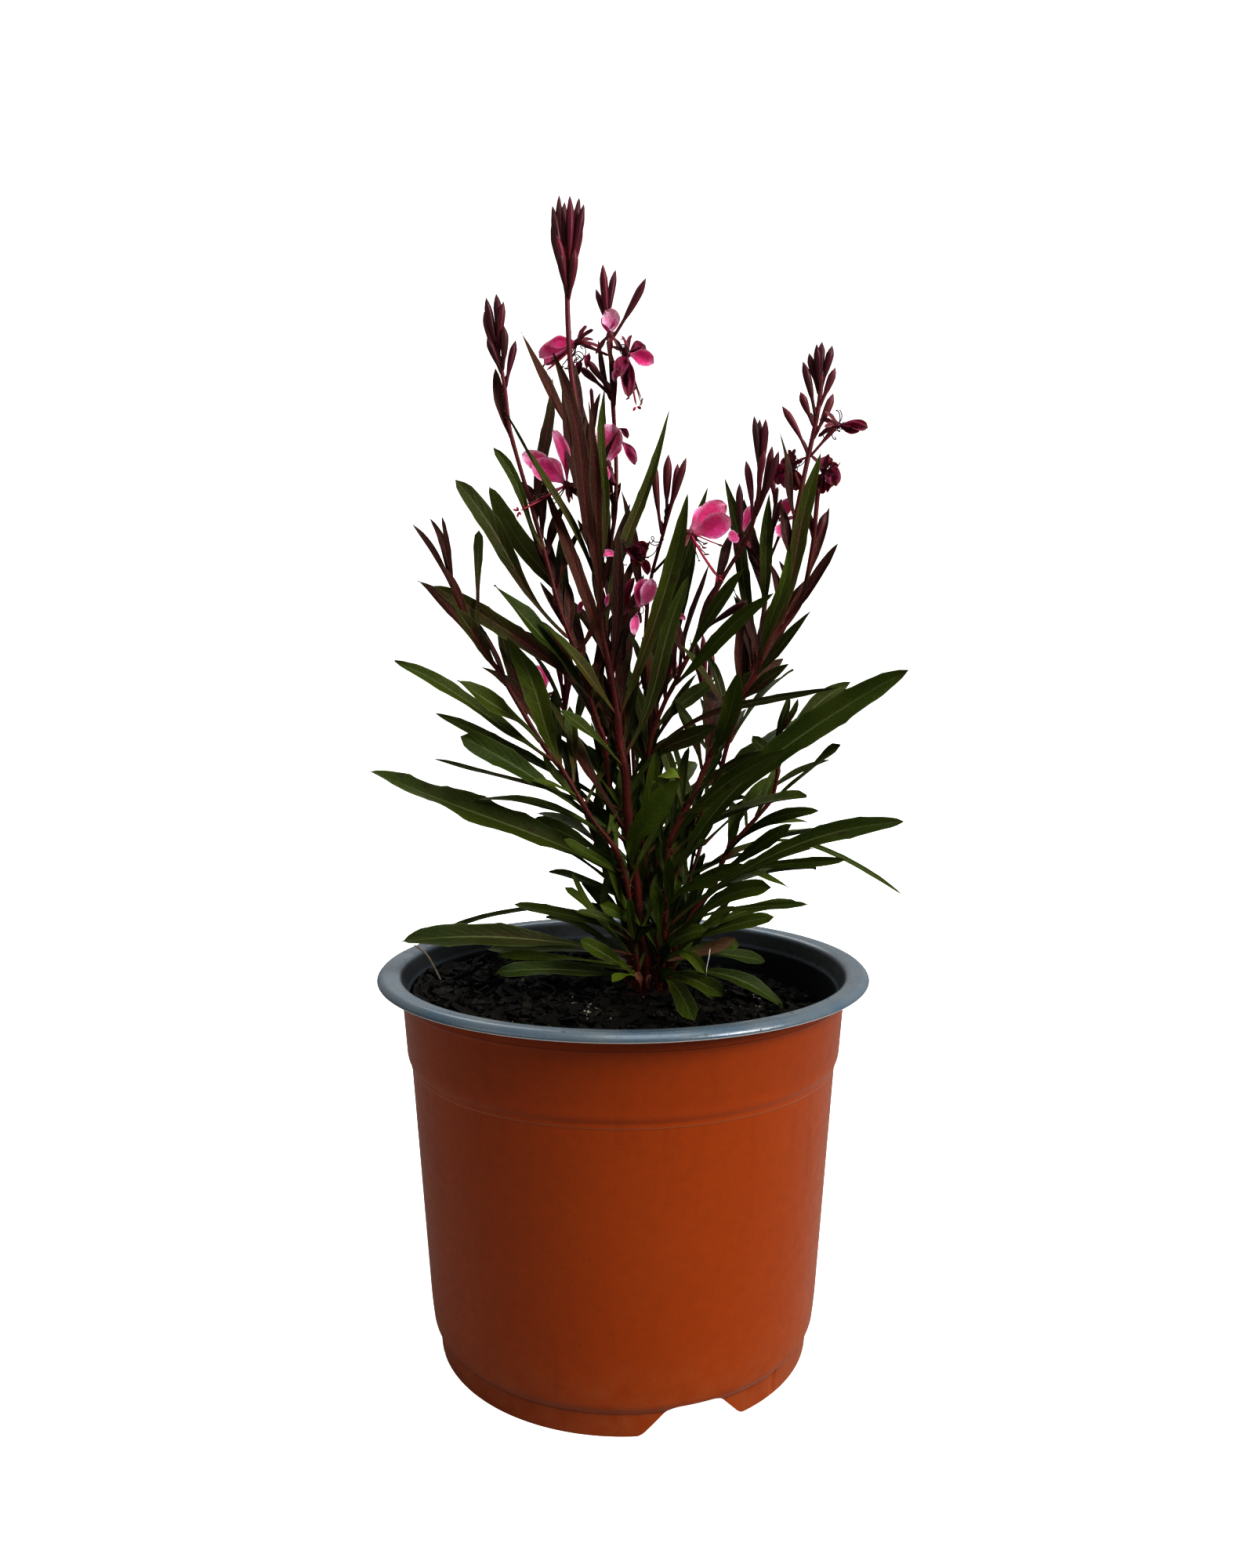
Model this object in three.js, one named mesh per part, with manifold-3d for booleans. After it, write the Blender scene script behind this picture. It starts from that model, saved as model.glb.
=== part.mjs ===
// Potted gaura: a moulded nursery pot of soil with one plant of leafy, budding shoots and pink blooms.
// Millimetres, +Z up. The plant is laid out from the pot's axis, and the front of the pot faces -Y.

import * as THREE from "three";
import { mergeVertices } from "three/addons/utils/BufferGeometryUtils.js";
import Module from "manifold-3d";

const wasm = await Module();
wasm.setup();

// Pot
const POT_HEIGHT = 116.7;
const RIM_RADIUS = 75;
const FOOT_RADIUS = 57.6;
const FOOT_HEIGHT = 9;
const FOOT_WALL = 1.8;
const BODY_FOOT_RADIUS = 60;
const STEP_LEVEL = 85.2;
const STEP_RISE = 5.7;
const STEP_RADIUS = 64.7;
const BAND_RADIUS = 66.2;
const NECK_RADIUS = 67.5;
const FLANGE_LEVEL = 112.6;
const LEDGE_LEVEL = 110.4;
const LEDGE_RADIUS = 65.2;
const WALL = 1.5;
const FLOOR_THICKNESS = 1.6;
const POT_SIDES = 30;
const FEET = 3;
const NOTCH_CENTRE = THREE.MathUtils.degToRad(20.5);
const NOTCH_FOOT_WIDTH = 31;
const NOTCH_TOP_WIDTH = 15.5;
const NOTCH_TOP = 8.5;
const NOTCH_CORNER = 2.4;
const FLUTE_TURN = THREE.MathUtils.degToRad(37);
const FLUTE_RADIUS = 3.4;
const FLUTE_DEPTH = 0.7;
const DRAIN_RADIUS = 5;
const DRAIN_PLACE = 36;

// Soil and crown
const CLEAR = 0.3;
const SOIL_RADIUS = 64.3;
const SOIL_SIDES = 20;
const SOIL_LEVEL = 106.6;
const SOIL_FALL_ACROSS = 0.07;
const SOIL_FALL_DEPTH = 0.03;
const MOUND_RISE = 1.2;
const MOUND_SPREAD = 20;
const CHIP_COUNT = 8;
const CROWN = new THREE.Vector2(7.2, 0.3);
const CROWN_RADIUS = 8.7;
const CROWN_SIDES = 10;
const CROWN_TOP = 108.4;
const CROWN_BOTTOM = 72;
const SOCKET_BOTTOM = 103;
const INNER_RING = 3.9;
const OUTER_RING = 6.9;

// Foliage
const BLADE_THICKNESS = 1.1;
const PETIOLE_HALF_WIDTH = 0.6;
const BLADE_FOLD = 0.22;
const SHORT_LEAF = 25;
const LONG_LEAF = 46;
const GROOVED_LENGTH = 60;
const BROAD_PETAL = 7;
const BEND_STEP = 5;
const TURN_STEP = THREE.MathUtils.degToRad(9);
const BENDS = [0, 1, -1, 2, -2, 3, -3, 4, -4, 5, -5, 6, -6];
const STEM_SIDES = 4;
const BUD_SIDES = 3;
const STEM_STEP = 16;
const STEM_TOLERANCE = 0.4;
const RECEPTACLE_RADIUS = 1.1;
const STALK_RADIUS = 0.5;
const THREAD_RADIUS = 0.4;
const JOIN_TOLERANCE = 0.37;

// Finishes
const FINISHES = {
  pot: { color: 0x8a3d17, roughness: 0.45 },
  soil: { color: 0x1f1813, roughness: 0.95 },
  crown: { color: 0x4a2a1c, roughness: 0.85 },
  shoot: { color: 0x42502a, roughness: 0.6 },
  petal: { color: 0xd8467f, roughness: 0.6 },
  wilted: { color: 0x7a2346, roughness: 0.75 },
  straw: { color: 0xb9ad93, roughness: 0.9 },
};

// Stems, leaves and blooms are placed as seen from a point in front of the pot. A place is [across, up] in
// the upright plane through the pot's axis, and its depth moves it along the line of sight from that point.
const VIEW_POINT = new THREE.Vector3(1.16, -354.5, 202.2);

// Each shoot stands in the crown at [distance from its middle, turn round it in degrees]. Its route is rows
// of [across, up, depth], its thickness runs from foot to top, and a branch starts on a point of the route.
// Leaves are rows of [up on the stem, tip across, tip up, tip depth, width, arch, turn to the front in
// degrees].
// Buds are rows of [up on the stem, tip across, tip up, tip depth, thickness, share that is stalk].
// Rear leaves are spread by rule: [up of the lowest, up of the highest, count, longest, shortest, middle
// azimuth, spread].
const SHOOTS = [
  {
    name: "shoot_main",
    foot: [0, 0],
    thick: [3.8, 1.6],
    route: [
      [7, 118, 0], [5.2, 128, -0.5], [4, 141, -1], [2.7, 148.5, -1.5], [1.8, 158, -2], [1.1, 166.6, -2.5],
      [0.7, 175.6, -3], [-1.1, 184.6, -3], [-2.1, 196, -3.5], [-4.7, 210, -4], [-6.7, 222, -4],
      [-8, 249, -4], [-10, 262, -3.5], [-13, 280, -3], [-15.4, 295, -2.5], [-16.4, 311, -2],
      [-16.6, 324, -2], [-16.7, 332, -2],
    ],
    leaves: [
      [141, -77.8, 176.3, -12, 11, 1.5, 40], [154, -49.7, 187, -22, 9.5, 1, 65],
      [163, -57.2, 194, 8, 5, 1, 40], [147, -45.3, 167.4, -8, 3.6, 7, 40],
      [143, -38.4, 158.6, -4, 4.5, 1, 40], [145.5, -28.6, 161, 6, 6, 1, 50],
      [139, -18.4, 155.4, -16, 3.5, 1, 50], [134, -22.9, 145.2, 8, 4, 1.5, 40],
      [143.6, -7, 131, -16, 3, 12, 40], [127, -5.2, 147.2, -13, 3.5, -1, 60],
      [125, -7.4, 135, -22, 4, 1.5, 60], [157, -24, 200, 12, 8, -1, 45],
      [177, -19.6, 195, -16, 4.5, 1, 45], [189, -57.2, 232.5, -16, 8.5, 3.5, 60],
      [193, -25.3, 222, -12, 5.5, 1, 50], [211, -40.2, 262, 8, 7, -1, 45],
      [232, -34.7, 283, -14, 4.5, 1, 45], [231, -20.8, 300, -20, 6, 1.5, 70],
      [247, -14.5, 294, 12, 4, 1, 50], [261, -30.3, 307, -8, 4, 1, 50], [214, 13.7, 284, 6, 4.5, 2, 60],
      [192, 19.4, 260, -22, 8.5, -2, 75], [180, 20, 236, -8, 9, -1, 70], [144, 17, 174, -48, 11, 4, 85],
      [150, 10, 182.8, -16, 5, -1, 75], [158, -57.6, 180, 2, 2.2, 3, 40],
    ],
    buds: [
      [322, -18.8, 346.2, -1, 2.4, 0.15], [324, -15.7, 346.1, -3, 2.4, 0.15],
      [326, -17.2, 344.3, 1, 2.4, 0.15], [320, -12.9, 345.5, 0, 2.6, 0.2],
      [319, -11.5, 343.7, -3, 2.6, 0.25], [318, -20.8, 343.2, -2, 2.6, 0.2],
      [318, -21.2, 337.5, 2, 2.6, 0.2], [316, -12, 338.2, 2, 2.6, 0.3], [315, -14.2, 331, -5, 2.4, 0.25],
      [317, -19.6, 335, -6, 2.4, 0.25],
    ],
    rear: [152, 204, 3, 52, 34, 100, 60],
  },
  {
    name: "shoot_second",
    foot: [INNER_RING, 108],
    thick: [2, 1.3],
    route: [
      [5.6, 118, 6.5], [4.8, 136, 9.5], [3.5, 150, 11], [2.5, 165, 11], [1.5, 180, 10.5], [0, 195, 10],
      [-1.2, 209, 9.5], [-1.6, 218, 9], [-3.8, 238, 8], [-3.6, 246, 7.5], [-2.3, 255, 7], [-2.1, 268, 7],
      [-2.6, 279, 7], [-3.4, 292, 6], [-3.9, 303, 5.5], [-4.6, 311, 5.5],
    ],
    branches: [
      [[-3.8, 238, 8], [-6.5, 250, 5], [-8.4, 264, 3], [-8.8, 275, 2.5], [-9.1, 285, 2.5], [-9.6, 291, 2.5]],
    ],
    leaves: [
      [240, -5.6, 289, -10, 3.6, -1.5, 60], [284, -4.9, 304.3, -3, 2.2, 1, 60],
      [286, -7.4, 305, 8, 2, -1, 60],
    ],
    buds: [
      [309, -6, 326.6, 4, 2.5, 0.1], [309, -2.2, 325, 7, 2.2, 0.2], [304, 6.8, 322.6, 2, 2.4, 0.35],
      [308, -8.1, 319.5, 8, 1.9, 0.2], [309, -4.3, 319.7, 9.5, 1.8, 0.2], [288, -13, 297, 3, 2.4, 0.5],
      [289, -10.6, 299, 0, 2.2, 0.4], [262, -15.6, 272, 3, 2.2, 0.3],
    ],
    rear: [150, 208, 3, 52, 36, 85, 60],
  },
  {
    name: "shoot_left",
    foot: [INNER_RING, 155],
    thick: [2, 1.3],
    route: [
      [2.9, 118, 3.2], [0.6, 135, 4.5], [-2.2, 150, 3.5], [-4, 165, 1], [-5.6, 184.6, -4],
      [-7.4, 190, -5], [-9.2, 195.6, -6], [-13.1, 209, -7.5], [-17.6, 221, -9], [-20.2, 229, -9],
      [-24.7, 246, -9], [-27.8, 257, -9], [-31.3, 269, -8], [-33.9, 279, -8], [-35.3, 291, -7],
      [-36.8, 299, -7], [-37.8, 306, -7],
    ],
    leaves: [
      [242, -38.9, 273.5, -18, 3.2, 1, 50], [275, -38, 296.5, -4, 3.4, -1, 60],
      [230, -22.5, 248, -2, 3, 0, 50], [216, -50.4, 264, -22, 7, -1, 50],
      [198, -39, 232.7, -28, 8, 1, 60], [203, -25, 222, 2, 3, 0, 50], [221, -19.4, 247, 4, 4.5, 0, 60],
      [252, -21, 294, 12, 4.5, 0, 50], [124, -54, 127.6, 14, 2.4, 3, 40], [118, -24, 131, 10, 4, 2, 45],
      [115, -42, 121, 32, 5.5, 3, 30],
    ],
    buds: [
      [300, -40.6, 317, -8, 2.4, 0.2], [301, -37.6, 318.1, -6, 2.6, 0.2],
      [300, -35.4, 315.9, -8, 2.4, 0.2], [297, -41.2, 313, -5, 2.4, 0.25],
      [294, -40.4, 305.5, -9, 2.2, 0.3], [295, -35.3, 308.8, -9, 2.4, 0.25],
      [290, -31.9, 304.7, -6, 2.2, 0.3],
    ],
    rear: [168, 206, 3, 50, 34, 130, 55],
  },
  {
    name: "shoot_low_left",
    foot: [INNER_RING, 235],
    thick: [2, 1.4],
    route: [
      [3.9, 118, -4.8], [2.6, 130, -6], [1.2, 141, -6.5], [-2, 151.3, -7.5], [-6.5, 157.6, -8.5],
      [-9.6, 161.6, -9], [-13.7, 168.4, -10], [-18.2, 176, -10], [-23.5, 182.8, -9], [-31, 195, -8],
      [-38, 207, -7], [-45, 217, -7], [-51.6, 232, -8],
    ],
    leaves: [
      [228, -63.6, 251, -11, 2.4, 1, 50], [230.5, -58.1, 252.5, -5, 2.6, 1, 50],
      [231, -54.5, 253, -10, 2.2, 0, 50], [179, -69.5, 210, -18, 6, 1, 45],
      [184, -50.5, 204, -28, 7, 1, 50], [178, -43, 208, -1, 5, 4, 50], [176, -35.5, 217.5, -30, 9, 1, 80],
      [168, -27.7, 173.5, 3, 2.2, 1, 40], [206, -62, 234, -2, 4.5, 1, 50],
      [207, -51.4, 226, -24, 5.5, 0, 60], [216, -43.5, 249, 5, 3.6, 0, 60],
      [211, -43, 219.6, 2, 2.6, 0, 60], [192, -38, 221, 9, 5, 0, 50], [221, -56, 240, -20, 3.4, 1, 50],
      [119, -68.7, 123.3, -18, 9, 3, 60], [123, -34.1, 135, 0, 5, 2, 45],
      [115, -38.7, 118.8, -6, 3, 1, 40], [112, -39.5, 113.5, -14, 6, 1.5, 60],
      [113, -13.5, 123.9, -18, 5.5, 0, 60], [114, -30, 115.5, -8, 3, 1, 50],
      [112, -3.6, 110.6, -20, 3, 1.5, 45], [118, -15.9, 145, -12, 2.6, -2, 50],
      [124, -15, 132.8, -16, 3, 2, 50], [111.5, -1.5, 117.1, -14, 2.6, 0, 50],
      [122, 8.5, 128.7, -20, 3.4, 1, 60], [118, 1.5, 137, -16, 3.4, 0, 60],
    ],
    buds: [],
    rear: [165, 200, 2, 44, 32, 140, 50],
  },
  {
    name: "shoot_right",
    foot: [INNER_RING, -22],
    thick: [2.1, 1.6],
    route: [
      [12.2, 118, -2.6], [12.9, 130, -4], [13.3, 140, -5], [14.1, 153.5, -5.5], [17.7, 161.6, -6],
      [20.9, 167.5, -6], [24, 175, -6], [27.6, 183, -6], [31.5, 191, -6], [36.7, 200, -6],
      [40.5, 206.1, -6], [43.3, 213.7, -6], [48.1, 222.6, -6], [50.4, 229.7, -6], [51.2, 241, -6],
      [51.6, 250.6, -6], [53.6, 261.6, -6], [55.9, 272.7, -5], [57.7, 281.5, -5], [58.8, 289, -5],
      [59.2, 295, -5],
    ],
    branches: [
      [
        [36.7, 200, -6], [41.4, 208, -3], [45.7, 216.5, -1], [51, 223.1, 0], [54.5, 229.9, 1],
        [57.2, 244.7, 2], [58, 254, 2], [58.6, 262, 2],
      ],
    ],
    leaves: [
      [136, 86.7, 207.1, -24, 11, 9.5, 45], [127, 86.5, 160.8, -20, 7.5, 7, 40],
      [123, 45.6, 140.5, -32, 6, 3, 55], [124, 57.3, 135, -14, 2.4, 4, 40],
      [122, 54, 135.8, 3, 3.2, 2, 40], [133, 28.9, 141.4, -36, 2.8, 3, 50],
      [134, 36.8, 147.6, -28, 4.5, 2, 55], [205, 56.7, 224.8, -18, 3.6, 0, 50],
      [198, 50.2, 209, -16, 3.8, 0, 50], [197, 48.8, 210.6, 2, 3.6, 1, 50],
      [180, 35.1, 206.6, -28, 6.5, -1.5, 70], [166, 43.3, 182.5, -30, 2.4, 2.5, 40],
      [152, 50.4, 182.9, -36, 5.5, 4, 50], [162, 27.6, 165.2, -30, 2.8, 1, 50],
      [213, 59.3, 272.3, -18, 5.2, -1, 70], [209, 50, 244.7, -24, 4.4, -0.5, 70],
      [252, 46.9, 277.6, -10, 2.8, 0, 60], [145, 11.2, 160, -20, 2.4, 0, 40],
      [110, 15.5, 115, -22, 3.4, 1, 70], [110, 22, 98.2, -44, 6, 5, 30],
      [112.5, 31.6, 106.2, -24, 6, 2, 40], [111, 28.7, 104.8, -13, 3, 3, 40],
      [116, 26, 112.9, -16, 4, 5, 45], [115, 13.2, 123.3, -18, 3.4, 0, 60],
      [117, 34.8, 124.6, -6, 3.6, -1, 55], [114.5, 26.3, 127, -12, 6.5, 4, 45],
      [120, 9.5, 141, -18, 3.6, 0, 60], [126, 14.5, 150, -18, 3.6, -1, 60],
    ],
    branchLeaves: [[221, 64.8, 245.2, -4, 3.2, 0, 50], [232, 62, 256, 12, 3, 0, 50]],
    buds: [
      [288, 57.5, 303.7, -7, 2.3, 0.2], [292, 59.1, 304.3, -4, 2.3, 0.2],
      [290, 62.2, 303.2, -5, 2.4, 0.3], [288, 55.3, 301, -4, 2.2, 0.35],
      [281, 53.5, 298.6, -6, 2.4, 0.35], [284, 63.2, 296.8, -6, 2.3, 0.35],
      [279, 52.9, 289.7, -7, 2.4, 0.35], [275, 62.7, 289.3, -4, 2.4, 0.35],
      [271, 47.4, 285.6, -5, 2.2, 0.35],
    ],
    branchBuds: [[241, 61, 254.5, 5, 2.4, 0.4], [246, 55.6, 255, 5, 2, 0.3]],
    rear: [150, 206, 3, 50, 34, 60, 55],
  },
  {
    name: "shoot_centre_right",
    foot: [INNER_RING, 33],
    thick: [2, 1.3],
    route: [
      [11, 118, 4], [8.6, 136, 6], [6.6, 148, 6], [5.8, 158, 5.5], [7.2, 167, 4.5], [7.6, 178, 3.5],
      [8.7, 187, 3], [12.5, 197, 2], [15.6, 203, 1], [20.9, 213.7, 0], [24.4, 223, 0], [30.5, 235.4, 0],
      [37.5, 247, 0], [40.6, 258, 0], [41.2, 269.6, 0],
    ],
    leaves: [
      [202, 45.7, 230.4, -34, 4.6, 1, 60], [211, 36.7, 237.8, -18, 4.6, 1, 60],
      [178, 28.3, 190.3, -22, 5.5, 1.5, 50], [181, 65.3, 201.8, -26, 2.6, 5, 40],
      [188, 28, 204.5, 12, 5.5, 1, 60], [228, 33, 249, 6, 3, 0, 50],
    ],
    buds: [
      [262, 39.1, 282.8, -1, 2.2, 0.3], [263, 40.8, 281.8, 1.5, 2.3, 0.3],
      [262, 42.6, 281.9, -1, 2.3, 0.3], [257, 42.4, 272.9, -3, 2.2, 0.3], [254, 44.6, 274, 1, 2.2, 0.35],
      [252, 46.6, 272.5, -2, 2.3, 0.35], [251, 36.8, 269.7, 1, 2.3, 0.3], [244, 34.9, 263, 1, 2.3, 0.3],
      [218, 37.7, 228.1, -9, 2.2, 0.35],
    ],
    rear: [150, 206, 3, 50, 34, 80, 60],
  },
  {
    name: "shoot_slender",
    foot: [INNER_RING, 70],
    thick: [1.9, 1.2],
    route: [
      [9.1, 118, 6.6], [10.2, 136, 12], [9.8, 160, 14], [8.4, 185, 15], [6.8, 210, 15], [7.2, 225, 14],
      [8.5, 235, 13], [10.3, 242, 12.5], [12.6, 250, 12], [13.8, 257, 12],
    ],
    leaves: [[205, 25.5, 262, 22, 5, 0, 50], [225, -1, 262, 20, 3.6, 0, 50], [190, 22, 246, 26, 6, 0, 50]],
    buds: [
      [247, 9.4, 269.8, 11, 2.3, 0.3], [253, 13.6, 271.5, 12, 2.8, 0.25], [251, 16.4, 268.9, 15, 2, 0.4],
      [249, 18.9, 270.6, 10, 2.3, 0.35],
    ],
    rear: [150, 206, 3, 52, 36, 75, 65],
  },
  {
    name: "shoot_low_right",
    foot: [OUTER_RING, 3],
    thick: [2, 1.3],
    route: [
      [15.4, 116, 1], [17.4, 127, 2], [22.9, 134.5, 3], [28, 141, 4], [30.8, 149, 5], [33.4, 153.8, 5],
      [36.5, 157, 5], [43.4, 164.8, 5], [46, 169, 5], [47.3, 177, 5], [46.3, 186, 5],
    ],
    leaves: [
      [149, 86.5, 137.8, 6, 1.9, 10, 40], [142, 68.6, 148.9, -8, 3.2, 2, 40],
      [146, 51.1, 140.3, 14, 2.6, 2, 40], [146, 33.5, 167.3, 16, 4, -2, 50],
      [158.5, 36.8, 168.9, 0, 2.2, 0, 50], [150, 60.3, 164.1, -16, 3.6, 4, 50],
      [151.5, 57.3, 160.5, 12, 2.2, 4, 40], [145, 51.9, 159.9, -20, 4.2, 0, 60],
      [166, 66.3, 184.5, -14, 4.5, 0, 50], [161, 48, 178.5, 12, 3.6, 0, 50],
      [184, 50.4, 199.9, 2, 2.6, 0, 60], [184.5, 53.3, 198.5, -2, 2.2, 0, 60],
      [184, 55.1, 193.3, 8, 3.2, 0, 60], [182, 69.3, 203.5, 14, 6.5, 2, 45],
      [178, 39.5, 187, 12, 4.5, 0, 55], [113, 50.6, 101.8, 6, 6, 5, 35],
      [122, 46.8, 131.1, 0, 4.6, 1, 45], [118, 36, 122, 12, 4, 2, 40],
    ],
    buds: [],
    rear: [130, 172, 3, 46, 30, 60, 60],
  },
  {
    name: "shoot_back_right",
    foot: [OUTER_RING, 27],
    thick: [2, 1.4],
    route: [
      [14.4, 118, 5], [13, 134, 8], [14.2, 141, 9], [16.8, 145, 9], [19.5, 151.8, 10], [22.7, 159, 12],
      [26.2, 168, 13], [29.4, 175, 14], [31.5, 183, 14], [34, 191, 14], [38.5, 204, 14], [41, 215, 14],
      [43.3, 230, 14], [44.4, 244, 13], [45.6, 255, 13], [46.3, 262, 13],
    ],
    leaves: [
      [222, 43.9, 260.1, 4, 4.6, 0, 70], [214, 30.5, 264.3, 20, 5.5, 0, 70],
      [226, 36.3, 258.1, 12, 4.8, 0, 70], [204, 38.2, 221.2, 22, 3, -1, 60], [204, 60, 238, 22, 4, 1, 50],
      [116, 44, 117, 26, 5, 3, 35],
    ],
    buds: [[246, 47.7, 258.5, 10, 2.2, 0.3], [256, 44, 268, 16, 2.2, 0.3]],
    rear: [140, 206, 4, 54, 34, 60, 70],
  },
  {
    name: "shoot_back_far_right",
    foot: [OUTER_RING, 54],
    thick: [2, 1.4],
    route: [
      [12.6, 118, 9], [16, 133, 17], [21, 144, 25], [24.4, 156, 31], [25.6, 170, 35], [25.8, 184, 38],
      [25.2, 197, 40], [24.6, 205, 41],
    ],
    leaves: [[116, 26, 119, 46, 5.5, 3, 35]],
    buds: [
      [198, 22, 216, 42, 2.3, 0.3], [199, 24.2, 218, 39, 2.3, 0.3], [196, 27, 214, 43, 2.3, 0.3],
      [194, 22.4, 211, 38, 2.2, 0.35],
    ],
    rear: [132, 194, 7, 56, 32, 50, 120],
  },
  {
    name: "shoot_back_middle",
    foot: [OUTER_RING, 88],
    thick: [2, 1.4],
    route: [
      [7.4, 118, 10.5], [6.6, 134, 18], [5.2, 152, 26], [3.6, 172, 33], [2.6, 190, 38], [1.8, 205, 41],
      [1.4, 217, 42],
    ],
    leaves: [[116, 11, 119, 52, 6, 3, 30], [114, -3, 115, 44, 4.5, 2, 30]],
    buds: [
      [209, -1, 230, 43, 2.4, 0.3], [211, 1.6, 232, 45, 2.4, 0.3], [208, 4.4, 228, 41, 2.3, 0.3],
      [205, -2.6, 224, 46, 2.3, 0.35],
    ],
    rear: [130, 206, 8, 56, 32, 95, 120],
  },
  {
    name: "shoot_back_left",
    foot: [OUTER_RING, 128],
    thick: [2, 1.4],
    route: [
      [1.9, 118, 8.4], [-1, 134, 14], [-6, 148, 21], [-11.4, 163, 27], [-15.4, 178, 32], [-17.6, 192, 35],
      [-18.2, 203, 36],
    ],
    leaves: [[115, -12, 118, 48, 6, 3, 30], [118, -28, 119, 38, 5, 3, 30]],
    buds: [[196, -20.6, 215, 36, 2.3, 0.3], [197, -18, 216, 38, 2.3, 0.3], [194, -16, 212, 34, 2.2, 0.3]],
    rear: [132, 194, 7, 56, 32, 140, 120],
  },
];

// Each bloom stands on a stalk of a shoot, where its foot is [across, up, depth]. Petals are rows as leaves
// are, without the first value, and threads are the tips of its style and stamens.
const BLOOMS = [
  {
    name: "bloom_right",
    finish: "petal",
    stalk: ["shoot_slender", 236],
    foot: [20.2, 248.4, -2],
    petals: [
      [29.6, 256.4, -4, 9, 1, 80], [31.6, 250.6, -6, 9, -1, 80], [26.5, 255.6, 8, 8, 1, 60],
      [27, 250, 11, 8, 0, 60],
    ],
    threads: [[28.5, 235, -12], [29.3, 244.6, -7], [25.4, 239.6, -5]],
  },
  {
    name: "bloom_left",
    finish: "petal",
    stalk: ["shoot_main", 255],
    foot: [-17, 262.6, -6],
    petals: [
      [-26, 272.4, -9, 7.5, 1, 70], [-29, 268, -5, 6.5, 0, 60], [-19.8, 276, -12, 5.5, 1, 60],
      [-24, 270, 2, 6, 0, 50],
    ],
    threads: [[-31.3, 254.7, -16], [-26, 258, -13]],
  },
  {
    name: "bloom_centre",
    finish: "petal",
    stalk: ["shoot_second", 262],
    foot: [-4.6, 268.6, 1],
    petals: [[-4.2, 279.4, -3, 8.6, 0.5, 80], [-7, 262.4, -4, 5, 0, 70], [-1.6, 275, 3.6, 5, 0, 60]],
    threads: [[-7.4, 258.6, -5]],
  },
  {
    name: "bloom_hanging",
    finish: "petal",
    stalk: ["shoot_second", 300],
    foot: [-13.4, 304.2, 6],
    petals: [[-25, 300.4, 6, 6.5, 1, 60], [-23.5, 298.4, 10, 6, 0, 60], [-21, 302.8, 2.5, 4.5, 0.5, 60]],
    threads: [[-23, 295.8, 6]],
  },
  {
    name: "bloom_wilted_top",
    finish: "wilted",
    stalk: ["shoot_second", 297],
    foot: [1.2, 300.6, 0],
    petals: [
      [8.8, 298.4, -2, 6, 0.5, 80], [6.6, 303.2, 2, 5, 0, 70], [0.6, 287, -3, 5, 1, 70],
      [-1.6, 294, -4, 4.5, 1, 70],
    ],
    threads: [[4, 285.4, 0]],
  },
  {
    name: "bloom_closing",
    finish: "petal",
    stalk: ["shoot_second", 301],
    foot: [-3.9, 306.2, -1.6],
    petals: [[-5.8, 313, -2.8, 6.5, 1.5, 80], [-2.6, 312.6, -4.4, 5, 1.4, 70]],
    threads: [],
  },
  {
    name: "bloom_low",
    finish: "wilted",
    stalk: ["shoot_second", 222],
    foot: [2.6, 230, -1],
    petals: [[9, 234, -4, 8, 0.5, 80], [3.4, 240, -3, 5, 1, 70], [3.7, 218.4, -5, 4, 0.5, 70]],
    threads: [],
  },
  {
    name: "bloom_wilted_right",
    finish: "wilted",
    stalk: ["shoot_right/0", 258],
    foot: [60.6, 266, 3],
    petals: [[64, 262, 0, 5, 2, 70], [57.4, 259.4, 8, 5, 1, 70], [62.4, 270.4, 6, 4, 1, 60]],
    threads: [],
  },
  {
    name: "bloom_wilted_inner",
    finish: "wilted",
    stalk: ["shoot_right/0", 250],
    foot: [50.6, 267.6, 4],
    petals: [[46.2, 262.4, 3, 5.5, 1.5, 70], [52, 260.6, 8, 4.5, 1, 60], [49, 271.4, 7, 4, 0.5, 60]],
    threads: [],
  },
  {
    name: "bloom_pale_right",
    finish: "petal",
    stalk: ["shoot_back_right", 240],
    foot: [49, 252.4, 9],
    petals: [[47.2, 246.8, 5, 4.6, 0, 70], [49.4, 258.6, 7, 4, 0, 60]],
    threads: [],
  },
  {
    name: "bloom_pale_inner",
    finish: "petal",
    stalk: ["shoot_back_right", 236],
    foot: [35.6, 247.4, 8],
    petals: [[31.6, 246.6, 6, 4.6, 0, 70], [38.9, 256.6, 9, 3.6, 0, 60]],
    threads: [],
  },
  {
    name: "bloom_spent",
    finish: "wilted",
    stalk: ["shoot_right", 270],
    foot: [64, 280, -5],
    petals: [[72.2, 277.4, -5, 4.6, 1.4, 70]],
    threads: [],
  },
  {
    name: "bloom_back_left",
    finish: "petal",
    stalk: ["shoot_back_left", 192],
    foot: [-24, 199, 43],
    petals: [
      [-31, 206, 46, 9, 1, -60], [-33, 200, 44, 9, 0, -60], [-28, 208, 51, 8, 1, -70],
      [-29, 200, 54, 8, 0, -70],
    ],
    threads: [[-30, 189, 52], [-28, 193, 54]],
  },
  {
    name: "bloom_back_middle",
    finish: "petal",
    stalk: ["shoot_back_middle", 199],
    foot: [8, 207, 50],
    petals: [
      [15.4, 212, 53, 9, 1, -60], [13.4, 216, 57, 8, 1, -60], [17, 207, 55, 9, 0, -60],
      [10, 213, 60, 8, 1, -70],
    ],
    threads: [[14, 198, 58], [11, 201, 59]],
  },
];

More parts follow.
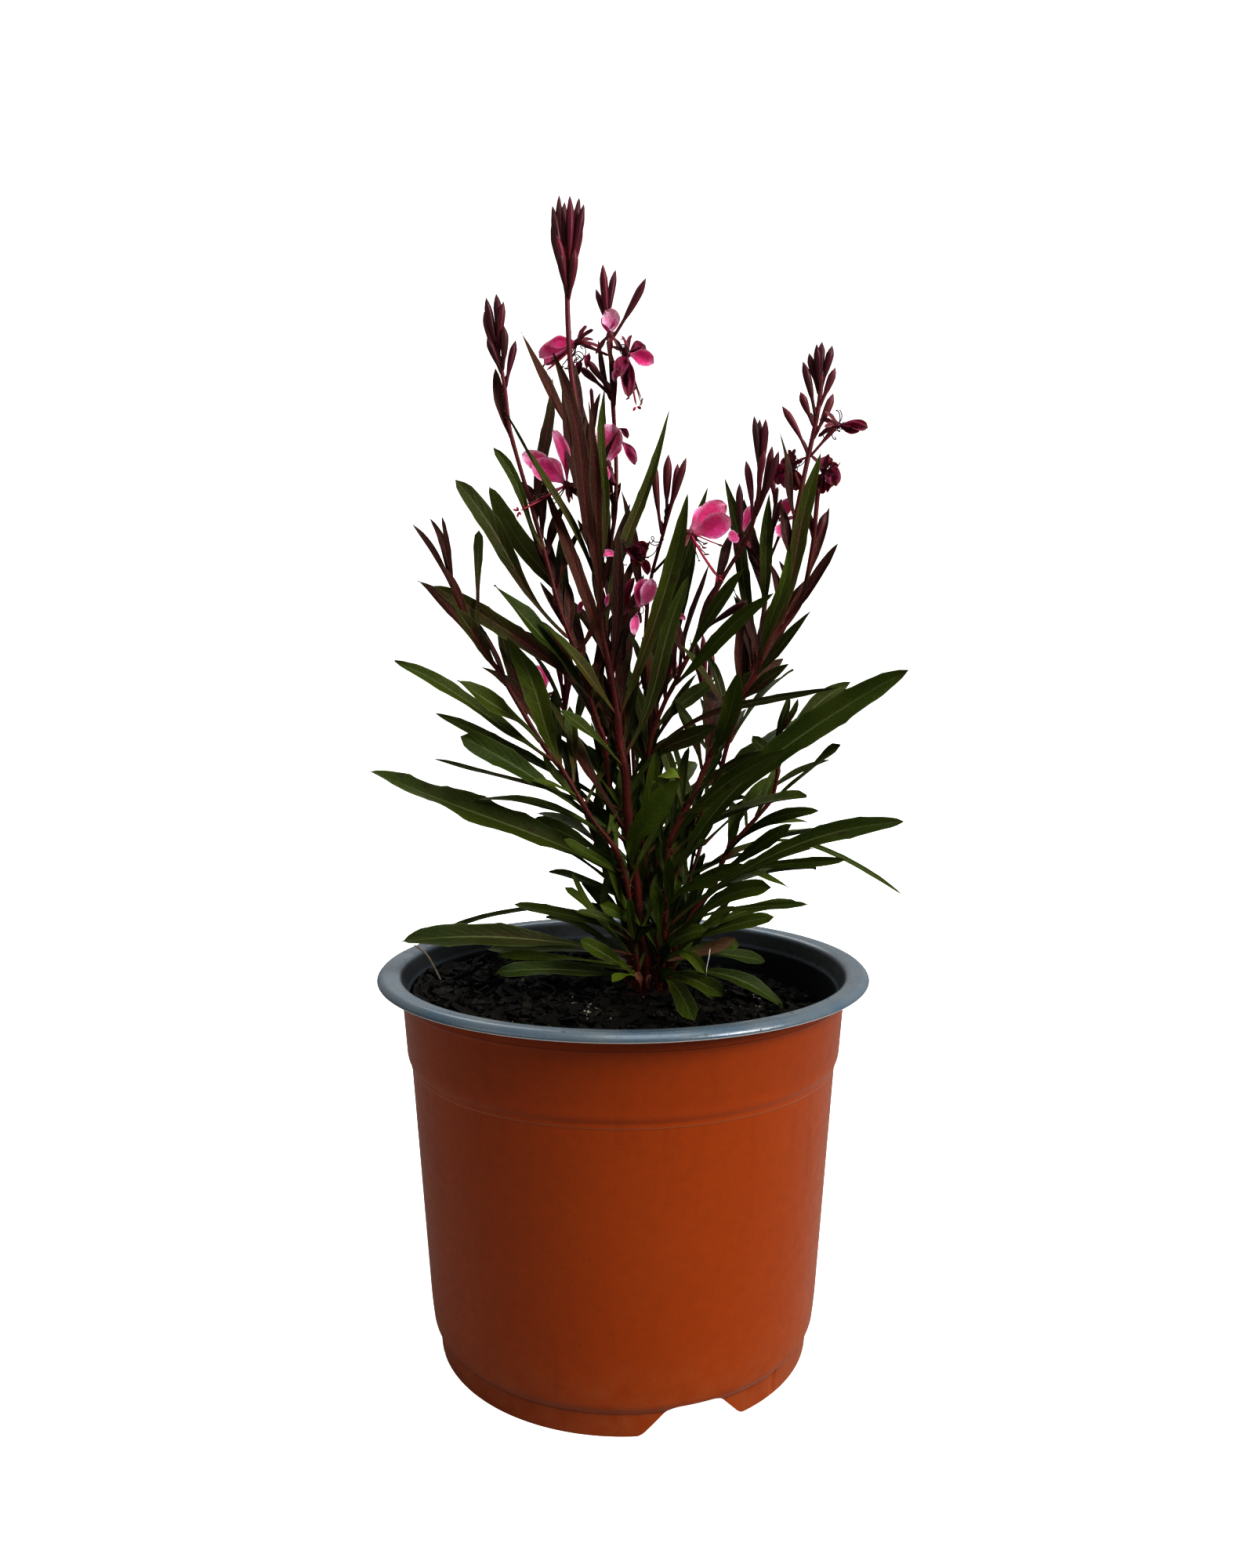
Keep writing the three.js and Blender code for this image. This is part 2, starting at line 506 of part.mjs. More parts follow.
// A straw leans out over the rim: its free end and its bend as [across, up, depth], then where it rests
const STRAW_TOP = [-65.2, 122.4, 3];
const STRAW_BEND = [-61, 119.2, 1];
const STRAW_REST = new THREE.Vector2(-56.4, -1);
const STRAW_RADIUS = 0.5;

function fromView([across, up, depth]) {
  const share = (depth - VIEW_POINT.y) / -VIEW_POINT.y;
  return new THREE.Vector3(across, 0, up).sub(VIEW_POINT).multiplyScalar(share).add(VIEW_POINT);
}

function upInView(point) {
  const share = (point.y - VIEW_POINT.y) / -VIEW_POINT.y;
  return VIEW_POINT.z + (point.z - VIEW_POINT.z) / share;
}

// A repeatable draw between 0 and 1 for each whole number
function chance(n) {
  const value = Math.sin(n * 12.9898) * 43758.5453;
  return value - Math.floor(value);
}

function mix(a, b, share) {
  return a + (b - a) * share;
}

// Solids
function solidOf(geometry) {
  const bare = geometry.index ? geometry.clone() : geometry;
  bare.deleteAttribute("normal");
  bare.deleteAttribute("uv");
  const merged = mergeVertices(bare, 1e-4);
  const vertProperties = Float32Array.from(merged.attributes.position.array);
  const triVerts = Uint32Array.from(merged.index.array);
  return new wasm.Manifold(new wasm.Mesh({ numProp: 3, vertProperties, triVerts }));
}

function geometryOf(solid) {
  const mesh = solid.getMesh();
  const geometry = new THREE.BufferGeometry();
  geometry.setAttribute("position", new THREE.BufferAttribute(Float32Array.from(mesh.vertProperties), 3));
  geometry.setIndex(Array.from(mesh.triVerts));
  return geometry;
}

function joined(solids) {
  return outerBody(wasm.Manifold.union(solids).simplify(JOIN_TOLERANCE));
}

// Blades that cross can close a small hollow between them, which is filled.
function outerBody(solid) {
  return solid.decompose().sort((a, b) => b.volume() - a.volume())[0];
}

function signedVolume(points, faces) {
  let total = 0;
  for (const [a, b, c] of faces) {
    total += points[a].dot(new THREE.Vector3().crossVectors(points[b], points[c]));
  }
  return total;
}

// A closed skin over rings of points. A ring of one point is a tip, and other end rings are closed flat.
// The second half of a ring of four is split the other way, so that both faces of a blade are split alike.
function loft(rings) {
  const points = rings.flat();
  const faces = [];
  let start = 0;
  for (let i = 0; i + 1 < rings.length; i++) {
    const near = rings[i].length;
    const far = rings[i + 1].length;
    const sides = Math.max(near, far);
    const next = start + near;
    for (let k = 0; k < sides; k++) {
      const m = (k + 1) % sides;
      if (near === 1) {
        faces.push([start, next + k, next + m]);
      } else if (far === 1) {
        faces.push([start + k, next, start + m]);
      } else if (sides !== 4 || k < 2) {
        faces.push([start + k, next + k, next + m], [start + k, next + m, start + m]);
      } else {
        faces.push([start + k, next + k, start + m], [start + m, next + k, next + m]);
      }
    }
    start = next;
  }
  for (let k = 1; k + 1 < rings[0].length; k++) {
    faces.push([0, k, k + 1]);
  }
  for (let k = 1; k + 1 < rings.at(-1).length; k++) {
    faces.push([start, start + k + 1, start + k]);
  }
  const inwards = signedVolume(points, faces) < 0;
  const geometry = new THREE.BufferGeometry().setFromPoints(points);
  geometry.setIndex(faces.flatMap(([a, b, c]) => (inwards ? [a, c, b] : [a, b, c])));
  return solidOf(geometry);
}

// Pot
function potProfile() {
  const innerStep = STEP_RADIUS - WALL;
  const points = [
    [0, FOOT_HEIGHT],
    [FOOT_RADIUS - FOOT_WALL, FOOT_HEIGHT],
    [FOOT_RADIUS - FOOT_WALL, 0],
    [FOOT_RADIUS - 0.6, 0],
    [FOOT_RADIUS, FOOT_HEIGHT],
    [BODY_FOOT_RADIUS - 0.8, FOOT_HEIGHT + 1.6],
    [BODY_FOOT_RADIUS, FOOT_HEIGHT + 7],
    [STEP_RADIUS, STEP_LEVEL],
    [BAND_RADIUS, STEP_LEVEL + STEP_RISE],
    [NECK_RADIUS, LEDGE_LEVEL],
    [NECK_RADIUS + 0.2, FLANGE_LEVEL],
    [RIM_RADIUS - 0.4, FLANGE_LEVEL + 1],
    [RIM_RADIUS, FLANGE_LEVEL + 2.2],
    [RIM_RADIUS - 1.4, POT_HEIGHT],
    [RIM_RADIUS - 6.8, POT_HEIGHT - 0.4],
    [LEDGE_RADIUS + 0.6, LEDGE_LEVEL + 0.9],
    [LEDGE_RADIUS, LEDGE_LEVEL],
    [BAND_RADIUS - WALL, STEP_LEVEL + STEP_RISE + 1],
    [innerStep, STEP_LEVEL + 1],
    [BODY_FOOT_RADIUS - WALL, FOOT_HEIGHT + 7],
    [BODY_FOOT_RADIUS - WALL - 1.4, FOOT_HEIGHT + FLOOR_THICKNESS],
    [0, FOOT_HEIGHT + FLOOR_THICKNESS],
  ];
  return points.map(([radius, height]) => new THREE.Vector2(radius, height));
}

function lathe(profile, sides) {
  const geometry = new THREE.LatheGeometry(profile, sides);
  geometry.rotateX(Math.PI / 2);
  return geometry;
}

// A turn is measured from the front, -Y, towards +X.
function placeRound(geometry, turn, radius) {
  geometry.translate(0, -radius, 0);
  geometry.rotateZ(turn);
  return geometry;
}

function notchCutter(turn) {
  const foot = NOTCH_FOOT_WIDTH / 2;
  const top = NOTCH_TOP_WIDTH / 2;
  const outline = new THREE.Shape();
  outline.moveTo(-foot, -1);
  outline.lineTo(foot, -1);
  outline.lineTo(top + NOTCH_CORNER * 0.6, NOTCH_TOP - NOTCH_CORNER);
  outline.quadraticCurveTo(top, NOTCH_TOP, top - NOTCH_CORNER, NOTCH_TOP);
  outline.lineTo(NOTCH_CORNER - top, NOTCH_TOP);
  outline.quadraticCurveTo(-top, NOTCH_TOP, -top - NOTCH_CORNER * 0.6, NOTCH_TOP - NOTCH_CORNER);
  outline.closePath();
  const depth = 16;
  const geometry = new THREE.ExtrudeGeometry(outline, { depth, bevelEnabled: false, curveSegments: 3 });
  geometry.rotateX(Math.PI / 2);
  geometry.translate(0, depth / 2, 0);
  return solidOf(placeRound(geometry, turn, FOOT_RADIUS - 3));
}

function fluteCutter(turn) {
  const geometry = new THREE.CylinderGeometry(FLUTE_RADIUS, FLUTE_RADIUS, FOOT_HEIGHT, 12);
  geometry.rotateX(Math.PI / 2);
  geometry.translate(0, 0, FOOT_HEIGHT / 2 - 1);
  return solidOf(placeRound(geometry, turn, FOOT_RADIUS + FLUTE_RADIUS - FLUTE_DEPTH));
}

function drainCutter(turn, radius) {
  const geometry = new THREE.CylinderGeometry(DRAIN_RADIUS, DRAIN_RADIUS, FLOOR_THICKNESS * 3, 8);
  geometry.rotateX(Math.PI / 2);
  geometry.translate(0, 0, FOOT_HEIGHT + FLOOR_THICKNESS / 2);
  return solidOf(placeRound(geometry, turn, radius));
}

function makePot() {
  const cutters = [drainCutter(0, 0)];
  for (let i = 0; i < FEET; i++) {
    const turn = NOTCH_CENTRE + (i * 2 * Math.PI) / FEET;
    cutters.push(notchCutter(turn), fluteCutter(turn + FLUTE_TURN), drainCutter(turn, DRAIN_PLACE));
  }
  return solidOf(lathe(potProfile(), POT_SIDES)).subtract(wasm.Manifold.union(cutters));
}

// Crown and soil
function crownProfile(clear) {
  const points = [
    [0, CROWN_BOTTOM - clear],
    [2 + clear, CROWN_BOTTOM + 3],
    [4.5 + clear, CROWN_BOTTOM + 16],
    [CROWN_RADIUS - 1 + clear, SOCKET_BOTTOM - 6],
    [CROWN_RADIUS + clear, SOCKET_BOTTOM],
    [CROWN_RADIUS + clear, CROWN_TOP - 1 + clear],
    [CROWN_RADIUS - 1.4 + clear, CROWN_TOP + clear],
    [0, CROWN_TOP + clear],
  ];
  return points.map(([radius, height]) => new THREE.Vector2(radius, height));
}

function crownBody(clear) {
  const geometry = lathe(crownProfile(clear), CROWN_SIDES);
  geometry.translate(CROWN.x, CROWN.y, 0);
  return solidOf(geometry);
}

function soilHeight(x, y) {
  const fromCrown = Math.hypot(x - CROWN.x, y - CROWN.y);
  const mound = MOUND_RISE * Math.exp(-((fromCrown / MOUND_SPREAD) ** 2));
  const waves = 0.7 * Math.sin(x * 0.31 + 1.3) * Math.sin(y * 0.27 + 0.4);
  const lumps = 0.4 * Math.sin(x * 0.71 - y * 0.53);
  return SOIL_LEVEL - SOIL_FALL_ACROSS * x - SOIL_FALL_DEPTH * y + mound + waves + lumps;
}

function soilBody() {
  const floor = FOOT_HEIGHT + FLOOR_THICKNESS + CLEAR;
  const rings = [
    [0, floor],
    [BODY_FOOT_RADIUS - WALL - 2, floor],
    [BODY_FOOT_RADIUS - WALL - 0.8, FOOT_HEIGHT + 7],
    [STEP_RADIUS - WALL - 0.8, STEP_LEVEL + 1],
    [SOIL_RADIUS - 0.3, STEP_LEVEL + STEP_RISE + 1],
    [SOIL_RADIUS, SOIL_LEVEL],
    [50, SOIL_LEVEL],
    [34, SOIL_LEVEL],
    [20, SOIL_LEVEL],
    [0, SOIL_LEVEL],
  ];
  const profile = rings.map(([radius, height]) => new THREE.Vector2(radius, height));
  const geometry = lathe(profile, SOIL_SIDES);
  const place = geometry.attributes.position;
  for (let i = 0; i < place.count; i++) {
    if (place.getZ(i) === Math.fround(SOIL_LEVEL)) {
      place.setZ(i, soilHeight(place.getX(i), place.getY(i)));
    }
  }
  return solidOf(geometry);
}

// Bark chips lie half sunk in the surface, turned and tilted by repeatable draws.
function barkChip(n) {
  const radius = 62 * Math.sqrt(chance(n));
  const angle = 2 * Math.PI * chance(n + 50);
  const x = radius * Math.cos(angle);
  const y = radius * Math.sin(angle);
  const length = mix(4, 11, chance(n + 100));
  const geometry = new THREE.BoxGeometry(length, mix(1.6, 3.4, chance(n + 150)), 2.6);
  geometry.rotateY(mix(-0.35, 0.35, chance(n + 200)));
  geometry.rotateZ(Math.PI * chance(n + 250));
  geometry.translate(x, y, soilHeight(x, y) + 0.1);
  const reach = Math.hypot(x, y) + length / 2;
  const nearCrown = Math.hypot(x - CROWN.x, y - CROWN.y) < CROWN_RADIUS + length / 2 + 2;
  return reach < SOIL_RADIUS - 0.5 && !nearCrown ? solidOf(geometry) : null;
}

function makeSoil() {
  const chips = [];
  for (let n = 1; chips.length < CHIP_COUNT; n++) {
    const chip = barkChip(n);
    if (chip) {
      chips.push(chip);
    }
  }
  return joined([soilBody(), ...chips]).subtract(crownHole());
}

function crownHole() {
  const upper = new THREE.CylinderGeometry(CROWN_RADIUS + CLEAR, CROWN_RADIUS + CLEAR, 16, CROWN_SIDES);
  upper.rotateX(Math.PI / 2);
  upper.translate(CROWN.x, CROWN.y, SOCKET_BOTTOM + 8);
  return crownBody(CLEAR).add(solidOf(upper));
}

// Stems
function smoothRoute(rows) {
  const points = rows.map((row) => (row.isVector3 ? row : fromView(row)));
  const route = [];
  for (let i = 0; i + 1 < points.length; i++) {
    const before = points[Math.max(0, i - 1)];
    const after = points[Math.min(points.length - 1, i + 2)];
    const steps = Math.max(1, Math.ceil(points[i].distanceTo(points[i + 1]) / STEM_STEP));
    for (let k = 0; k < steps; k++) {
      route.push(catmull(before, points[i], points[i + 1], after, k / steps));
    }
  }
  route.push(points.at(-1).clone());
  return thinned(route);
}

// Leaves out the points that a straight run between their neighbours passes closely.
function thinned(route) {
  const kept = [route[0]];
  for (let i = 1; i + 1 < route.length; i++) {
    const from = kept.at(-1);
    const run = new THREE.Line3(from, route[i + 1]);
    const nearest = run.closestPointToPoint(route[i], true, new THREE.Vector3());
    if (nearest.distanceTo(route[i]) > STEM_TOLERANCE || from.distanceTo(route[i + 1]) > 2 * STEM_STEP) {
      kept.push(route[i]);
    }
  }
  kept.push(route.at(-1));
  return kept;
}

function catmull(a, b, c, d, t) {
  const along = new THREE.Vector3().subVectors(c, a).multiplyScalar(0.5);
  const end = new THREE.Vector3().subVectors(d, b).multiplyScalar(0.5);
  const t2 = t * t;
  const t3 = t2 * t;
  return new THREE.Vector3()
    .addScaledVector(b, 2 * t3 - 3 * t2 + 1)
    .addScaledVector(along, t3 - 2 * t2 + t)
    .addScaledVector(c, 3 * t2 - 2 * t3)
    .addScaledVector(end, t3 - t2);
}

function ringRound(centre, direction, radius, sides) {
  const first = new THREE.Vector3(0, 1, 0).cross(direction).normalize().multiplyScalar(radius);
  const second = new THREE.Vector3().crossVectors(direction, first).normalize().multiplyScalar(radius);
  return Array.from({ length: sides }, (_, k) => {
    const angle = (2 * Math.PI * k) / sides;
    return centre.clone().addScaledVector(first, Math.cos(angle)).addScaledVector(second, Math.sin(angle));
  });
}

function tube(route, radiusAt, sides) {
  return loft(
    route.map((point, i) => {
      const direction = new THREE.Vector3()
        .subVectors(route[Math.min(route.length - 1, i + 1)], route[Math.max(0, i - 1)])
        .normalize();
      return ringRound(point, direction, radiusAt(i / (route.length - 1)), sides);
    }),
  );
}

function footPlace([reach, turn]) {
  const angle = THREE.MathUtils.degToRad(turn);
  return [CROWN.x + reach * Math.cos(angle), CROWN.y + reach * Math.sin(angle)];
}

function stemRoute(shoot) {
  const [x, y] = footPlace(shoot.foot);
  const foot = [new THREE.Vector3(x, y, SOCKET_BOTTOM), new THREE.Vector3(x, y, CROWN_TOP + 1)];
  return smoothRoute([...foot, ...shoot.route]);
}

function pointAtUp(route, up) {
  for (let i = 0; i + 1 < route.length; i++) {
    const low = upInView(route[i]);
    const high = upInView(route[i + 1]);
    if (low <= up && up <= high) {
      return route[i].clone().lerp(route[i + 1], (up - low) / (high - low));
    }
  }
  return route.at(-1).clone();
}

// Blades: a spine of three points with a width, and a folded section square to it
function archPoint(base, tip, arch) {
  const chord = new THREE.Vector3().subVectors(tip, base);
  const flat = Math.hypot(chord.x, chord.z) || 1;
  const side = chord.x < 0 ? 1 : -1;
  const lift = new THREE.Vector3((side * Math.max(chord.z, 0)) / flat, 0, Math.abs(chord.x) / flat);
  return base.clone().lerp(tip, 0.5).addScaledVector(lift.normalize(), 2 * arch);
}

function faceDirection(base, tip, turn) {
  const chord = new THREE.Vector3().subVectors(tip, base).normalize();
  const up = new THREE.Vector3(0, 0, 1);
  const above = up.addScaledVector(chord, -up.dot(chord)).normalize();
  const front = new THREE.Vector3().subVectors(VIEW_POINT, base);
  front.addScaledVector(chord, -front.dot(chord)).normalize();
  const angle = THREE.MathUtils.degToRad(turn);
  return above.multiplyScalar(Math.cos(angle)).addScaledVector(front, Math.sin(angle)).normalize();
}

function spineAt(blade, u) {
  const { base, middle, tip } = blade;
  const point = base.clone().multiplyScalar((1 - u) ** 2);
  point.addScaledVector(middle, 2 * u * (1 - u)).addScaledVector(tip, u * u);
  const along = new THREE.Vector3().subVectors(middle, base).multiplyScalar(2 * (1 - u));
  along.addScaledVector(new THREE.Vector3().subVectors(tip, middle), 2 * u).normalize();
  const face = blade.face.clone().addScaledVector(along, -blade.face.dot(along)).normalize();
  const side = new THREE.Vector3().crossVectors(along, face);
  return { point, face, side };
}

// A leaf is narrow at its foot, widest past its middle and pointed.
function leafShare(u) {
  return Math.sin(Math.PI * u ** 1.357) ** 1.1;
}

// A petal is a narrow claw with a broad, blunt end: [share of its length, share of its width].
const PETAL_SHARES = [
  [0, 0.2],
  [0.42, 0.66],
  [0.78, 1],
  [1, 0.5],
];

// A large blade is grooved along its upper side, and a small one is keeled below only.
function bladeSection(blade, u, halfWidth, extra, wave, grooved) {
  const { point, face, side } = spineAt(blade, u);
  const half = halfWidth + extra;
  const thick = BLADE_THICKNESS / 2 + extra;
  const lift = grooved ? BLADE_FOLD * halfWidth : BLADE_THICKNESS / 2;
  const left = point.clone().addScaledVector(side, half).addScaledVector(face, lift + wave);
  const right = point.clone().addScaledVector(side, -half).addScaledVector(face, lift - wave);
  const keel = point.clone().addScaledVector(face, -thick);
  return grooved ? [left, point.clone().addScaledVector(face, thick), right, keel] : [left, right, keel];
}

function leafStations(length) {
  if (length < SHORT_LEAF) {
    return [0, 0.6];
  }
  return length < LONG_LEAF ? [0, 0.42, 0.78] : [0, 0.32, 0.6, 0.85];
}

function leafSolid(blade, extra = 0) {
  const length = blade.base.distanceTo(blade.tip);
  const stations = leafStations(length);
  const rings = stations.map((u, i) => {
    const halfWidth = Math.max(PETIOLE_HALF_WIDTH, (blade.width / 2) * leafShare(u));
    const wave = i === 0 ? 0 : blade.width * 0.05 * (i % 2 ? 1 : -1);
    return bladeSection(blade, u, halfWidth, extra, wave, length > GROOVED_LENGTH);
  });
  const past = new THREE.Vector3().subVectors(blade.tip, blade.middle).normalize();
  return loft([...rings, [blade.tip.clone().addScaledVector(past, extra)]]);
}

function petalSolid(blade, extra = 0) {
  const rings = PETAL_SHARES.map(([u, share], i) => {
    const wave = i === 0 ? 0 : blade.width * 0.05 * (i % 2 ? 1 : -1);
    return bladeSection(blade, u, (blade.width / 2) * share, extra, wave, blade.width > BROAD_PETAL);
  });
  return loft(rings);
}

function bladeTo(base, tip, width, arch, turn) {
  return { base, tip, width, middle: archPoint(base, tip, arch), face: faceDirection(base, tip, turn) };
}

// Leaves whose tips were read in the view: a bend moves the tip nearer or further along its line of sight.
function placedLeaves(rows, route) {
  return rows.map(([up, across, tipUp, depth, width, arch, turn]) => (bend) => {
    const tip = fromView([across, tipUp, depth + bend * BEND_STEP]);
    return bladeTo(pointAtUp(route, up), tip, width, arch, turn);
  });
}

// Leaves spread round the stem by the golden angle: a bend turns the leaf about the stem.
function spreadLeaves([low, high, count, longest, shortest, middle, spread], route, seed) {
  return Array.from({ length: count }, (_, i) => (bend) => {
    const share = count > 1 ? i / (count - 1) : 0;
    const base = pointAtUp(route, mix(low, high, share));
    const swing = ((i * 0.618 + chance(seed + i) * 0.12) % 1) * 2 - 1;
    const azimuth = THREE.MathUtils.degToRad(middle + spread * swing) + bend * TURN_STEP;
    const slope = THREE.MathUtils.degToRad(mix(22, 62, share) + 14 * (chance(seed + i + 40) - 0.5));
    const length = mix(longest, shortest, share) * mix(0.85, 1.1, chance(seed + i + 80));
    const level = Math.cos(slope);
    const away = new THREE.Vector3(Math.cos(azimuth) * level, Math.sin(azimuth) * level, Math.sin(slope));
    const tip = base.clone().addScaledVector(away, length);
    const width = mix(8, 4.2, share) * mix(0.8, 1.1, chance(seed + i + 120));
    const blade = bladeTo(base, tip, width, mix(4, 1.5, share), 0);
    const lift = new THREE.Vector3(-away.x * away.z, -away.y * away.z, level * level).normalize();
    blade.middle = base.clone().lerp(tip, 0.5).addScaledVector(lift, 2 * mix(4, 1.5, share));
    blade.face.applyAxisAngle(away, 0.5 * (chance(seed + i + 160) - 0.5));
    return blade;
  });
}

// Buds, stalks and blooms
function budSolid(base, tip, thickness, stalk) {
  const radius = thickness / 2;
  const shares = [[0, STALK_RADIUS / radius], [stalk, STALK_RADIUS / radius], [mix(stalk, 1, 0.55), 1]];
  const direction = new THREE.Vector3().subVectors(tip, base).normalize();
  const rings = shares.map(([u, share]) => {
    return ringRound(base.clone().lerp(tip, u), direction, radius * share, BUD_SIDES);
  });
  return loft([...rings, [tip.clone()]]);
}

function stalkSolid(base, end) {
  const direction = new THREE.Vector3().subVectors(end, base);
  const length = direction.length() - RECEPTACLE_RADIUS - CLEAR - 0.2;
  const stop = base.clone().addScaledVector(direction.normalize(), length);
  const rings = [
    ringRound(base, direction, STALK_RADIUS, 4),
    ringRound(base.clone().lerp(stop, 0.6), direction, STALK_RADIUS, 4),
    ringRound(stop, direction, STALK_RADIUS * 1.5, 4),
  ];
  return loft(rings);
}

function receptacle(centre) {
  const geometry = new THREE.OctahedronGeometry(RECEPTACLE_RADIUS);
  geometry.translate(centre.x, centre.y, centre.z);
  return solidOf(geometry);
}

function threadSolid(base, tip) {
  const direction = new THREE.Vector3().subVectors(tip, base).normalize();
  const end = base.clone().lerp(tip, 0.9);
  const foot = ringRound(base, direction, THREAD_RADIUS, 3);
  return loft([foot, ringRound(end, direction, THREAD_RADIUS * 0.8, 3), [tip]]);
}

function bloomSolid(bloom) {
  const foot = fromView(bloom.foot);
  const petals = bloom.petals.map(([across, up, depth, width, arch, turn]) =>
    petalSolid(bladeTo(foot, fromView([across, up, depth]), width, arch, turn)),
  );
  const threads = bloom.threads.map((tip) => threadSolid(foot, fromView(tip)));
  return joined([receptacle(foot), ...petals, ...threads]);
}

// Assembly: stems and blooms stand first, then each leaf takes the first bend that is clear of other pieces.
function boxesMeet(a, b) {
  return [0, 1, 2].every((k) => a.min[k] <= b.max[k] && b.min[k] <= a.max[k]);
}

class Standing {
  constructor() {
    this.solids = [];
  }

  add(owner, solid) {
    this.solids.push({ owner, solid, box: solid.boundingBox() });
  }

  clearOf(owner, solid) {
    const box = solid.boundingBox();
    for (const other of this.solids) {
      if (other.owner !== owner && boxesMeet(box, other.box)) {
        const shared = solid.intersect(other.solid);
        const meets = !shared.isEmpty();
        shared.delete();
        if (meets) {
          return false;
        }
      }
    }
    return true;
  }
}

function stemParts(shoot, route, branchRoutes) {
  const [foot, top] = shoot.thick;
  const parts = [tube(route, (share) => mix(foot, top, share) / 2, STEM_SIDES)];
  for (const branch of branchRoutes) {
    parts.push(tube(branch, () => top / 2, STEM_SIDES));
  }
  const addBuds = (rows, from) => {
    for (const [up, across, tipUp, depth, thickness, stalk] of rows) {
      parts.push(budSolid(pointAtUp(from, up), fromView([across, tipUp, depth]), thickness, stalk));
    }
  };
  addBuds(shoot.buds, route);
  addBuds(shoot.branchBuds ?? [], branchRoutes[0]);
  for (const bloom of BLOOMS) {
    const [owner, branch] = bloom.stalk[0].split("/");
    if (owner === shoot.name) {
      const from = branch === undefined ? route : branchRoutes[Number(branch)];
      parts.push(stalkSolid(pointAtUp(from, bloom.stalk[1]), fromView(bloom.foot)));
    }
  }
  return parts;
}

// A leaf with no clear bend is left out.
function growLeaves(owner, candidates, standing) {
  const grown = [];
  for (const leafAt of candidates) {
    const bend = BENDS.find((k) => standing.clearOf(owner, leafSolid(leafAt(k), CLEAR)));
    if (bend !== undefined) {
      const solid = leafSolid(leafAt(bend));
      standing.add(owner, solid);
      grown.push(solid);
    }
  }
  return grown;
}

function makePlant(pot, soil) {
  const standing = new Standing();
  standing.add("pot", pot);
  standing.add("potting_soil", soil);
  const shoots = SHOOTS.map((shoot) => {
    const route = stemRoute(shoot);
    const branchRoutes = (shoot.branches ?? []).map(smoothRoute);
    const parts = stemParts(shoot, route, branchRoutes);
    parts.forEach((part) => standing.add(shoot.name, part));
    return { shoot, route, branchRoutes, parts };
  });
  const blooms = BLOOMS.map((bloom) => {
    const solid = bloomSolid(bloom);
    standing.add(bloom.name, solid);
    return { name: bloom.name, finish: bloom.finish, solid };
  });
  const crown = crownBody(0).subtract(wasm.Manifold.union(SHOOTS.map(socket)));
  standing.add("root_crown", crown);
  for (const entry of shoots) {
    const { shoot, route, branchRoutes, parts } = entry;
    parts.push(...growLeaves(shoot.name, placedLeaves(shoot.leaves, route), standing));
    if (shoot.branchLeaves) {
      parts.push(...growLeaves(shoot.name, placedLeaves(shoot.branchLeaves, branchRoutes[0]), standing));
    }
  }
  shoots.forEach(({ shoot, route, parts }, i) => {
    parts.push(...growLeaves(shoot.name, spreadLeaves(shoot.rear, route, i * 200), standing));
  });
  const nodes = shoots.map(({ shoot, parts }) => {
    return { name: shoot.name, finish: "shoot", solid: joined(parts) };
  });
  nodes.push({ name: "root_crown", finish: "crown", solid: crown });
  return [...nodes, ...blooms];
}

// A plain hole in the crown for a stem's foot
function socket(shoot) {
  const [x, y] = footPlace(shoot.foot);
  const radius = shoot.thick[0] / 2 + CLEAR / Math.cos(Math.PI / STEM_SIDES);
  const depth = CROWN_TOP + 2 - (SOCKET_BOTTOM - CLEAR);
  const geometry = new THREE.CylinderGeometry(radius, radius, depth, STEM_SIDES);
  geometry.rotateX(Math.PI / 2);
  geometry.translate(x, y, SOCKET_BOTTOM - CLEAR + depth / 2);
  return solidOf(geometry);
}

function dryStraw() {
  const { x, y } = STRAW_REST;
  const rest = new THREE.Vector3(x, y, soilHeight(x, y) + STRAW_RADIUS + CLEAR);
  return tube([fromView(STRAW_TOP), fromView(STRAW_BEND), rest], () => STRAW_RADIUS, 4);
}

function meshOf(name, solid, finish) {
  const material = new THREE.MeshStandardMaterial({ ...FINISHES[finish], metalness: 0 });
  const mesh = new THREE.Mesh(geometryOf(solid), material);
  mesh.name = name;
  return mesh;
}

function makePottedGaura() {
  const pot = makePot();
  const soil = makeSoil();
  const group = new THREE.Group();
  group.add(meshOf("pot", pot, "pot"));
  group.add(meshOf("potting_soil", soil, "soil"));
  for (const { name, solid, finish } of makePlant(pot, soil)) {
    group.add(meshOf(name, solid, finish));
  }
  group.add(meshOf("dry_straw", dryStraw(), "straw"));
  const middle = new THREE.Box3().setFromObject(group).getCenter(new THREE.Vector3());
  group.position.set(-middle.x, -middle.y, 0);
  return group;
}

export default makePottedGaura();
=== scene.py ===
"""Dresses the potted gaura: its pot, the bark mix in it, and its leafy, budding shoots and pink blooms."""

import math
from math import cos, exp, hypot, pi, radians, sin, sqrt, tau

import bmesh
import bpy
from bpy.props import FloatProperty, FloatVectorProperty, IntProperty, PointerProperty
from mathutils import Matrix, Vector, kdtree, noise


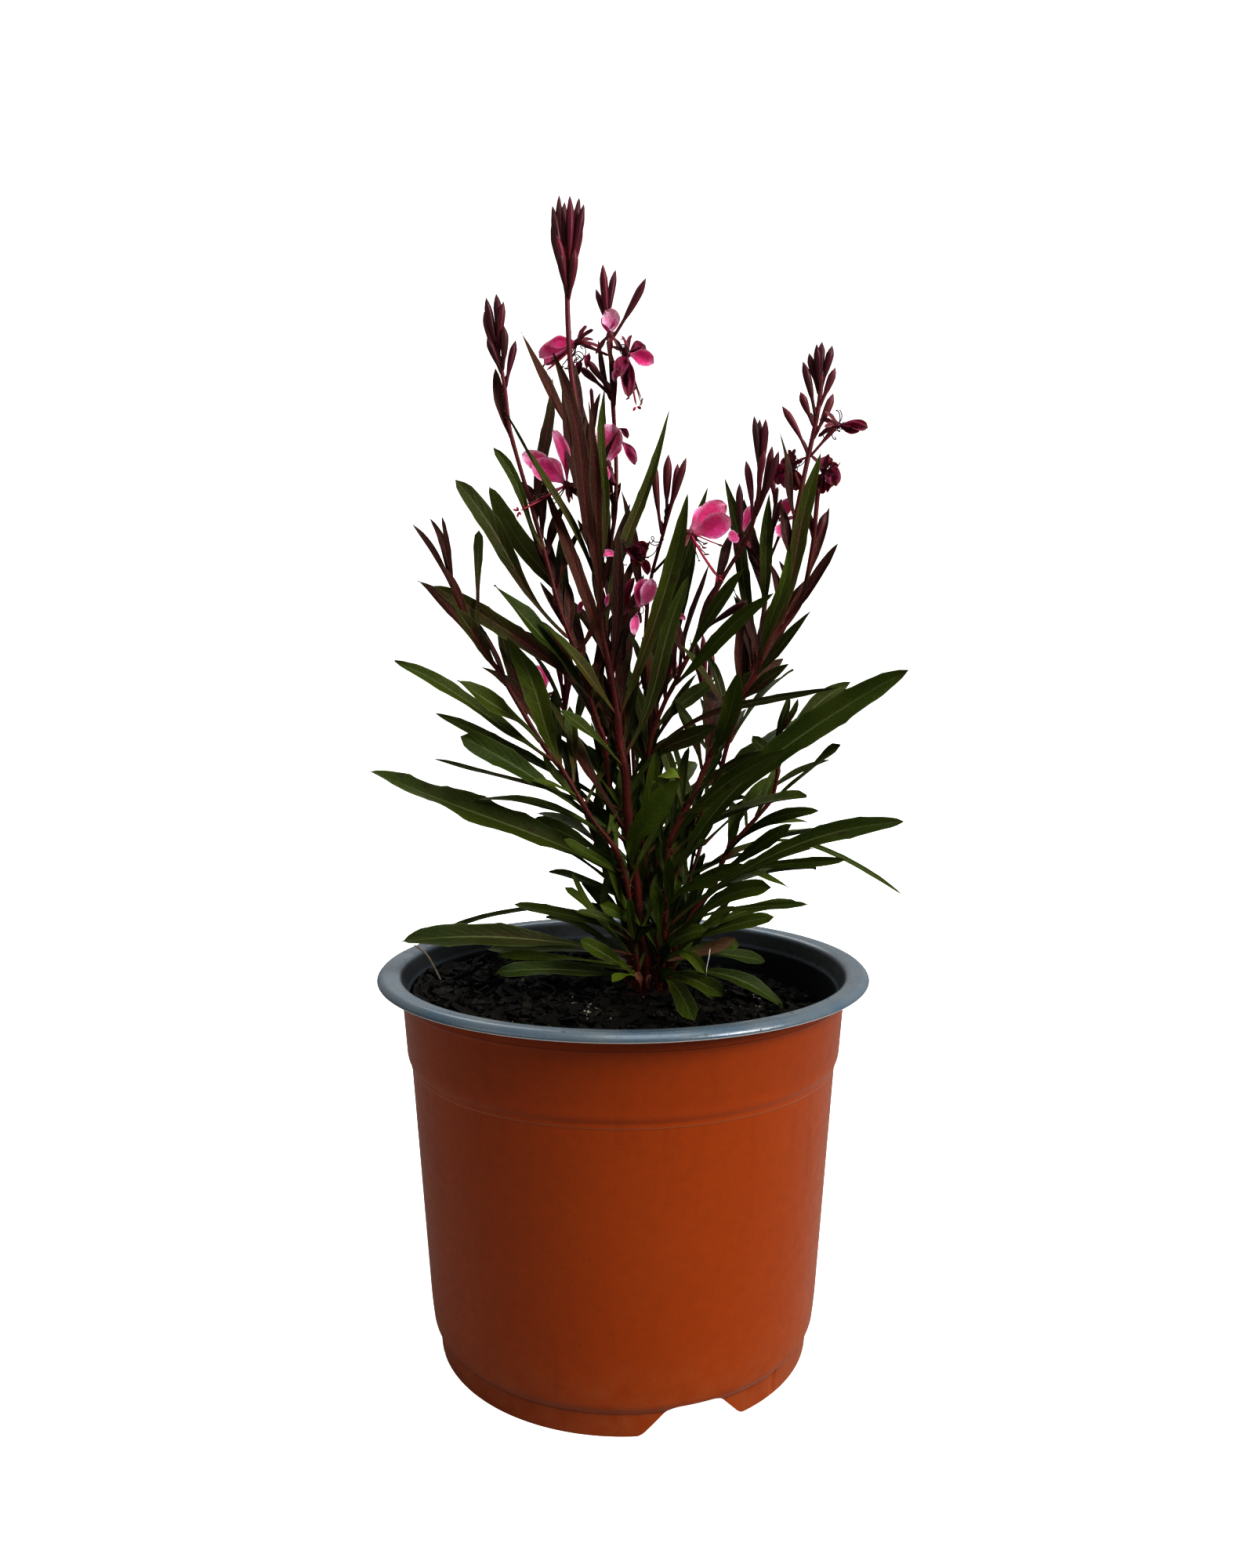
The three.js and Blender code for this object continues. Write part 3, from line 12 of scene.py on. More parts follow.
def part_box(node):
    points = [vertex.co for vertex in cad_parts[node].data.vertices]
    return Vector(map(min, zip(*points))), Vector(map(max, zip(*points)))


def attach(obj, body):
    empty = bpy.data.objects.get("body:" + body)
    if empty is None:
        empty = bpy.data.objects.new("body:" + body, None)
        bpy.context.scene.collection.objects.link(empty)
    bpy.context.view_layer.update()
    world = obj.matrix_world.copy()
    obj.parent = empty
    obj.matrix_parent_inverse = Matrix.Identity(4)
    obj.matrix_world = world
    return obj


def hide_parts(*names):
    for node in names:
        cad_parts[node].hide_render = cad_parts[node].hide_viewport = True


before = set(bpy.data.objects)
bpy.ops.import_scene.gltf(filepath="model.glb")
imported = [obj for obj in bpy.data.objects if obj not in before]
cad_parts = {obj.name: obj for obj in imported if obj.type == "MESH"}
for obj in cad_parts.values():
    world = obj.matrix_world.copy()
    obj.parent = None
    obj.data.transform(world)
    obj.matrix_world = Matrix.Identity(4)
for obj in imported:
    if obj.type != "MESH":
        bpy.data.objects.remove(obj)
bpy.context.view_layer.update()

bl_info = {
    "name": "Potted gaura",
    "version": (1, 0, 0),
    "blender": (4, 5, 0),
    "location": "3D View > Sidebar > Gaura",
    "description": "Pot, soil, shoots, blooms and stage of a potted gaura, modelled around its packed solids",
    "category": "Object",
}

MM = 0.001

# The plant is laid out in millimetres from the pot's axis, as its solids are.
POT_LOW, POT_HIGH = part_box("pot")
POT_AXIS = Vector(((POT_LOW.x + POT_HIGH.x) / 2, (POT_LOW.y + POT_HIGH.y) / 2, 0))
TO_FRAME = Matrix.Translation(POT_AXIS) @ Matrix.Scale(MM, 4)
FROM_FRAME = TO_FRAME.inverted()

# Pot
POT_HEIGHT = 116.7
RIM_RADIUS = 75.0
FOOT_RADIUS = 57.6
FOOT_HEIGHT = 9.0
FOOT_JOINT = 7.0
FOOT_WALL = 1.8
BODY_FOOT_RADIUS = 60.0
STEP_LEVEL = 88.9
STEP_RISE = 3.0
STEP_RADIUS = 64.95
BAND_RADIUS = 66.2
NECK_RADIUS = 67.5
FLANGE_LEVEL = 113.5
CREASE_LEVEL = 110.0
LEDGE_LEVEL = 110.4
LEDGE_RADIUS = 65.2
WALL = 1.5
FLOOR_THICKNESS = 1.6
FEET = 3
NOTCH_CENTRE = radians(20)
NOTCH_FOOT_WIDTH = 30.2
NOTCH_TOP_WIDTH = 14.0
NOTCH_TOP = 8.5
FLUTE_TURN = radians(28)
FLUTE_RADIUS = 2.0
FLUTE_DEPTH = 0.8
NOTCH_REACH = 8
DRAIN_RADIUS = 5.0
DRAIN_PLACE = 36.0
DRILL_SIDES = 28

# Soil and crown
SOIL_RADIUS = 64.3
SOIL_LEVEL = 106.6
SOIL_FALL_ACROSS = 0.07
SOIL_FALL_DEPTH = 0.03
MOUND_RISE = 1.2
MOUND_SPREAD = 20.0
CROWN = Vector((7.2, 0.3, 0))
CROWN_RADIUS = 8.7
CROWN_TOP = 108.4
CROWN_BOTTOM = 72.0
SOCKET_BOTTOM = 103.0
INNER_RING = 3.9
OUTER_RING = 6.9
SOIL_SIDES = 168
SOIL_RINGS = 56
CROWN_SIDES = 72
CHIP_LENGTH = (2.2, 9)
CHIP_WIDTH = (0.9, 3)
CHIP_THICKNESS = (0.5, 1.3)
SPECK_RADIUS = (0.25, 0.75)

# Groups of perlite specks at the front and by the right rim: across, up and spread
SPECK_GROUPS = [(-12, 100.2, 4.5), (-10, 99, 7), (38, 107, 9), (44, 105, 6)]

# Foliage
BEND_STEP = 5.0
TURN_STEP = radians(9)
BENDS = (0, 1, -1, 2, -2, 3, -3, 4, -4, 5, -5, 6, -6)
BEND_MATCH = 2.4
BLADE_FOLD = 0.36
RIGHT_TURN = 1.5
PETIOLE_HALF_WIDTH = 0.55
STALK_RADIUS = 0.45
ROUTE_STEP = 1.6
STEM_SIDES = 12
BRANCH_SIDES = 10
BUD_SIDES = 8
GOLDEN_SHARE = 0.618
REAR_WIDTHS = (8, 4.2)
REAR_ARCHES = (4, 1.5)
AXIL_START = 7
AXIL_CLEAR_TOP = 52
AXIL_TURN = radians(137.5)
AXIL_GAP = (3.8, 7.2)
HAIRS_PER_STEP = 7
HAIR_LENGTH = (0.35, 0.8)
HAIR_RADIUS = 0.05

# Blooms
PETAL_ROUNDS = 24
PETAL_CUP = 0.35
STYLE_RADIUS = 0.36
STAMEN_RADIUS = 0.22
FINE_RADIUS = 0.2
TANGLE_RADIUS = 0.16
THREAD_SIDES = 6
SEPALS = 4

# What a skin's corners carry for the stem's and the threads' materials
STEM_TONE = (0, 0.5, 0, 0)
HAIR_TONE = (0, 1, 0, 0)
FRESH_TONE = (0, 0, 0, 0)
AGED_TONE = (0.75, 0, 0, 0)
DRIED_TONE = (1, 0, 0, 0)

# Stems, leaves and blooms are placed as seen from a point in front of the pot. A place is (across, up) in the
# upright plane through the pot's axis, and its depth moves it along the line of sight from that point.
VIEW_POINT = Vector((1.16, -354.5, 202.2))
VIEW_PITCH = radians(4.81)
LENS = 26.64
SENSOR_WIDTH = 36
STAGE_MIDDLE = Vector((0, 0, 0.16))
FLOOR_HALF = 4

# Each softbox's place and size in metres
SOFTBOXES = {
    "key": ((1.5, -1.0, 1.2), 1.1),
    "fill": ((-1.5, -1.0, 0.7), 1.4),
    "top": ((0.2, -0.6, 1.9), 1.2),
    "back": ((-0.3, 1.5, 1.6), 1.2),
}

# Colours of cracks, stains and wear that a user would hardly change
SOIL_SPOT = (0.012, 0.008, 0.006)
SCUFF = (0.5, 0.42, 0.36)
BARK_CRACK = (0.003, 0.0025, 0.002)
PERLITE_STAIN = (0.07, 0.06, 0.045)
PERLITE_LIT = (0.6, 0.57, 0.5)
CROWN_BARK = (0.03, 0.008, 0.006)
CROWN_CRACK = (0.009, 0.005, 0.004)
CROWN_WORN = (0.045, 0.022, 0.013)
STEM_STREAK = (0.1, 0.03, 0.02)
STEM_DOWN = (0.2, 0.13, 0.1)
BUD_GREEN = (0.075, 0.07, 0.03)
BUD_GROOVE = (0.012, 0.004, 0.004)
PETAL_BROWN = (0.2, 0.1, 0.045)
POLLEN = (0.2, 0.1, 0.06)
FIBRE_COLOURS = ((0.75, 0.74, 0.7), (0.5, 0.48, 0.42))
SHEATH_COLOURS = ((0.2, 0.08, 0.05), (0.1, 0.03, 0.02))

# The numbers of a colour Mix node's factor and colours, and of its result
COLOUR_MIX_INPUTS = (0, 6, 7)
COLOUR_MIX_OUTPUT = 2

STRAW_TOP = (-65.2, 122.4, 3)
STRAW_BEND = (-61, 119.2, 1)
STRAW_REST = (-56.4, -1)
STRAW_RADIUS = 0.36
FIBRE_RADIUS = 0.16
FIBRE_ROUTE = [(27, 121.5, -15), (26.6, 118.4, -15.6), (25.9, 115, -15.2), (25.7, 111.8, -15.6)]

# Dry sheaths at the crown: across, up and depth of the foot, across and up of the tip, and width
SHEATHS = [
    (5.4, 108.4, -5, 3.6, 113.6, 2.4),
    (8.4, 108.2, -5.4, 8.8, 112.8, 2.0),
    (11.2, 108.6, -4.4, 13.6, 113.4, 2.2),
    (2.4, 108.6, -3.6, -0.6, 112.2, 1.8),
    (14.4, 108.4, -1.6, 17.2, 111.6, 1.8),
]

# Each shoot stands in the crown at (distance from its middle, turn round it in degrees). Its route is rows of
# across, up and depth, its thickness runs from foot to top, and a branch starts on a point of the route.
# A leaf is a row of up on the stem, tip across, tip up, tip depth, width, arch and turn to the front. Its own
# purple and lightness may follow, and then how blunt it is. The lightness is partly the leaf's own tone and
# partly painted light, raised on some leaves that lie in shade and lowered on some that the lights strike
# full. A bud is a row of up on the stem, tip across, tip up, tip depth, thickness and the share that is
# stalk. Rear leaves are
# spread by a rule: up of the lowest, up of the highest, count, longest, shortest, middle azimuth and spread.
# Clasping leaves stand close along the stem. A folded one is a leaf's tip that hangs over: the place of its
# base, and then a leaf's values.
SHOOTS = [
  {
    "name": "shoot_main", "foot": [0, 0], "thick": [3.8, 1.6], "rear": [152, 204, 3, 52, 34, 100, 60],
    "route": [
      [7, 118, 0], [5.2, 128, -0.5], [4, 141, -1], [2.7, 148.5, -1.5], [1.8, 158, -2], [1.1, 166.6, -2.5],
      [0.7, 175.6, -3], [-1.1, 184.6, -3], [-2.1, 196, -3.5], [-4.7, 210, -4], [-6.7, 222, -4],
      [-8, 249, -4], [-10, 262, -3.5], [-13, 280, -3], [-15.4, 295, -2.5], [-16.4, 311, -2],
      [-16.6, 324, -2], [-16.7, 332, -2],
    ],
    "leaves": [
      [141, -77.8, 176.3, -12, 11, 1.5, 40, 0.2, 0.3, -0.4],
      [154, -49.7, 187, -22, 7.2, 1, 50, 0, 0.15, 0.8], [163, -57.2, 194, 8, 4.2, 1, 40, 0.3, 0.25],
      [147, -45.3, 167.4, -8, 3.4, 7, 40, 0.1, 0.4], [143, -38.4, 158.6, -4, 4.2, 1, 40, 0.2, 0.3],
      [145.5, -28.6, 161, 6, 5.4, 1, 50, 0.1, 0.35], [139, -18.4, 155.4, -16, 3.5, 1, 50],
      [134, -22.9, 145.2, 8, 4, 1.5, 40], [143.6, -7, 131, -16, 3, 12, 40],
      [127, -5.2, 147.2, -13, 3.5, -1, 60], [125, -7.4, 135, -22, 4, 1.5, 60, 0, 0.95],
      [157, -24, 200, 12, 6, -1, 45, 0.8, 0.2], [177, -19.6, 195, -16, 4.5, 1, 45],
      [189, -57.2, 232.5, -16, 6, 3.5, 60, 0.8, 0.5, 0.6], [193, -25.3, 222, -12, 4.6, 1, 50, 0.5, 0.4],
      [211, -40.2, 262, 8, 6.2, -1, 85, 0.6, 0.95, 0.6], [232, -34.7, 283, -14, 4, 1, 45, 0.5, 0.35],
      [231, -20.8, 301, -20, 4.8, 1.5, 70, 1, 0.7], [247, -14.5, 294, 12, 3.6, 1, 50, 0.9, 0.3],
      [261, -30.3, 307, -8, 3.6, 1, 50, 0.95, 0.2], [214, 13.7, 284, 6, 3.6, 2, 60, 0.55, 0.5],
      [192, 19.4, 260, -22, 5.2, -2, 75, 0.6, 0.65], [180, 20, 236, -8, 5, -1, 70, 0.5, 0.3],
      [144, 17, 174, -48, 7.2, 4, 85, 0, 1.15], [150, 10, 182.8, -16, 4, -1, 75, 0.1, 0.6],
      [158, -57.6, 180, 2, 2.2, 3, 40],
    ],
    "clasping": [
      [226, -18.5, 292, -9, 4.6, 1, 80, 1, 0.2], [215, -10.4, 288, -10, 3.4, 0, 80, 1, 0.3],
      [236, -5.4, 291.5, -9, 2.8, -0.5, 85, 0.55, 0.75], [203, -24.4, 264, -10, 4, 1, 75, 1, 0.2],
      [222, -13.4, 270, -12, 3.2, 1, 80, 1, 0.3], [206, -1.5, 250, -10, 3.6, -1, 80, 1, 0.3],
    ],
    "folded": [[17.6, 174, -48, 9.4, 172.4, -45, 6.4, 1.2, 20, 0, 1.15, -0.5]],
    "buds": [
      [322, -18.8, 346.2, -1, 2.4, 0.15], [324, -15.7, 346.1, -3, 2.4, 0.15],
      [326, -17.2, 344.3, 1, 2.4, 0.15], [320, -12.9, 345.5, 0, 2.6, 0.2],
      [319, -11.5, 343.7, -3, 2.6, 0.25], [318, -20.8, 343.2, -2, 2.6, 0.2],
      [318, -21.2, 337.5, 2, 2.6, 0.2], [316, -12, 338.2, 2, 2.6, 0.3], [316.5, -18.8, 331, -6, 2.4, 0.3],
      [316, -14.6, 330, -5, 2.4, 0.3], [315, -14.2, 331, -5, 2.4, 0.25], [317, -19.6, 335, -6, 2.4, 0.25],
    ],
  },
  {
    "name": "shoot_second", "foot": [INNER_RING, 108], "thick": [2, 1.3],
    "rear": [150, 208, 3, 52, 36, 85, 60],
    "route": [
      [5.6, 118, 6.5], [4.8, 136, 9.5], [3.5, 150, 11], [2.5, 165, 11], [1.5, 180, 10.5], [0, 195, 10],
      [-1.2, 209, 9.5], [-1.6, 218, 9], [-3.8, 238, 8], [-3.6, 246, 7.5], [-2.3, 255, 7], [-2.1, 268, 7],
      [-2.6, 279, 7], [-3.4, 292, 6], [-3.9, 303, 5.5], [-4.6, 311, 5.5],
    ],
    "branch": [
      [-3.8, 238, 8], [-6.5, 250, 5], [-8.4, 264, 3], [-8.8, 275, 2.5], [-9.1, 285, 2.5], [-9.6, 291, 2.5],
    ],
    "leaves": [
      [240, -5.6, 289, -10, 3.6, -1.5, 60], [284, -4.9, 304.3, -3, 2.2, 1, 60],
      [286, -7.4, 305, 8, 2, -1, 60],
    ],
    "buds": [
      [309, -6, 326.6, 4, 2.5, 0.1], [309, -2.2, 325, 7, 2.2, 0.2], [304, 6.8, 322.6, 2, 2.4, 0.35],
      [308, -8.1, 319.5, 8, 1.9, 0.2], [309, -4.3, 319.7, 9.5, 1.8, 0.2], [288, -13, 297, 3, 2.4, 0.5],
      [289, -10.6, 299, 0, 2.2, 0.4], [262, -15.6, 272, 3, 2.2, 0.3],
    ],
  },
  {
    "name": "shoot_left", "foot": [INNER_RING, 155], "thick": [2, 1.3],
    "rear": [168, 206, 3, 50, 34, 130, 55],
    "route": [
      [2.9, 118, 3.2], [0.6, 135, 4.5], [-2.2, 150, 3.5], [-4, 165, 1], [-5.6, 184.6, -4], [-7.4, 190, -5],
      [-9.2, 195.6, -6], [-13.1, 209, -7.5], [-17.6, 221, -9], [-20.2, 229, -9], [-24.7, 246, -9],
      [-27.8, 257, -9], [-31.3, 269, -8], [-33.9, 279, -8], [-35.3, 291, -7], [-36.8, 299, -7],
      [-37.8, 306, -7],
    ],
    "leaves": [
      [242, -38.9, 273.5, -18, 3.2, 1, 80, 0.4, 0.4, 0.7], [275, -38, 296.5, -4, 3.4, -1, 60],
      [230, -22.5, 248, -2, 3, 0, 50], [216, -50.4, 264, -22, 6.2, -1, 85, 0.65, 0.2, 0.7],
      [198, -39, 232.7, -28, 6.6, 1, 50, 0.1, 0.12], [203, -25, 222, 2, 3, 0, 50],
      [221, -19.4, 247, 4, 4, 0, 60, 0.3, 0.25], [252, -21, 294, 12, 3.8, 0, 50, 0.8, 0.35],
      [124, -54, 127.6, 14, 2.4, 8, 40, 0.2, 0.1], [118, -24, 131, 10, 4, 2, 45],
      [115, -42, 121, 32, 5.5, 3, 30],
    ],
    "buds": [
      [300, -40.6, 317, -8, 2.4, 0.2], [301, -37.6, 318.1, -6, 2.6, 0.2], [300, -35.4, 315.9, -8, 2.4, 0.2],
      [297, -41.2, 313, -5, 2.4, 0.25], [294, -40.4, 305.5, -9, 2.2, 0.3],
      [295, -35.3, 308.8, -9, 2.4, 0.25], [290, -31.9, 304.7, -6, 2.2, 0.3],
    ],
  },
  {
    "name": "shoot_low_left", "foot": [INNER_RING, 235], "thick": [2, 1.4],
    "rear": [165, 200, 2, 44, 32, 140, 50],
    "route": [
      [3.9, 118, -4.8], [2.6, 130, -6], [1.2, 141, -6.5], [-2, 151.3, -7.5], [-6.5, 157.6, -8.5],
      [-9.6, 161.6, -9], [-13.7, 168.4, -10], [-18.2, 176, -10], [-23.5, 182.8, -9], [-31, 195, -8],
      [-38, 207, -7], [-45, 217, -7], [-51.6, 232, -8],
    ],
    "leaves": [
      [228, -63.6, 251, -11, 2.4, 1, 50], [230.5, -58.1, 252.5, -5, 2.6, 1, 50],
      [231, -54.5, 253, -10, 2.2, 0, 50], [179, -69.5, 210, -18, 5.4, 1, 45, 0.2, 0.4],
      [184, -50.5, 204, -28, 6, 1, 50, 0.3, 0.4], [178, -43, 208, -1, 5, 4, 50],
      [176, -35.5, 217.5, -30, 6.8, 1, 80, 0.3, 0.62], [168, -27.7, 173.5, 3, 2.2, 1, 40],
      [206, -62, 234, -2, 4, 1, 50, 0.95, 0.3, 0.7], [207, -51.4, 226, -24, 5.5, 0, 60],
      [216, -43.5, 249, 5, 3, 0, 60, 0.7, 0.5, 1.1], [211, -43, 219.6, 2, 2.6, 0, 60],
      [192, -38, 221, 9, 4.6, 0, 50, 0.75, 0.2], [221, -56, 240, -20, 3.4, 1, 50],
      [119, -68.7, 123.3, -18, 8.6, 3, 50, 0.45, 0.05, -0.75], [123, -34.1, 135, 0, 4.6, 2, 45, 0.2, 0.4],
      [115, -38.7, 118.8, -6, 3, 1, 40, 0, 0.9], [112, -39.5, 113.5, -14, 5.8, 1.5, 40, 0.1, 0.05, -0.6],
      [113, -13.5, 123.9, -18, 5, 0, 60, 0.15, 0.4], [114, -30, 115.5, -8, 3, 1, 50],
      [112, -3.6, 110.6, -20, 3, 1.5, 45, 0, 1], [118, -15.9, 145, -12, 2.6, -2, 50, 0.1, 0.35],
      [124, -15, 132.8, -16, 3, 2, 50], [111.5, -1.5, 117.1, -14, 2.6, 0, 50],
      [122, 8.5, 128.7, -20, 3.4, 1, 60], [118, 1.5, 137, -16, 3.4, 0, 60],
    ],
  },
  {
    "name": "shoot_right", "foot": [INNER_RING, -22], "thick": [2.1, 1.6],
    "rear": [150, 206, 3, 50, 34, 60, 55],
    "route": [
      [12.2, 118, -2.6], [12.9, 130, -4], [13.3, 140, -5], [14.1, 153.5, -5.5], [17.7, 161.6, -6],
      [20.9, 167.5, -6], [24, 175, -6], [27.6, 183, -6], [31.5, 191, -6], [36.7, 200, -6],
      [40.5, 206.1, -6], [43.3, 213.7, -6], [48.1, 222.6, -6], [50.4, 229.7, -6], [51.2, 241, -6],
      [51.6, 250.6, -6], [53.6, 261.6, -6], [55.9, 272.7, -5], [57.7, 281.5, -5], [58.8, 289, -5],
      [59.2, 295, -5],
    ],
    "branch": [
      [36.7, 200, -6], [41.4, 208, -3], [45.7, 216.5, -1], [51, 223.1, 0], [54.5, 229.9, 1],
      [57.2, 244.7, 2], [58, 254, 2], [58.6, 262, 2],
    ],
    "leaves": [
      [136, 86.7, 207.1, -24, 8.8, 9.5, 45, 0.1, 0.3], [127, 86.5, 160.8, -20, 5.8, 7, 40, 0.1, 0.12],
      [123, 45.6, 140.5, -32, 5.4, 3, 50, 0.2, 0.6, 0.8], [124, 57.3, 135, -14, 2.4, 4, 40],
      [122, 54, 135.8, 3, 3.2, 2, 40], [133, 28.9, 141.4, -36, 2.8, 3, 50, 0, 0.8],
      [134, 36.8, 147.6, -28, 4.2, 2, 55, 0, 0.9], [205, 56.7, 224.8, -18, 3.4, 0, 50, 0.55, 0.4],
      [198, 50.2, 209, -16, 3.8, 0, 50], [197, 48.8, 210.6, 2, 3.6, 1, 50],
      [180, 35.1, 206.6, -28, 5.6, -1.5, 70, 0.2, 0.7], [166, 43.3, 182.5, -30, 2.4, 2.5, 40],
      [152, 50.4, 182.9, -36, 5, 4, 50, 0.2, 0.45], [162, 27.6, 165.2, -30, 2.8, 1, 50],
      [213, 59.3, 272.3, -18, 4.6, -1, 70, 0.7, 0.6], [209, 50, 244.7, -24, 4, -0.5, 70, 0.25, 0.75],
      [252, 46.9, 277.6, -10, 2.8, 0, 60, 0.85, 0.3], [145, 11.2, 160, -20, 2.4, 0, 40],
      [110, 15.5, 115, -22, 3.4, 1, 70, 0, 1], [110, 22, 98.2, -44, 5.6, 5, 30, 0.25, 0.2, 1],
      [112.5, 31.6, 106.2, -24, 5.6, 2, 40, 0.2, 0.35], [111, 28.7, 104.8, -13, 3, 3, 40],
      [116, 26, 112.9, -16, 3.6, 5, 45, 0, 0.9], [115, 13.2, 123.3, -18, 3.4, 0, 60],
      [117, 34.8, 124.6, -6, 3.6, -1, 55, 0, 2], [114.5, 26.3, 127, -12, 5, 4, 45, 0.1, 0.5],
      [120, 9.5, 141, -18, 3.6, 0, 60], [126, 14.5, 150, -18, 3.4, -1, 60, 0.1, 0.5],
    ],
    "branchLeaves": [[221, 64.8, 245.2, -4, 3.2, 0, 50], [232, 62, 256, 12, 3, 0, 50]],
    "buds": [
      [288, 57.5, 303.7, -7, 2.3, 0.2], [292, 59.1, 304.3, -4, 2.3, 0.2], [290, 62.2, 303.2, -5, 2.4, 0.3],
      [288, 55.3, 301, -4, 2.2, 0.35], [281, 53.5, 298.6, -6, 2.4, 0.35], [284, 63.2, 296.8, -6, 2.3, 0.35],
      [279, 52.9, 289.7, -7, 2.4, 0.35], [275, 62.7, 289.3, -4, 2.4, 0.35],
      [271, 47.4, 285.6, -5, 2.2, 0.35],
    ],
    "branchBuds": [[241, 61, 254.5, 5, 2.4, 0.4], [246, 55.6, 255, 5, 2, 0.3]],
  },
  {
    "name": "shoot_centre_right", "foot": [INNER_RING, 33], "thick": [2, 1.3],
    "rear": [150, 206, 3, 50, 34, 80, 60],
    "route": [
      [11, 118, 4], [8.6, 136, 6], [6.6, 148, 6], [5.8, 158, 5.5], [7.2, 167, 4.5], [7.6, 178, 3.5],
      [8.7, 187, 3], [12.5, 197, 2], [15.6, 203, 1], [20.9, 213.7, 0], [24.4, 223, 0], [30.5, 235.4, 0],
      [37.5, 247, 0], [40.6, 258, 0], [41.2, 269.6, 0],
    ],
    "leaves": [
      [202, 45.7, 230.4, -34, 4.6, 1, 60, 0, 0.8], [211, 36.7, 237.8, -18, 4, 1, 60, 0.3, 0.6],
      [178, 28.3, 190.3, -22, 5.5, 1.5, 50], [181, 65.3, 201.8, -26, 2.6, 5, 40],
      [188, 28, 204.5, 12, 4.6, 1, 60, 0.3, 0.45], [228, 33, 249, 6, 3, 0, 50],
    ],
    "buds": [
      [262, 39.1, 282.8, -1, 2.2, 0.3], [263, 40.8, 281.8, 1.5, 2.3, 0.3], [262, 42.6, 281.9, -1, 2.3, 0.3],
      [257, 42.4, 272.9, -3, 2.2, 0.3], [254, 44.6, 274, 1, 2.2, 0.35], [252, 46.6, 272.5, -2, 2.3, 0.35],
      [251, 36.8, 269.7, 1, 2.3, 0.3], [244, 34.9, 263, 1, 2.3, 0.3], [218, 37.7, 228.1, -9, 2.2, 0.35],
    ],
  },
  {
    "name": "shoot_slender", "foot": [INNER_RING, 70], "thick": [1.9, 1.2],
    "rear": [150, 206, 3, 52, 36, 75, 65],
    "route": [
      [9.1, 118, 6.6], [10.2, 136, 12], [9.8, 160, 14], [8.4, 185, 15], [6.8, 210, 15], [7.2, 225, 14],
      [8.5, 235, 13], [10.3, 242, 12.5], [12.6, 250, 12], [13.8, 257, 12],
    ],
    "leaves": [
      [205, 25.5, 262, 22, 4.2, 0, 50, 0.4, 0.4], [225, -1, 262, 20, 3.6, 0, 50],
      [190, 22, 246, 26, 4.8, 0, 50, 0.5, 0.3],
    ],
    "buds": [
      [247, 9.4, 269.8, 11, 2.3, 0.3], [253, 13.6, 271.5, 12, 2.8, 0.25], [251, 16.4, 268.9, 15, 2, 0.4],
      [249, 18.9, 270.6, 10, 2.3, 0.35],
    ],
  },
  {
    "name": "shoot_low_right", "foot": [OUTER_RING, 3], "thick": [2, 1.3],
    "rear": [130, 172, 3, 46, 30, 60, 60],
    "route": [
      [15.4, 116, 1], [17.4, 127, 2], [22.9, 134.5, 3], [28, 141, 4], [30.8, 149, 5], [33.4, 153.8, 5],
      [36.5, 157, 5], [43.4, 164.8, 5], [46, 169, 5], [47.3, 177, 5], [46.3, 186, 5],
    ],
    "leaves": [
      [149, 86.5, 137.8, 6, 1.9, 10, 40], [142, 68.6, 148.9, -8, 3.2, 2, 40],
      [146, 51.1, 140.3, 14, 2.6, 2, 40], [146, 33.5, 167.3, 16, 4, -2, 50],
      [158.5, 36.8, 168.9, 0, 2.2, 0, 50], [150, 60.3, 164.1, -16, 3.6, 4, 50],
      [151.5, 57.3, 160.5, 12, 2.2, 4, 40], [145, 51.9, 159.9, -20, 4.2, 0, 60],
      [166, 66.3, 184.5, -14, 4.2, 0, 25, 0.1, 1, 0.7], [161, 48, 178.5, 12, 3.6, 0, 50],
      [184, 50.4, 199.9, 2, 2.6, 0, 60], [184.5, 53.3, 198.5, -2, 2.2, 0, 60],
      [184, 55.1, 193.3, 8, 3.2, 0, 60], [182, 69.3, 203.5, 14, 5.4, 2, 45, 0.35, 0.3],
      [178, 39.5, 187, 12, 4.5, 0, 55], [113, 50.6, 101.8, 6, 5.6, 5, 35, 0.1, 0.1],
      [122, 46.8, 131.1, 0, 4.2, 1, 45, 0.1, 0.5], [118, 36, 122, 12, 4, 2, 40],
    ],
  },
  {
    "name": "shoot_back_right", "foot": [OUTER_RING, 27], "thick": [2, 1.4],
    "rear": [140, 206, 4, 54, 34, 60, 70],
    "route": [
      [14.4, 118, 5], [13, 134, 8], [14.2, 141, 9], [16.8, 145, 9], [19.5, 151.8, 10], [22.7, 159, 12],
      [26.2, 168, 13], [29.4, 175, 14], [31.5, 183, 14], [34, 191, 14], [38.5, 204, 14], [41, 215, 14],
      [43.3, 230, 14], [44.4, 244, 13], [45.6, 255, 13], [46.3, 262, 13],
    ],
    "leaves": [
      [222, 43.9, 260.1, 4, 4, 0, 70, 0.4, 0.5], [214, 30.5, 264.3, 20, 4.6, 0, 70, 0.5, 0.4],
      [226, 36.3, 258.1, 12, 4.8, 0, 70], [204, 38.2, 221.2, 22, 3, -1, 60], [204, 60, 238, 22, 4, 1, 50],
      [116, 44, 117, 26, 5, 3, 35],
    ],
    "buds": [[246, 47.7, 258.5, 10, 2.2, 0.3], [256, 44, 268, 16, 2.2, 0.3]],
  },
  {
    "name": "shoot_back_far_right", "foot": [OUTER_RING, 54], "thick": [2, 1.4],
    "rear": [132, 194, 7, 56, 32, 50, 120],
    "route": [
      [12.6, 118, 9], [16, 133, 17], [21, 144, 25], [24.4, 156, 31], [25.6, 170, 35], [25.8, 184, 38],
      [25.2, 197, 40], [24.6, 205, 41],
    ],
    "leaves": [[116, 26, 119, 46, 5.5, 3, 35]],
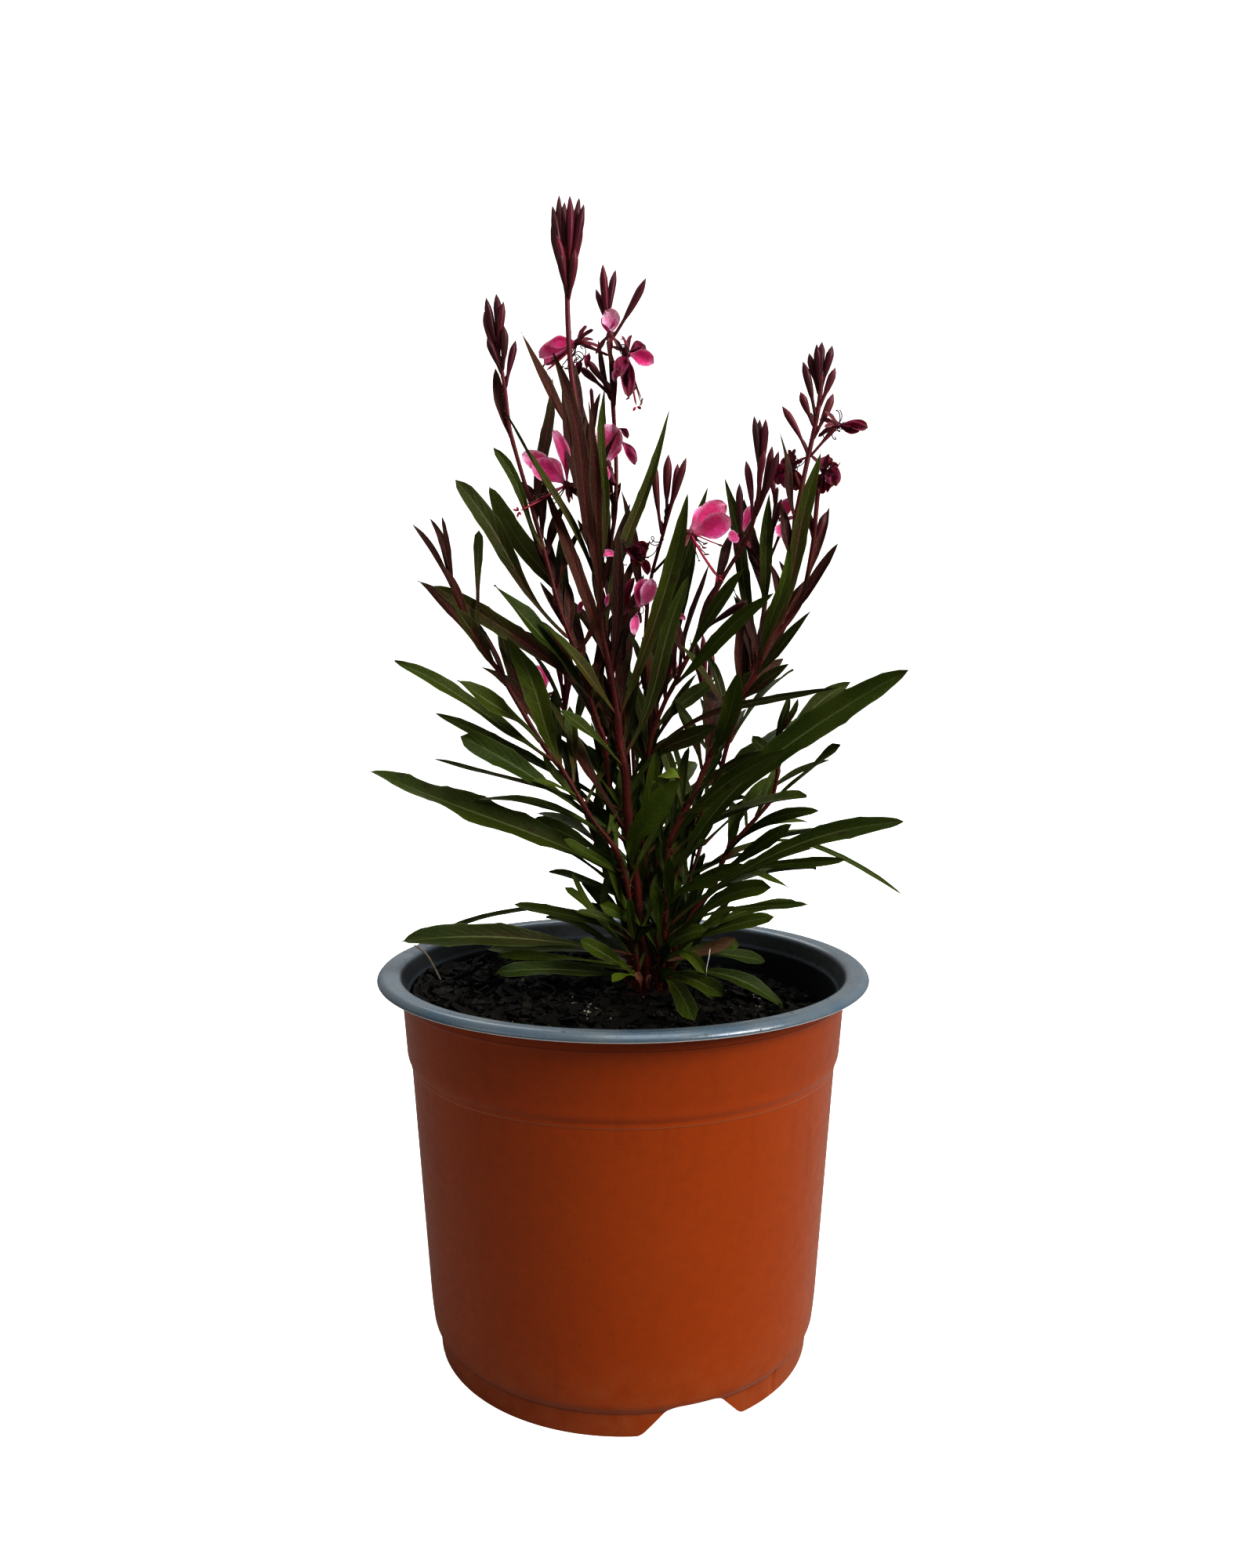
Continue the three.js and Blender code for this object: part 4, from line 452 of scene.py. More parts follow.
    "buds": [
      [198, 22, 216, 42, 2.3, 0.3], [199, 24.2, 218, 39, 2.3, 0.3], [196, 27, 214, 43, 2.3, 0.3],
      [194, 22.4, 211, 38, 2.2, 0.35],
    ],
  },
  {
    "name": "shoot_back_middle", "foot": [OUTER_RING, 88], "thick": [2, 1.4],
    "rear": [130, 206, 8, 56, 32, 95, 120],
    "route": [
      [7.4, 118, 10.5], [6.6, 134, 18], [5.2, 152, 26], [3.6, 172, 33], [2.6, 190, 38], [1.8, 205, 41],
      [1.4, 217, 42],
    ],
    "leaves": [[116, 11, 119, 52, 6, 3, 30], [114, -3, 115, 44, 4.5, 2, 30]],
    "buds": [
      [209, -1, 230, 43, 2.4, 0.3], [211, 1.6, 232, 45, 2.4, 0.3], [208, 4.4, 228, 41, 2.3, 0.3],
      [205, -2.6, 224, 46, 2.3, 0.35],
    ],
  },
  {
    "name": "shoot_back_left", "foot": [OUTER_RING, 128], "thick": [2, 1.4],
    "rear": [132, 194, 7, 56, 32, 140, 120],
    "route": [
      [1.9, 118, 8.4], [-1, 134, 14], [-6, 148, 21], [-11.4, 163, 27], [-15.4, 178, 32], [-17.6, 192, 35],
      [-18.2, 203, 36],
    ],
    "leaves": [[115, -12, 118, 48, 6, 3, 30], [118, -28, 119, 38, 5, 3, 30]],
    "buds": [[196, -20.6, 215, 36, 2.3, 0.3], [197, -18, 216, 38, 2.3, 0.3], [194, -16, 212, 34, 2.2, 0.3]],
  },
]

# A bloom's stalk starts on a shoot or its branch, and up on it. A petal is a row of tip across, tip up, tip
# depth, width, arch and turn to the front, and its own age and paleness may follow. A thread is the place of
# its tip. A scrap is a loose petal: the places of its base and its tip, width, age and paleness.
BLOOMS = [
  {
    "name": "bloom_right", "finish": "petal", "stalk": ["shoot_slender", 236], "foot": [20.2, 248.4, -2],
    "petals": [
      [31.2, 256.6, -3.5, 7, 0.7, 84, 0, 0.35], [32.4, 252.7, -6.5, 7.8, -0.8, 84, 0, 0.2],
      [27, 255.6, 6, 5, 1, 60], [27, 250, 8, 5, -1, 60],
    ],
    "threads": [[28.5, 235, -12], [29.3, 244.6, -7], [25.4, 239.6, -5]],
  },
  {
    "name": "bloom_left", "finish": "petal", "stalk": ["shoot_main", 255], "foot": [-17, 262.6, -6],
    "petals": [
      [-27.5, 268.4, -9, 7, 0.4, 75, 0, 0.15], [-30.4, 271.6, -7, 6, 0.6, 75, 0, 0.6],
      [-21, 278.6, -10, 4, 1.4, 75, 0, 0.4], [-24, 270, 2, 6, 0, 50],
    ],
    "threads": [[-31.3, 254.7, -16], [-26, 258, -13]],
  },
  {
    "name": "bloom_centre", "finish": "petal", "stalk": ["shoot_second", 262], "foot": [-4.6, 268.6, 1],
    "petals": [
      [-3, 280.4, -3, 8.4, 0.5, 80, 0, 0.7], [-7, 262.2, -4, 4.6, 0, 70, 0, 0.1],
      [-1.6, 275, 3.6, 5, 0, 60],
    ],
    "threads": [[-7.4, 258.6, -5]],
    "scraps": [[-0.8, 275.6, 0, 3.6, 268.2, 0, 3.4, 0.7, 0.4], [-1.4, 279, 0, 1.4, 276, 0, 2, 1, 0]],
  },
  {
    "name": "bloom_hanging", "finish": "petal", "stalk": ["shoot_second", 300], "foot": [-13.4, 304.2, 6],
    "petals": [
      [-25, 299.6, 6, 5.2, 1, 70, 0, 0.3], [-23.5, 297.8, 10, 5, 0, 60, 0, 0.2],
      [-22, 302.8, 2.5, 4, 0.5, 60, 0.4, 0],
    ],
    "threads": [[-23, 295.8, 6]],
  },
  {
    "name": "bloom_wilted_top", "finish": "wilted", "stalk": ["shoot_second", 297], "foot": [1.2, 300.6, 0],
    "petals": [
      [9.2, 298, -2, 5, 0.5, 80, 0, 0.1], [6.6, 303.2, 2, 4.4, 0, 70], [1.6, 288, -3, 4.4, 1, 70],
      [-1.6, 294, -4, 4.5, 1, 70],
    ],
    "threads": [[4, 285.4, 0]],
    "scraps": [
      [-12.6, 299, 2, -13.4, 294.4, 1, 2.4, 1, 0], [-10, 301, 2, -10.8, 296.4, 1, 2, 0.9, 0.2],
      [-1.6, 296.4, -4, -2.4, 292.4, -4, 2, 0.8, 0.6],
    ],
  },
  {
    "name": "bloom_closing", "finish": "petal", "stalk": ["shoot_second", 301], "foot": [-3.9, 306.2, -1.6],
    "petals": [[-5.4, 313.2, -4.4, 5.8, 1.2, 80, 0, 2.2], [-2.4, 311.6, -2.8, 5, 1.2, 70, 0.2, 0]],
  },
  {
    "name": "bloom_low", "finish": "wilted", "stalk": ["shoot_second", 222], "foot": [4.2, 225.4, -1],
    "petals": [
      [8.8, 234.8, -4, 5.2, -1, 80, 0, 0.9], [7.2, 234.6, -2.4, 5, 0.4, 84, 0.25, 0.1],
      [3.2, 217.6, -5, 3, 0.5, 70, 0, 0.6],
    ],
    "scraps": [
      [13.4, 223.4, -2, 18.9, 222.2, -2, 2.2, 0.5, 0.6], [-0.6, 240.8, -4, -7.2, 241.4, -4, 2.6, 0, 0.7],
      [-4.4, 230.2, -5, -4.9, 225.8, -5, 1.6, 0, 0.6], [-11.4, 228.4, -5, -13.4, 224, -5, 1.8, 0.2, 0.4],
      [0, 243.4, -3, 6.4, 239.4, -5, 5, 1, 0], [8, 245.4, -3, 3.2, 238, -2, 4.6, 1, 0],
      [2, 242, -3, 7.8, 243.6, -5, 4, 1, 0], [5, 241, -2, 7.4, 235.6, -3, 3, 1, 0],
      [1.4, 223.6, -3, 3.4, 235, -4, 3, 0.9, 0.1],
    ],
  },
  {
    "name": "bloom_wilted_right", "finish": "wilted", "stalk": ["shoot_right/branch", 258],
    "foot": [60.6, 266, 3],
    "petals": [[64, 262, 0, 5, 2, 70], [57.4, 259.4, 8, 5, 1, 70], [62.4, 270.4, 6, 4, 1, 60]],
  },
  {
    "name": "bloom_wilted_inner", "finish": "wilted", "stalk": ["shoot_right/branch", 250],
    "foot": [50.6, 267.6, 4],
    "petals": [[46.2, 262.4, 3, 5.5, 1.5, 70], [52, 260.6, 8, 4.5, 1, 60], [49, 271.4, 7, 4, 0.5, 60]],
  },
  {
    "name": "bloom_pale_right", "finish": "petal", "stalk": ["shoot_back_right", 240],
    "foot": [49, 252.4, 9],
    "petals": [[47.2, 246.8, 5, 4.6, 0, 70], [49.4, 258.6, 7, 4, 0, 60]],
  },
  {
    "name": "bloom_pale_inner", "finish": "petal", "stalk": ["shoot_back_right", 236],
    "foot": [35.6, 247.4, 8],
    "petals": [[31.6, 246.6, 6, 4.6, 0, 70], [38.9, 256.6, 9, 3.6, 0, 60]],
  },
  {
    "name": "bloom_spent", "finish": "wilted", "stalk": ["shoot_right", 270], "foot": [64, 280, -5],
    "petals": [[73.2, 279.2, -5, 3.4, 0.5, 70]],
  },
  {
    "name": "bloom_back_left", "finish": "petal", "stalk": ["shoot_back_left", 192], "foot": [-24, 199, 43],
    "petals": [
      [-31, 206, 46, 9, 1, -60], [-33, 200, 44, 9, 0, -60], [-28, 208, 51, 8, 1, -70],
      [-29, 200, 54, 8, 0, -70],
    ],
    "threads": [[-22, 190, 54], [-22, 193, 56]],
  },
  {
    "name": "bloom_back_middle", "finish": "petal", "stalk": ["shoot_back_middle", 199],
    "foot": [8, 207, 50],
    "petals": [
      [15.4, 212, 53, 9, 1, -60], [13.4, 216, 57, 8, 1, -60], [17, 207, 55, 9, 0, -60],
      [10, 213, 60, 8, 1, -70],
    ],
    "threads": [[8, 200, 58], [7, 203, 59]],
  },
]


# Places
def mix(a, b, share):
    return a + (b - a) * share


def clamp(value, low=0.0, high=1.0):
    return max(low, min(high, value))


def ease(low, high, value):
    share = clamp((value - low) / (high - low))
    return share * share * (3 - 2 * share)


def chance(n):
    """A repeatable draw between 0 and 1."""
    value = sin(n * 12.9898) * 43758.5453
    return value - math.floor(value)


def from_view(row):
    across, up, depth = row
    share = (depth - VIEW_POINT.y) / -VIEW_POINT.y
    return VIEW_POINT + (Vector((across, 0, up)) - VIEW_POINT) * share


def up_in_view(point):
    share = (point.y - VIEW_POINT.y) / -VIEW_POINT.y
    return VIEW_POINT.z + (point.z - VIEW_POINT.z) / share


def curve_point(a, b, c, d, t):
    """A point between b and c on the smooth curve through four points."""
    t2 = t * t
    t3 = t2 * t
    ends = b * (2 * t3 - 3 * t2 + 1) + c * (3 * t2 - 2 * t3)
    return ends + (c - a) * (0.5 * (t3 - 2 * t2 + t)) + (d - b) * (0.5 * (t3 - t2))


def smooth_route(points):
    """The points joined by a smooth curve, in short steps."""
    if not points:
        return []
    route = []
    last = len(points) - 1
    for i in range(last):
        before = points[max(0, i - 1)]
        after = points[min(last, i + 2)]
        steps = max(1, math.ceil((points[i + 1] - points[i]).length / ROUTE_STEP))
        for k in range(steps):
            route.append(curve_point(before, points[i], points[i + 1], after, k / steps))
    route.append(points[-1].copy())
    return route


def bent_line(base, tip, steps, bend=Vector()):
    """A line from base to tip with its middle bent aside."""
    shares = [k / steps for k in range(steps + 1)]
    return [base.lerp(tip, t) + bend * (4 * t * (1 - t)) for t in shares]


def turned_to(reach, angle):
    return Vector((reach * cos(angle), reach * sin(angle), 0))


def stem_routes(shoot):
    """A shoot's stem, and its branch where it has one."""
    reach, turn = shoot["foot"]
    foot = CROWN + turned_to(reach, radians(turn))
    rise = [foot + Vector((0, 0, SOCKET_BOTTOM)), foot + Vector((0, 0, CROWN_TOP + 1))]
    stem = smooth_route(rise + [from_view(row) for row in shoot["route"]])
    return stem, smooth_route([from_view(row) for row in shoot.get("branch", [])])


def point_at_up(route, up):
    for near, far in zip(route, route[1:]):
        low = up_in_view(near)
        high = up_in_view(far)
        if low <= up <= high:
            return near.lerp(far, (up - low) / max(high - low, 1e-9))
    return route[-1].copy()


def soil_height(x, y):
    from_crown = hypot(x - CROWN.x, y - CROWN.y)
    mound = MOUND_RISE * exp(-((from_crown / MOUND_SPREAD) ** 2))
    waves = 0.7 * sin(x * 0.31 + 1.3) * sin(y * 0.27 + 0.4)
    lumps = 0.4 * sin(x * 0.71 - y * 0.53)
    return SOIL_LEVEL - SOIL_FALL_ACROSS * x - SOIL_FALL_DEPTH * y + mound + waves + lumps


# Blades
class Blade:
    """A leaf or petal: its spine from base to tip, its width, and the way its upper side faces."""

    def __init__(self, base, tip, width, arch, turn, seed=0.0):
        self.base = base
        self.tip = tip
        self.width = width
        self.seed = seed
        self.length = (tip - base).length
        chord = tip - base
        side = 1 if chord.x < 0 else -1
        lift = Vector((side * max(chord.z, 0), 0, abs(chord.x)))
        self.middle = base.lerp(tip, 0.5) + lift.normalized() * (2 * arch)
        along = chord.normalized()
        above = Vector((0, 0, 1))
        above = (above - along * above.dot(along)).normalized()
        front = VIEW_POINT - base
        front = (front - along * front.dot(along)).normalized()
        angle = radians(turn)
        self.face = (above * cos(angle) + front * sin(angle)).normalized()
        self.twist = 0.0
        self.sway = 0.0
        self.blunt = 0.0

    def spine(self, u):
        """The spine's point there, and the directions square to it: the upper side's, and sideways."""
        point = self.base * (1 - u) ** 2 + self.middle * (2 * u * (1 - u)) + self.tip * (u * u)
        along = (self.middle - self.base) * (2 * (1 - u)) + (self.tip - self.middle) * (2 * u)
        along.normalize()
        face = (self.face - along * self.face.dot(along)).normalized()
        point += along.cross(face) * (self.sway * sin(tau * u))
        face.rotate(Matrix.Rotation(self.twist * (u - 0.4), 3, along))
        return point, face, along.cross(face)


def leaf_blade(route, row, bend, seed):
    up, across, tip_up, depth, width, arch, turn = row[:7]
    base = point_at_up(route, up)
    tip = from_view((across, tip_up, depth + bend * BEND_STEP))
    if tip.x > base.x:
        turn *= RIGHT_TURN
    blade = Blade(base, tip, width, arch, turn, seed)
    blade.blunt = row[9] if len(row) > 9 else 0.0
    return blade


def spread_blade(route, rule, i, bend, seed):
    """A rear leaf, turned round the stem by the golden angle."""
    low, high, count, longest, shortest, middle, spread = rule
    share = i / (count - 1) if count > 1 else 0
    base = point_at_up(route, mix(low, high, share))
    swing = ((i * GOLDEN_SHARE + chance(seed + i) * 0.12) % 1) * 2 - 1
    azimuth = radians(middle + spread * swing) + bend * TURN_STEP
    slope = radians(mix(22, 62, share) + 14 * (chance(seed + i + 40) - 0.5))
    length = mix(longest, shortest, share) * mix(0.85, 1.1, chance(seed + i + 80))
    level = cos(slope)
    away = Vector((cos(azimuth) * level, sin(azimuth) * level, sin(slope)))
    width = mix(*REAR_WIDTHS, share) * mix(0.8, 1.1, chance(seed + i + 120))
    arch = mix(*REAR_ARCHES, share)
    tip = base + away * length
    blade = Blade(base, tip, width, arch, 0, seed + i)
    lift = Vector((-away.x * away.z, -away.y * away.z, level * level)).normalized()
    blade.middle = base.lerp(tip, 0.5) + lift * (2 * arch)
    blade.face.rotate(Matrix.Rotation(0.5 * (chance(seed + i + 160) - 0.5), 3, away))
    return blade


def cad_corners(node):
    """The corners of a node's solid, in millimetres from the pot's axis."""
    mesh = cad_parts[node].data
    corners = kdtree.KDTree(len(mesh.vertices))
    for i, vert in enumerate(mesh.vertices):
        corners.insert(FROM_FRAME @ vert.co, i)
    corners.balance()
    return corners


def standing_blade(corners, blade_at):
    """The blade bent as the solid's leaf is, found by its tip, or None where the solid has no such leaf."""
    blades = [blade_at(bend) for bend in BENDS]
    gaps = [corners.find(blade.tip)[2] for blade in blades]
    nearest = min(gaps)
    return blades[gaps.index(nearest)] if nearest < BEND_MATCH else None


# Skins and pieces
def new_object(name, data):
    made = bpy.data.objects.new(name, data)
    bpy.context.scene.collection.objects.link(made)
    return made


def new_body():
    body = bmesh.new()
    body.verts.layers.float_color.new("tone")
    body.loops.layers.uv.new("skin")
    return body


def paint(body, verts, tone):
    """Gives a skin's corners the four values that its material reads."""
    layer = body.verts.layers.float_color["tone"]
    for vert in verts:
        vert[layer] = tone


def smooth_faces(faces, material=0):
    for face in faces:
        face.material_index = material
        face.smooth = True


def add_skin(body, place, rounds, steps, tone, material=0):
    """A grid rolled up round its length. place gives each corner's point, and can close the ends."""
    made = bmesh.ops.create_grid(body, x_segments=rounds, y_segments=steps, size=0.5, calc_uvs=True)
    verts = made["verts"]
    paint(body, verts, tone)
    for vert in verts:
        vert.co = place(vert.co.x + 0.5, vert.co.y + 0.5)
    smooth_faces({face for vert in verts for face in vert.link_faces}, material)


def add_blade(body, blade, half_width, lift, thickness, rounds, steps, tone, material=0):
    """A thin closed blade. half_width, lift and thickness are functions of the shares along and across it."""
    stations = {}

    def place(around, u):
        if u not in stations:
            stations[u] = blade.spine(u)
        point, face, side = stations[u]
        upper = around <= 0.5
        v = 1 - 4 * around if upper else 4 * around - 3
        half = half_width(u, v)
        rise = lift(u, v, half) + (0.5 if upper else -0.5) * thickness(u, v)
        return point + side * (half * v) + face * rise

    add_skin(body, place, rounds, steps, tone, material)


def add_tube(body, route, radius, sides, tone, material=0, lobes=0.0):
    """A round stem along a route, with its radius as a function of the share along it."""
    last = len(route) - 1

    def place(around, along):
        i = round(along * last)
        heading = (route[min(last, i + 1)] - route[max(0, i - 1)]).normalized()
        first = Vector((0, 1, 0)).cross(heading).normalized()
        second = heading.cross(first)
        turn = tau * around
        reach = radius(along) * (1 + lobes * cos(4 * turn)) if 0 < i < last else 0
        return route[i] + first * (reach * cos(turn)) + second * (reach * sin(turn))

    add_skin(body, place, sides, last, tone, material)


def crisp_edges(body, degrees):
    limit = radians(degrees)
    for edge in body.edges:
        if len(edge.link_faces) == 2 and edge.calc_face_angle(0) > limit:
            edge.smooth = False


def make_piece(body, name, materials, slot, nodes=(), crisp=70):
    """Puts a body modelled in millimetres in the frame, as a piece that rides with the pot."""
    bmesh.ops.remove_doubles(body, verts=body.verts, dist=1e-4)
    bmesh.ops.recalc_face_normals(body, faces=body.faces)
    crisp_edges(body, crisp)
    bmesh.ops.transform(body, matrix=TO_FRAME, space=Matrix.Identity(4), verts=body.verts)
    mesh = bpy.data.meshes.new(name)
    body.to_mesh(mesh)
    body.free()
    for material in materials:
        mesh.materials.append(material)
    piece = new_object(name, mesh)
    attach(piece, "root")
    if nodes:
        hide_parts(*nodes)


# Shader nodes
def feed(socket, value):
    """Links a node's value to a socket, or sets the socket to a plain one."""
    if isinstance(value, Value):
        socket.id_data.links.new(value.socket, socket)
    elif socket.type == "RGBA":
        socket.default_value = (*value[:3], 1)
    else:
        socket.default_value = value


def add_node(tree, kind, inputs=(), **settings):
    """A new node with its settings made, and then its inputs fed, each by its name or its number."""
    node = tree.nodes.new(f"ShaderNode{kind}")
    for name, setting in settings.items():
        setattr(node, name, setting)
    for key, value in inputs:
        feed(node.inputs[key], value)
    return node


def maths(tree, operation, *values):
    return Value(add_node(tree, "Math", enumerate(values), operation=operation).outputs["Value"])


class Value:
    """What a node puts out. Plain arithmetic with it makes Math nodes."""

    def __init__(self, socket):
        self.socket = socket
        self.tree = socket.id_data

    def calc(self, operation, *others):
        return maths(self.tree, operation, self, *others)

    def __add__(self, other):
        return self.calc("ADD", other)

    def __sub__(self, other):
        return self.calc("SUBTRACT", other)

    def __rsub__(self, other):
        return maths(self.tree, "SUBTRACT", other, self)

    def __mul__(self, other):
        return self.calc("MULTIPLY", other)

    def __truediv__(self, other):
        return self.calc("DIVIDE", other)

    def __pow__(self, power):
        return self.calc("POWER", power)

    def __abs__(self):
        return self.calc("ABSOLUTE")

    def __gt__(self, other):
        return self.calc("GREATER_THAN", other)

    def at_most(self, other):
        return self.calc("MINIMUM", other)

    def at_least(self, other):
        return self.calc("MAXIMUM", other)


def blend(share, first, second):
    """A mix of two colours."""
    inputs = zip(COLOUR_MIX_INPUTS, (share, first, second))
    return Value(add_node(share.tree, "Mix", inputs, data_type="RGBA").outputs[COLOUR_MIX_OUTPUT])


def layered(colour, *layers):
    """A colour with others laid over it, each with its share."""
    for share, over in layers:
        colour = blend(share, colour, over)
    return colour


def ramp(value, start, end, low, high, kind="LINEAR"):
    """A value that goes from low to high as the given one goes from start to end."""
    limits = zip(("From Min", "From Max", "To Min", "To Max"), (start, end, low, high))
    node = add_node(value.tree, "MapRange", [("Value", value), *limits], interpolation_type=kind)
    return Value(node.outputs["Result"])


def step(value, start, end, low=0.0, high=1.0):
    return ramp(value, start, end, low, high, "SMOOTHSTEP")


def place_in(tree, scale=(1, 1, 1)):
    """The piece's own coordinates in metres, scaled."""
    place = Value(add_node(tree, "TexCoord").outputs["Object"])
    return Value(add_node(tree, "Mapping", (("Vector", place), ("Scale", scale))).outputs["Vector"])


def noise_in(place, scale, detail=3.0, roughness=0.55):
    inputs = (("Vector", place), ("Scale", scale), ("Detail", detail), ("Roughness", roughness))
    return Value(add_node(place.tree, "TexNoise", inputs).outputs["Fac"])


def net_in(around, along):
    """A net of fine lines, its meshes drawn out along the skin."""
    place = add_node(around.tree, "CombineXYZ", (("X", around * 34.0), ("Y", along * 9.0)))
    inputs = (("Vector", Value(place.outputs["Vector"])), ("Scale", 1.0))
    cells = add_node(around.tree, "TexVoronoi", inputs, feature="DISTANCE_TO_EDGE")
    return step(Value(cells.outputs["Distance"]), 0.0, 0.13, 0.8, 0.0)


def split(vector):
    node = add_node(vector.tree, "SeparateXYZ", [("Vector", vector)])
    return [Value(socket) for socket in node.outputs]


def reach_in(place, axis_x=0.0):
    """How far a point lies from an upright axis."""
    across, deep, _ = split(place)
    return ((across - axis_x) ** 2.0 + deep ** 2.0).calc("SQRT")


def tone_in(tree):
    """The four values that each leaf, bud, petal or chip carries in its tone attribute."""
    node = add_node(tree, "Attribute", attribute_name="tone")
    return (*split(Value(node.outputs["Vector"])), Value(node.outputs["Alpha"]))


def skin_in(tree):
    """How far round and along its skin a point lies."""
    return split(Value(add_node(tree, "UVMap", uv_map="skin").outputs["UV"]))[:2]


def add_sockets(group, way, labels):
    return [group.interface.new_socket(label, in_out=way, socket_type="NodeSocketFloat") for label in labels]


def new_group(name, **inputs):
    """A node group, and its inputs as values."""
    group = bpy.data.node_groups.new(name, "ShaderNodeTree")
    for socket, value in zip(add_sockets(group, "INPUT", inputs), inputs.values()):
        socket.default_value = value
    given = group.nodes.new("NodeGroupInput").outputs
    return group, *(Value(given[label]) for label in inputs)


def close_group(group, **outputs):
    add_sockets(group, "OUTPUT", outputs)
    sockets = group.nodes.new("NodeGroupOutput").inputs
    for label, value in outputs.items():
        feed(sockets[label], value)
    return group


def use_group(tree, maker, **inputs):
    """What a node group puts out in a material. The group is made the first time it is asked for."""
    group = bpy.data.node_groups.get(maker.__name__) or maker(maker.__name__)
    node = add_node(tree, "Group", inputs.items(), node_tree=group)
    return [Value(socket) for socket in node.outputs]


def soft_mottle(name):
    """Cloudy patches: a broad mask and a fine one."""
    group, scale, contrast = new_group(name, Scale=90.0, Contrast=0.16)
    masks = []
    for factor in (1.0, 6.5):
        cloud = noise_in(place_in(group), scale * factor)
        masks.append(((cloud - (0.5 - contrast)) / (contrast * 2.0)).at_least(0.0).at_most(1.0))
    return close_group(group, Broad=masks[0], Fine=masks[1])


def scattered_specks(name):
    """Small round specks, each cell holding one of its own size or none."""
    group, scale, size, share = new_group(name, Scale=400.0, Size=0.2, Share=0.4)
    cells = add_node(group, "TexVoronoi", (("Vector", place_in(group)), ("Scale", scale))).outputs
    draw, size_draw, _ = split(Value(cells["Color"]))
    inside = 1.0 - Value(cells["Distance"]) / (size * (size_draw + 0.3))
    return close_group(group, Speck=(inside * 3.0).at_least(0.0).at_most(1.0) * (share > draw))


def mottle_in(tree, scale, contrast):
    return use_group(tree, soft_mottle, Scale=scale, Contrast=contrast)


def specks_in(tree, scale, size, share):
    return use_group(tree, scattered_specks, Scale=scale, Size=size, Share=share)[0]


def blade_map(name):
    """Where a point lies on a leaf or petal: across from its midrib, along, underneath or on a side vein."""
    group, rows, slant, width = new_group(name, Rows=12.0, Slant=0.16, Width=0.2)
    around, along = skin_in(group)
    signed = (0.25 - around.calc("PINGPONG", 0.5)) * 4.0
    across = abs(signed)
    waver = noise_in(place_in(group), 420.0, 1.0) * 0.7
    row = (along - across * slant) * rows + (signed > 0.0) * 0.5 + waver
    ridge = 1.0 - abs(row.calc("FRACT") - 0.5) / width
    vein = ridge.at_least(0.0).at_most(1.0) * (1.0 - across ** 3.0)
    return close_group(group, Across=across, Along=along, Under=around > 0.5, Vein=vein)


# Materials
def new_material(name):
    material = bpy.data.materials.new(name)
    material.use_nodes = True
    material.node_tree.nodes.clear()
    return material, material.node_tree


def finish(material, colour, rough, specular, relief=None, **more):
    """Gives a material its shader. A relief is a height, how many metres it stands for, and its strength."""
    tree = material.node_tree
    inputs = {"Base Color": colour, "Roughness": rough, "Specular IOR Level": specular}
    inputs.update({label.replace("_", " "): value for label, value in more.items()})
    if relief:
        bump = add_node(tree, "Bump", zip(("Height", "Distance", "Strength"), relief))
        inputs["Normal"] = Value(bump.outputs["Normal"])
    shader = add_node(tree, "BsdfPrincipled", inputs.items())
    add_node(tree, "OutputMaterial", [("Surface", Value(shader.outputs["BSDF"]))])
    return material


def level_line(height, level, width):
    """A mask of a thin level line round the pot."""
    return step(abs(height - level * MM), 0.0, width * MM, 1.0, 0.0)


def shell_material(settings):
    material, tree = new_material("orange_shell")
    _, _, height = split(place_in(tree))
    clouds, dusty = mottle_in(tree, 26.0, 0.2)
    patches, grain = mottle_in(tree, 330.0, 0.25)
    specks = specks_in(tree, 95.0, 0.03, 0.4)
    scuffs = specks_in(tree, 52.0, 0.022, 0.3)
    streaks = noise_in(place_in(tree, (1, 1, 0.12)), 150.0, 2.0)
    band = step(height, (STEP_LEVEL - 1) * MM, (STEP_LEVEL + 1) * MM)
    step_slope_highlight = band * step(height, (STEP_LEVEL + 2) * MM, (STEP_LEVEL + 7) * MM, 1.0, 0.0)
    dust = step(height, 0.0, 0.03, 0.35, 0.0) * dusty
    colour = layered(
        settings.shell,
        (clouds * 0.5, settings.shell_worn),
        (patches * 0.16, settings.shell_dark),
        (step(streaks, 0.55, 0.75, 0.0, 0.18), settings.shell_dark),
        # the whole upper band, above the step, a little darker
        (band * 0.12, settings.shell_dark),
        # painted highlight: a lighter strip on the slope just above the step
        (step_slope_highlight * 0.14, settings.shell_lit),
        # painted shade: a dark line in the groove under the rim, and another where the body meets the foot
        # ring
        (level_line(height, CREASE_LEVEL, 0.35) * 0.7, settings.shell_dark),
        (level_line(height, FOOT_JOINT, 0.5) * 0.7, settings.shell_dark),
        # dust near the foot, and a painted highlight along the edge of the step
        (dust + level_line(height, STEP_LEVEL, 0.4) * 0.5, settings.shell_pale),
        (specks * 0.8, SOIL_SPOT),
        (scuffs * 0.5, SCUFF),
    )
    rough = ramp(patches, 0.0, 1.0, 0.3, 0.4) + dust * 0.5
    relief = (grain + streaks * 0.6, 0.00004, 0.6)
    return finish(material, colour, rough, 0.32, relief, Sheen_Weight=0.12, Sheen_Roughness=0.35)


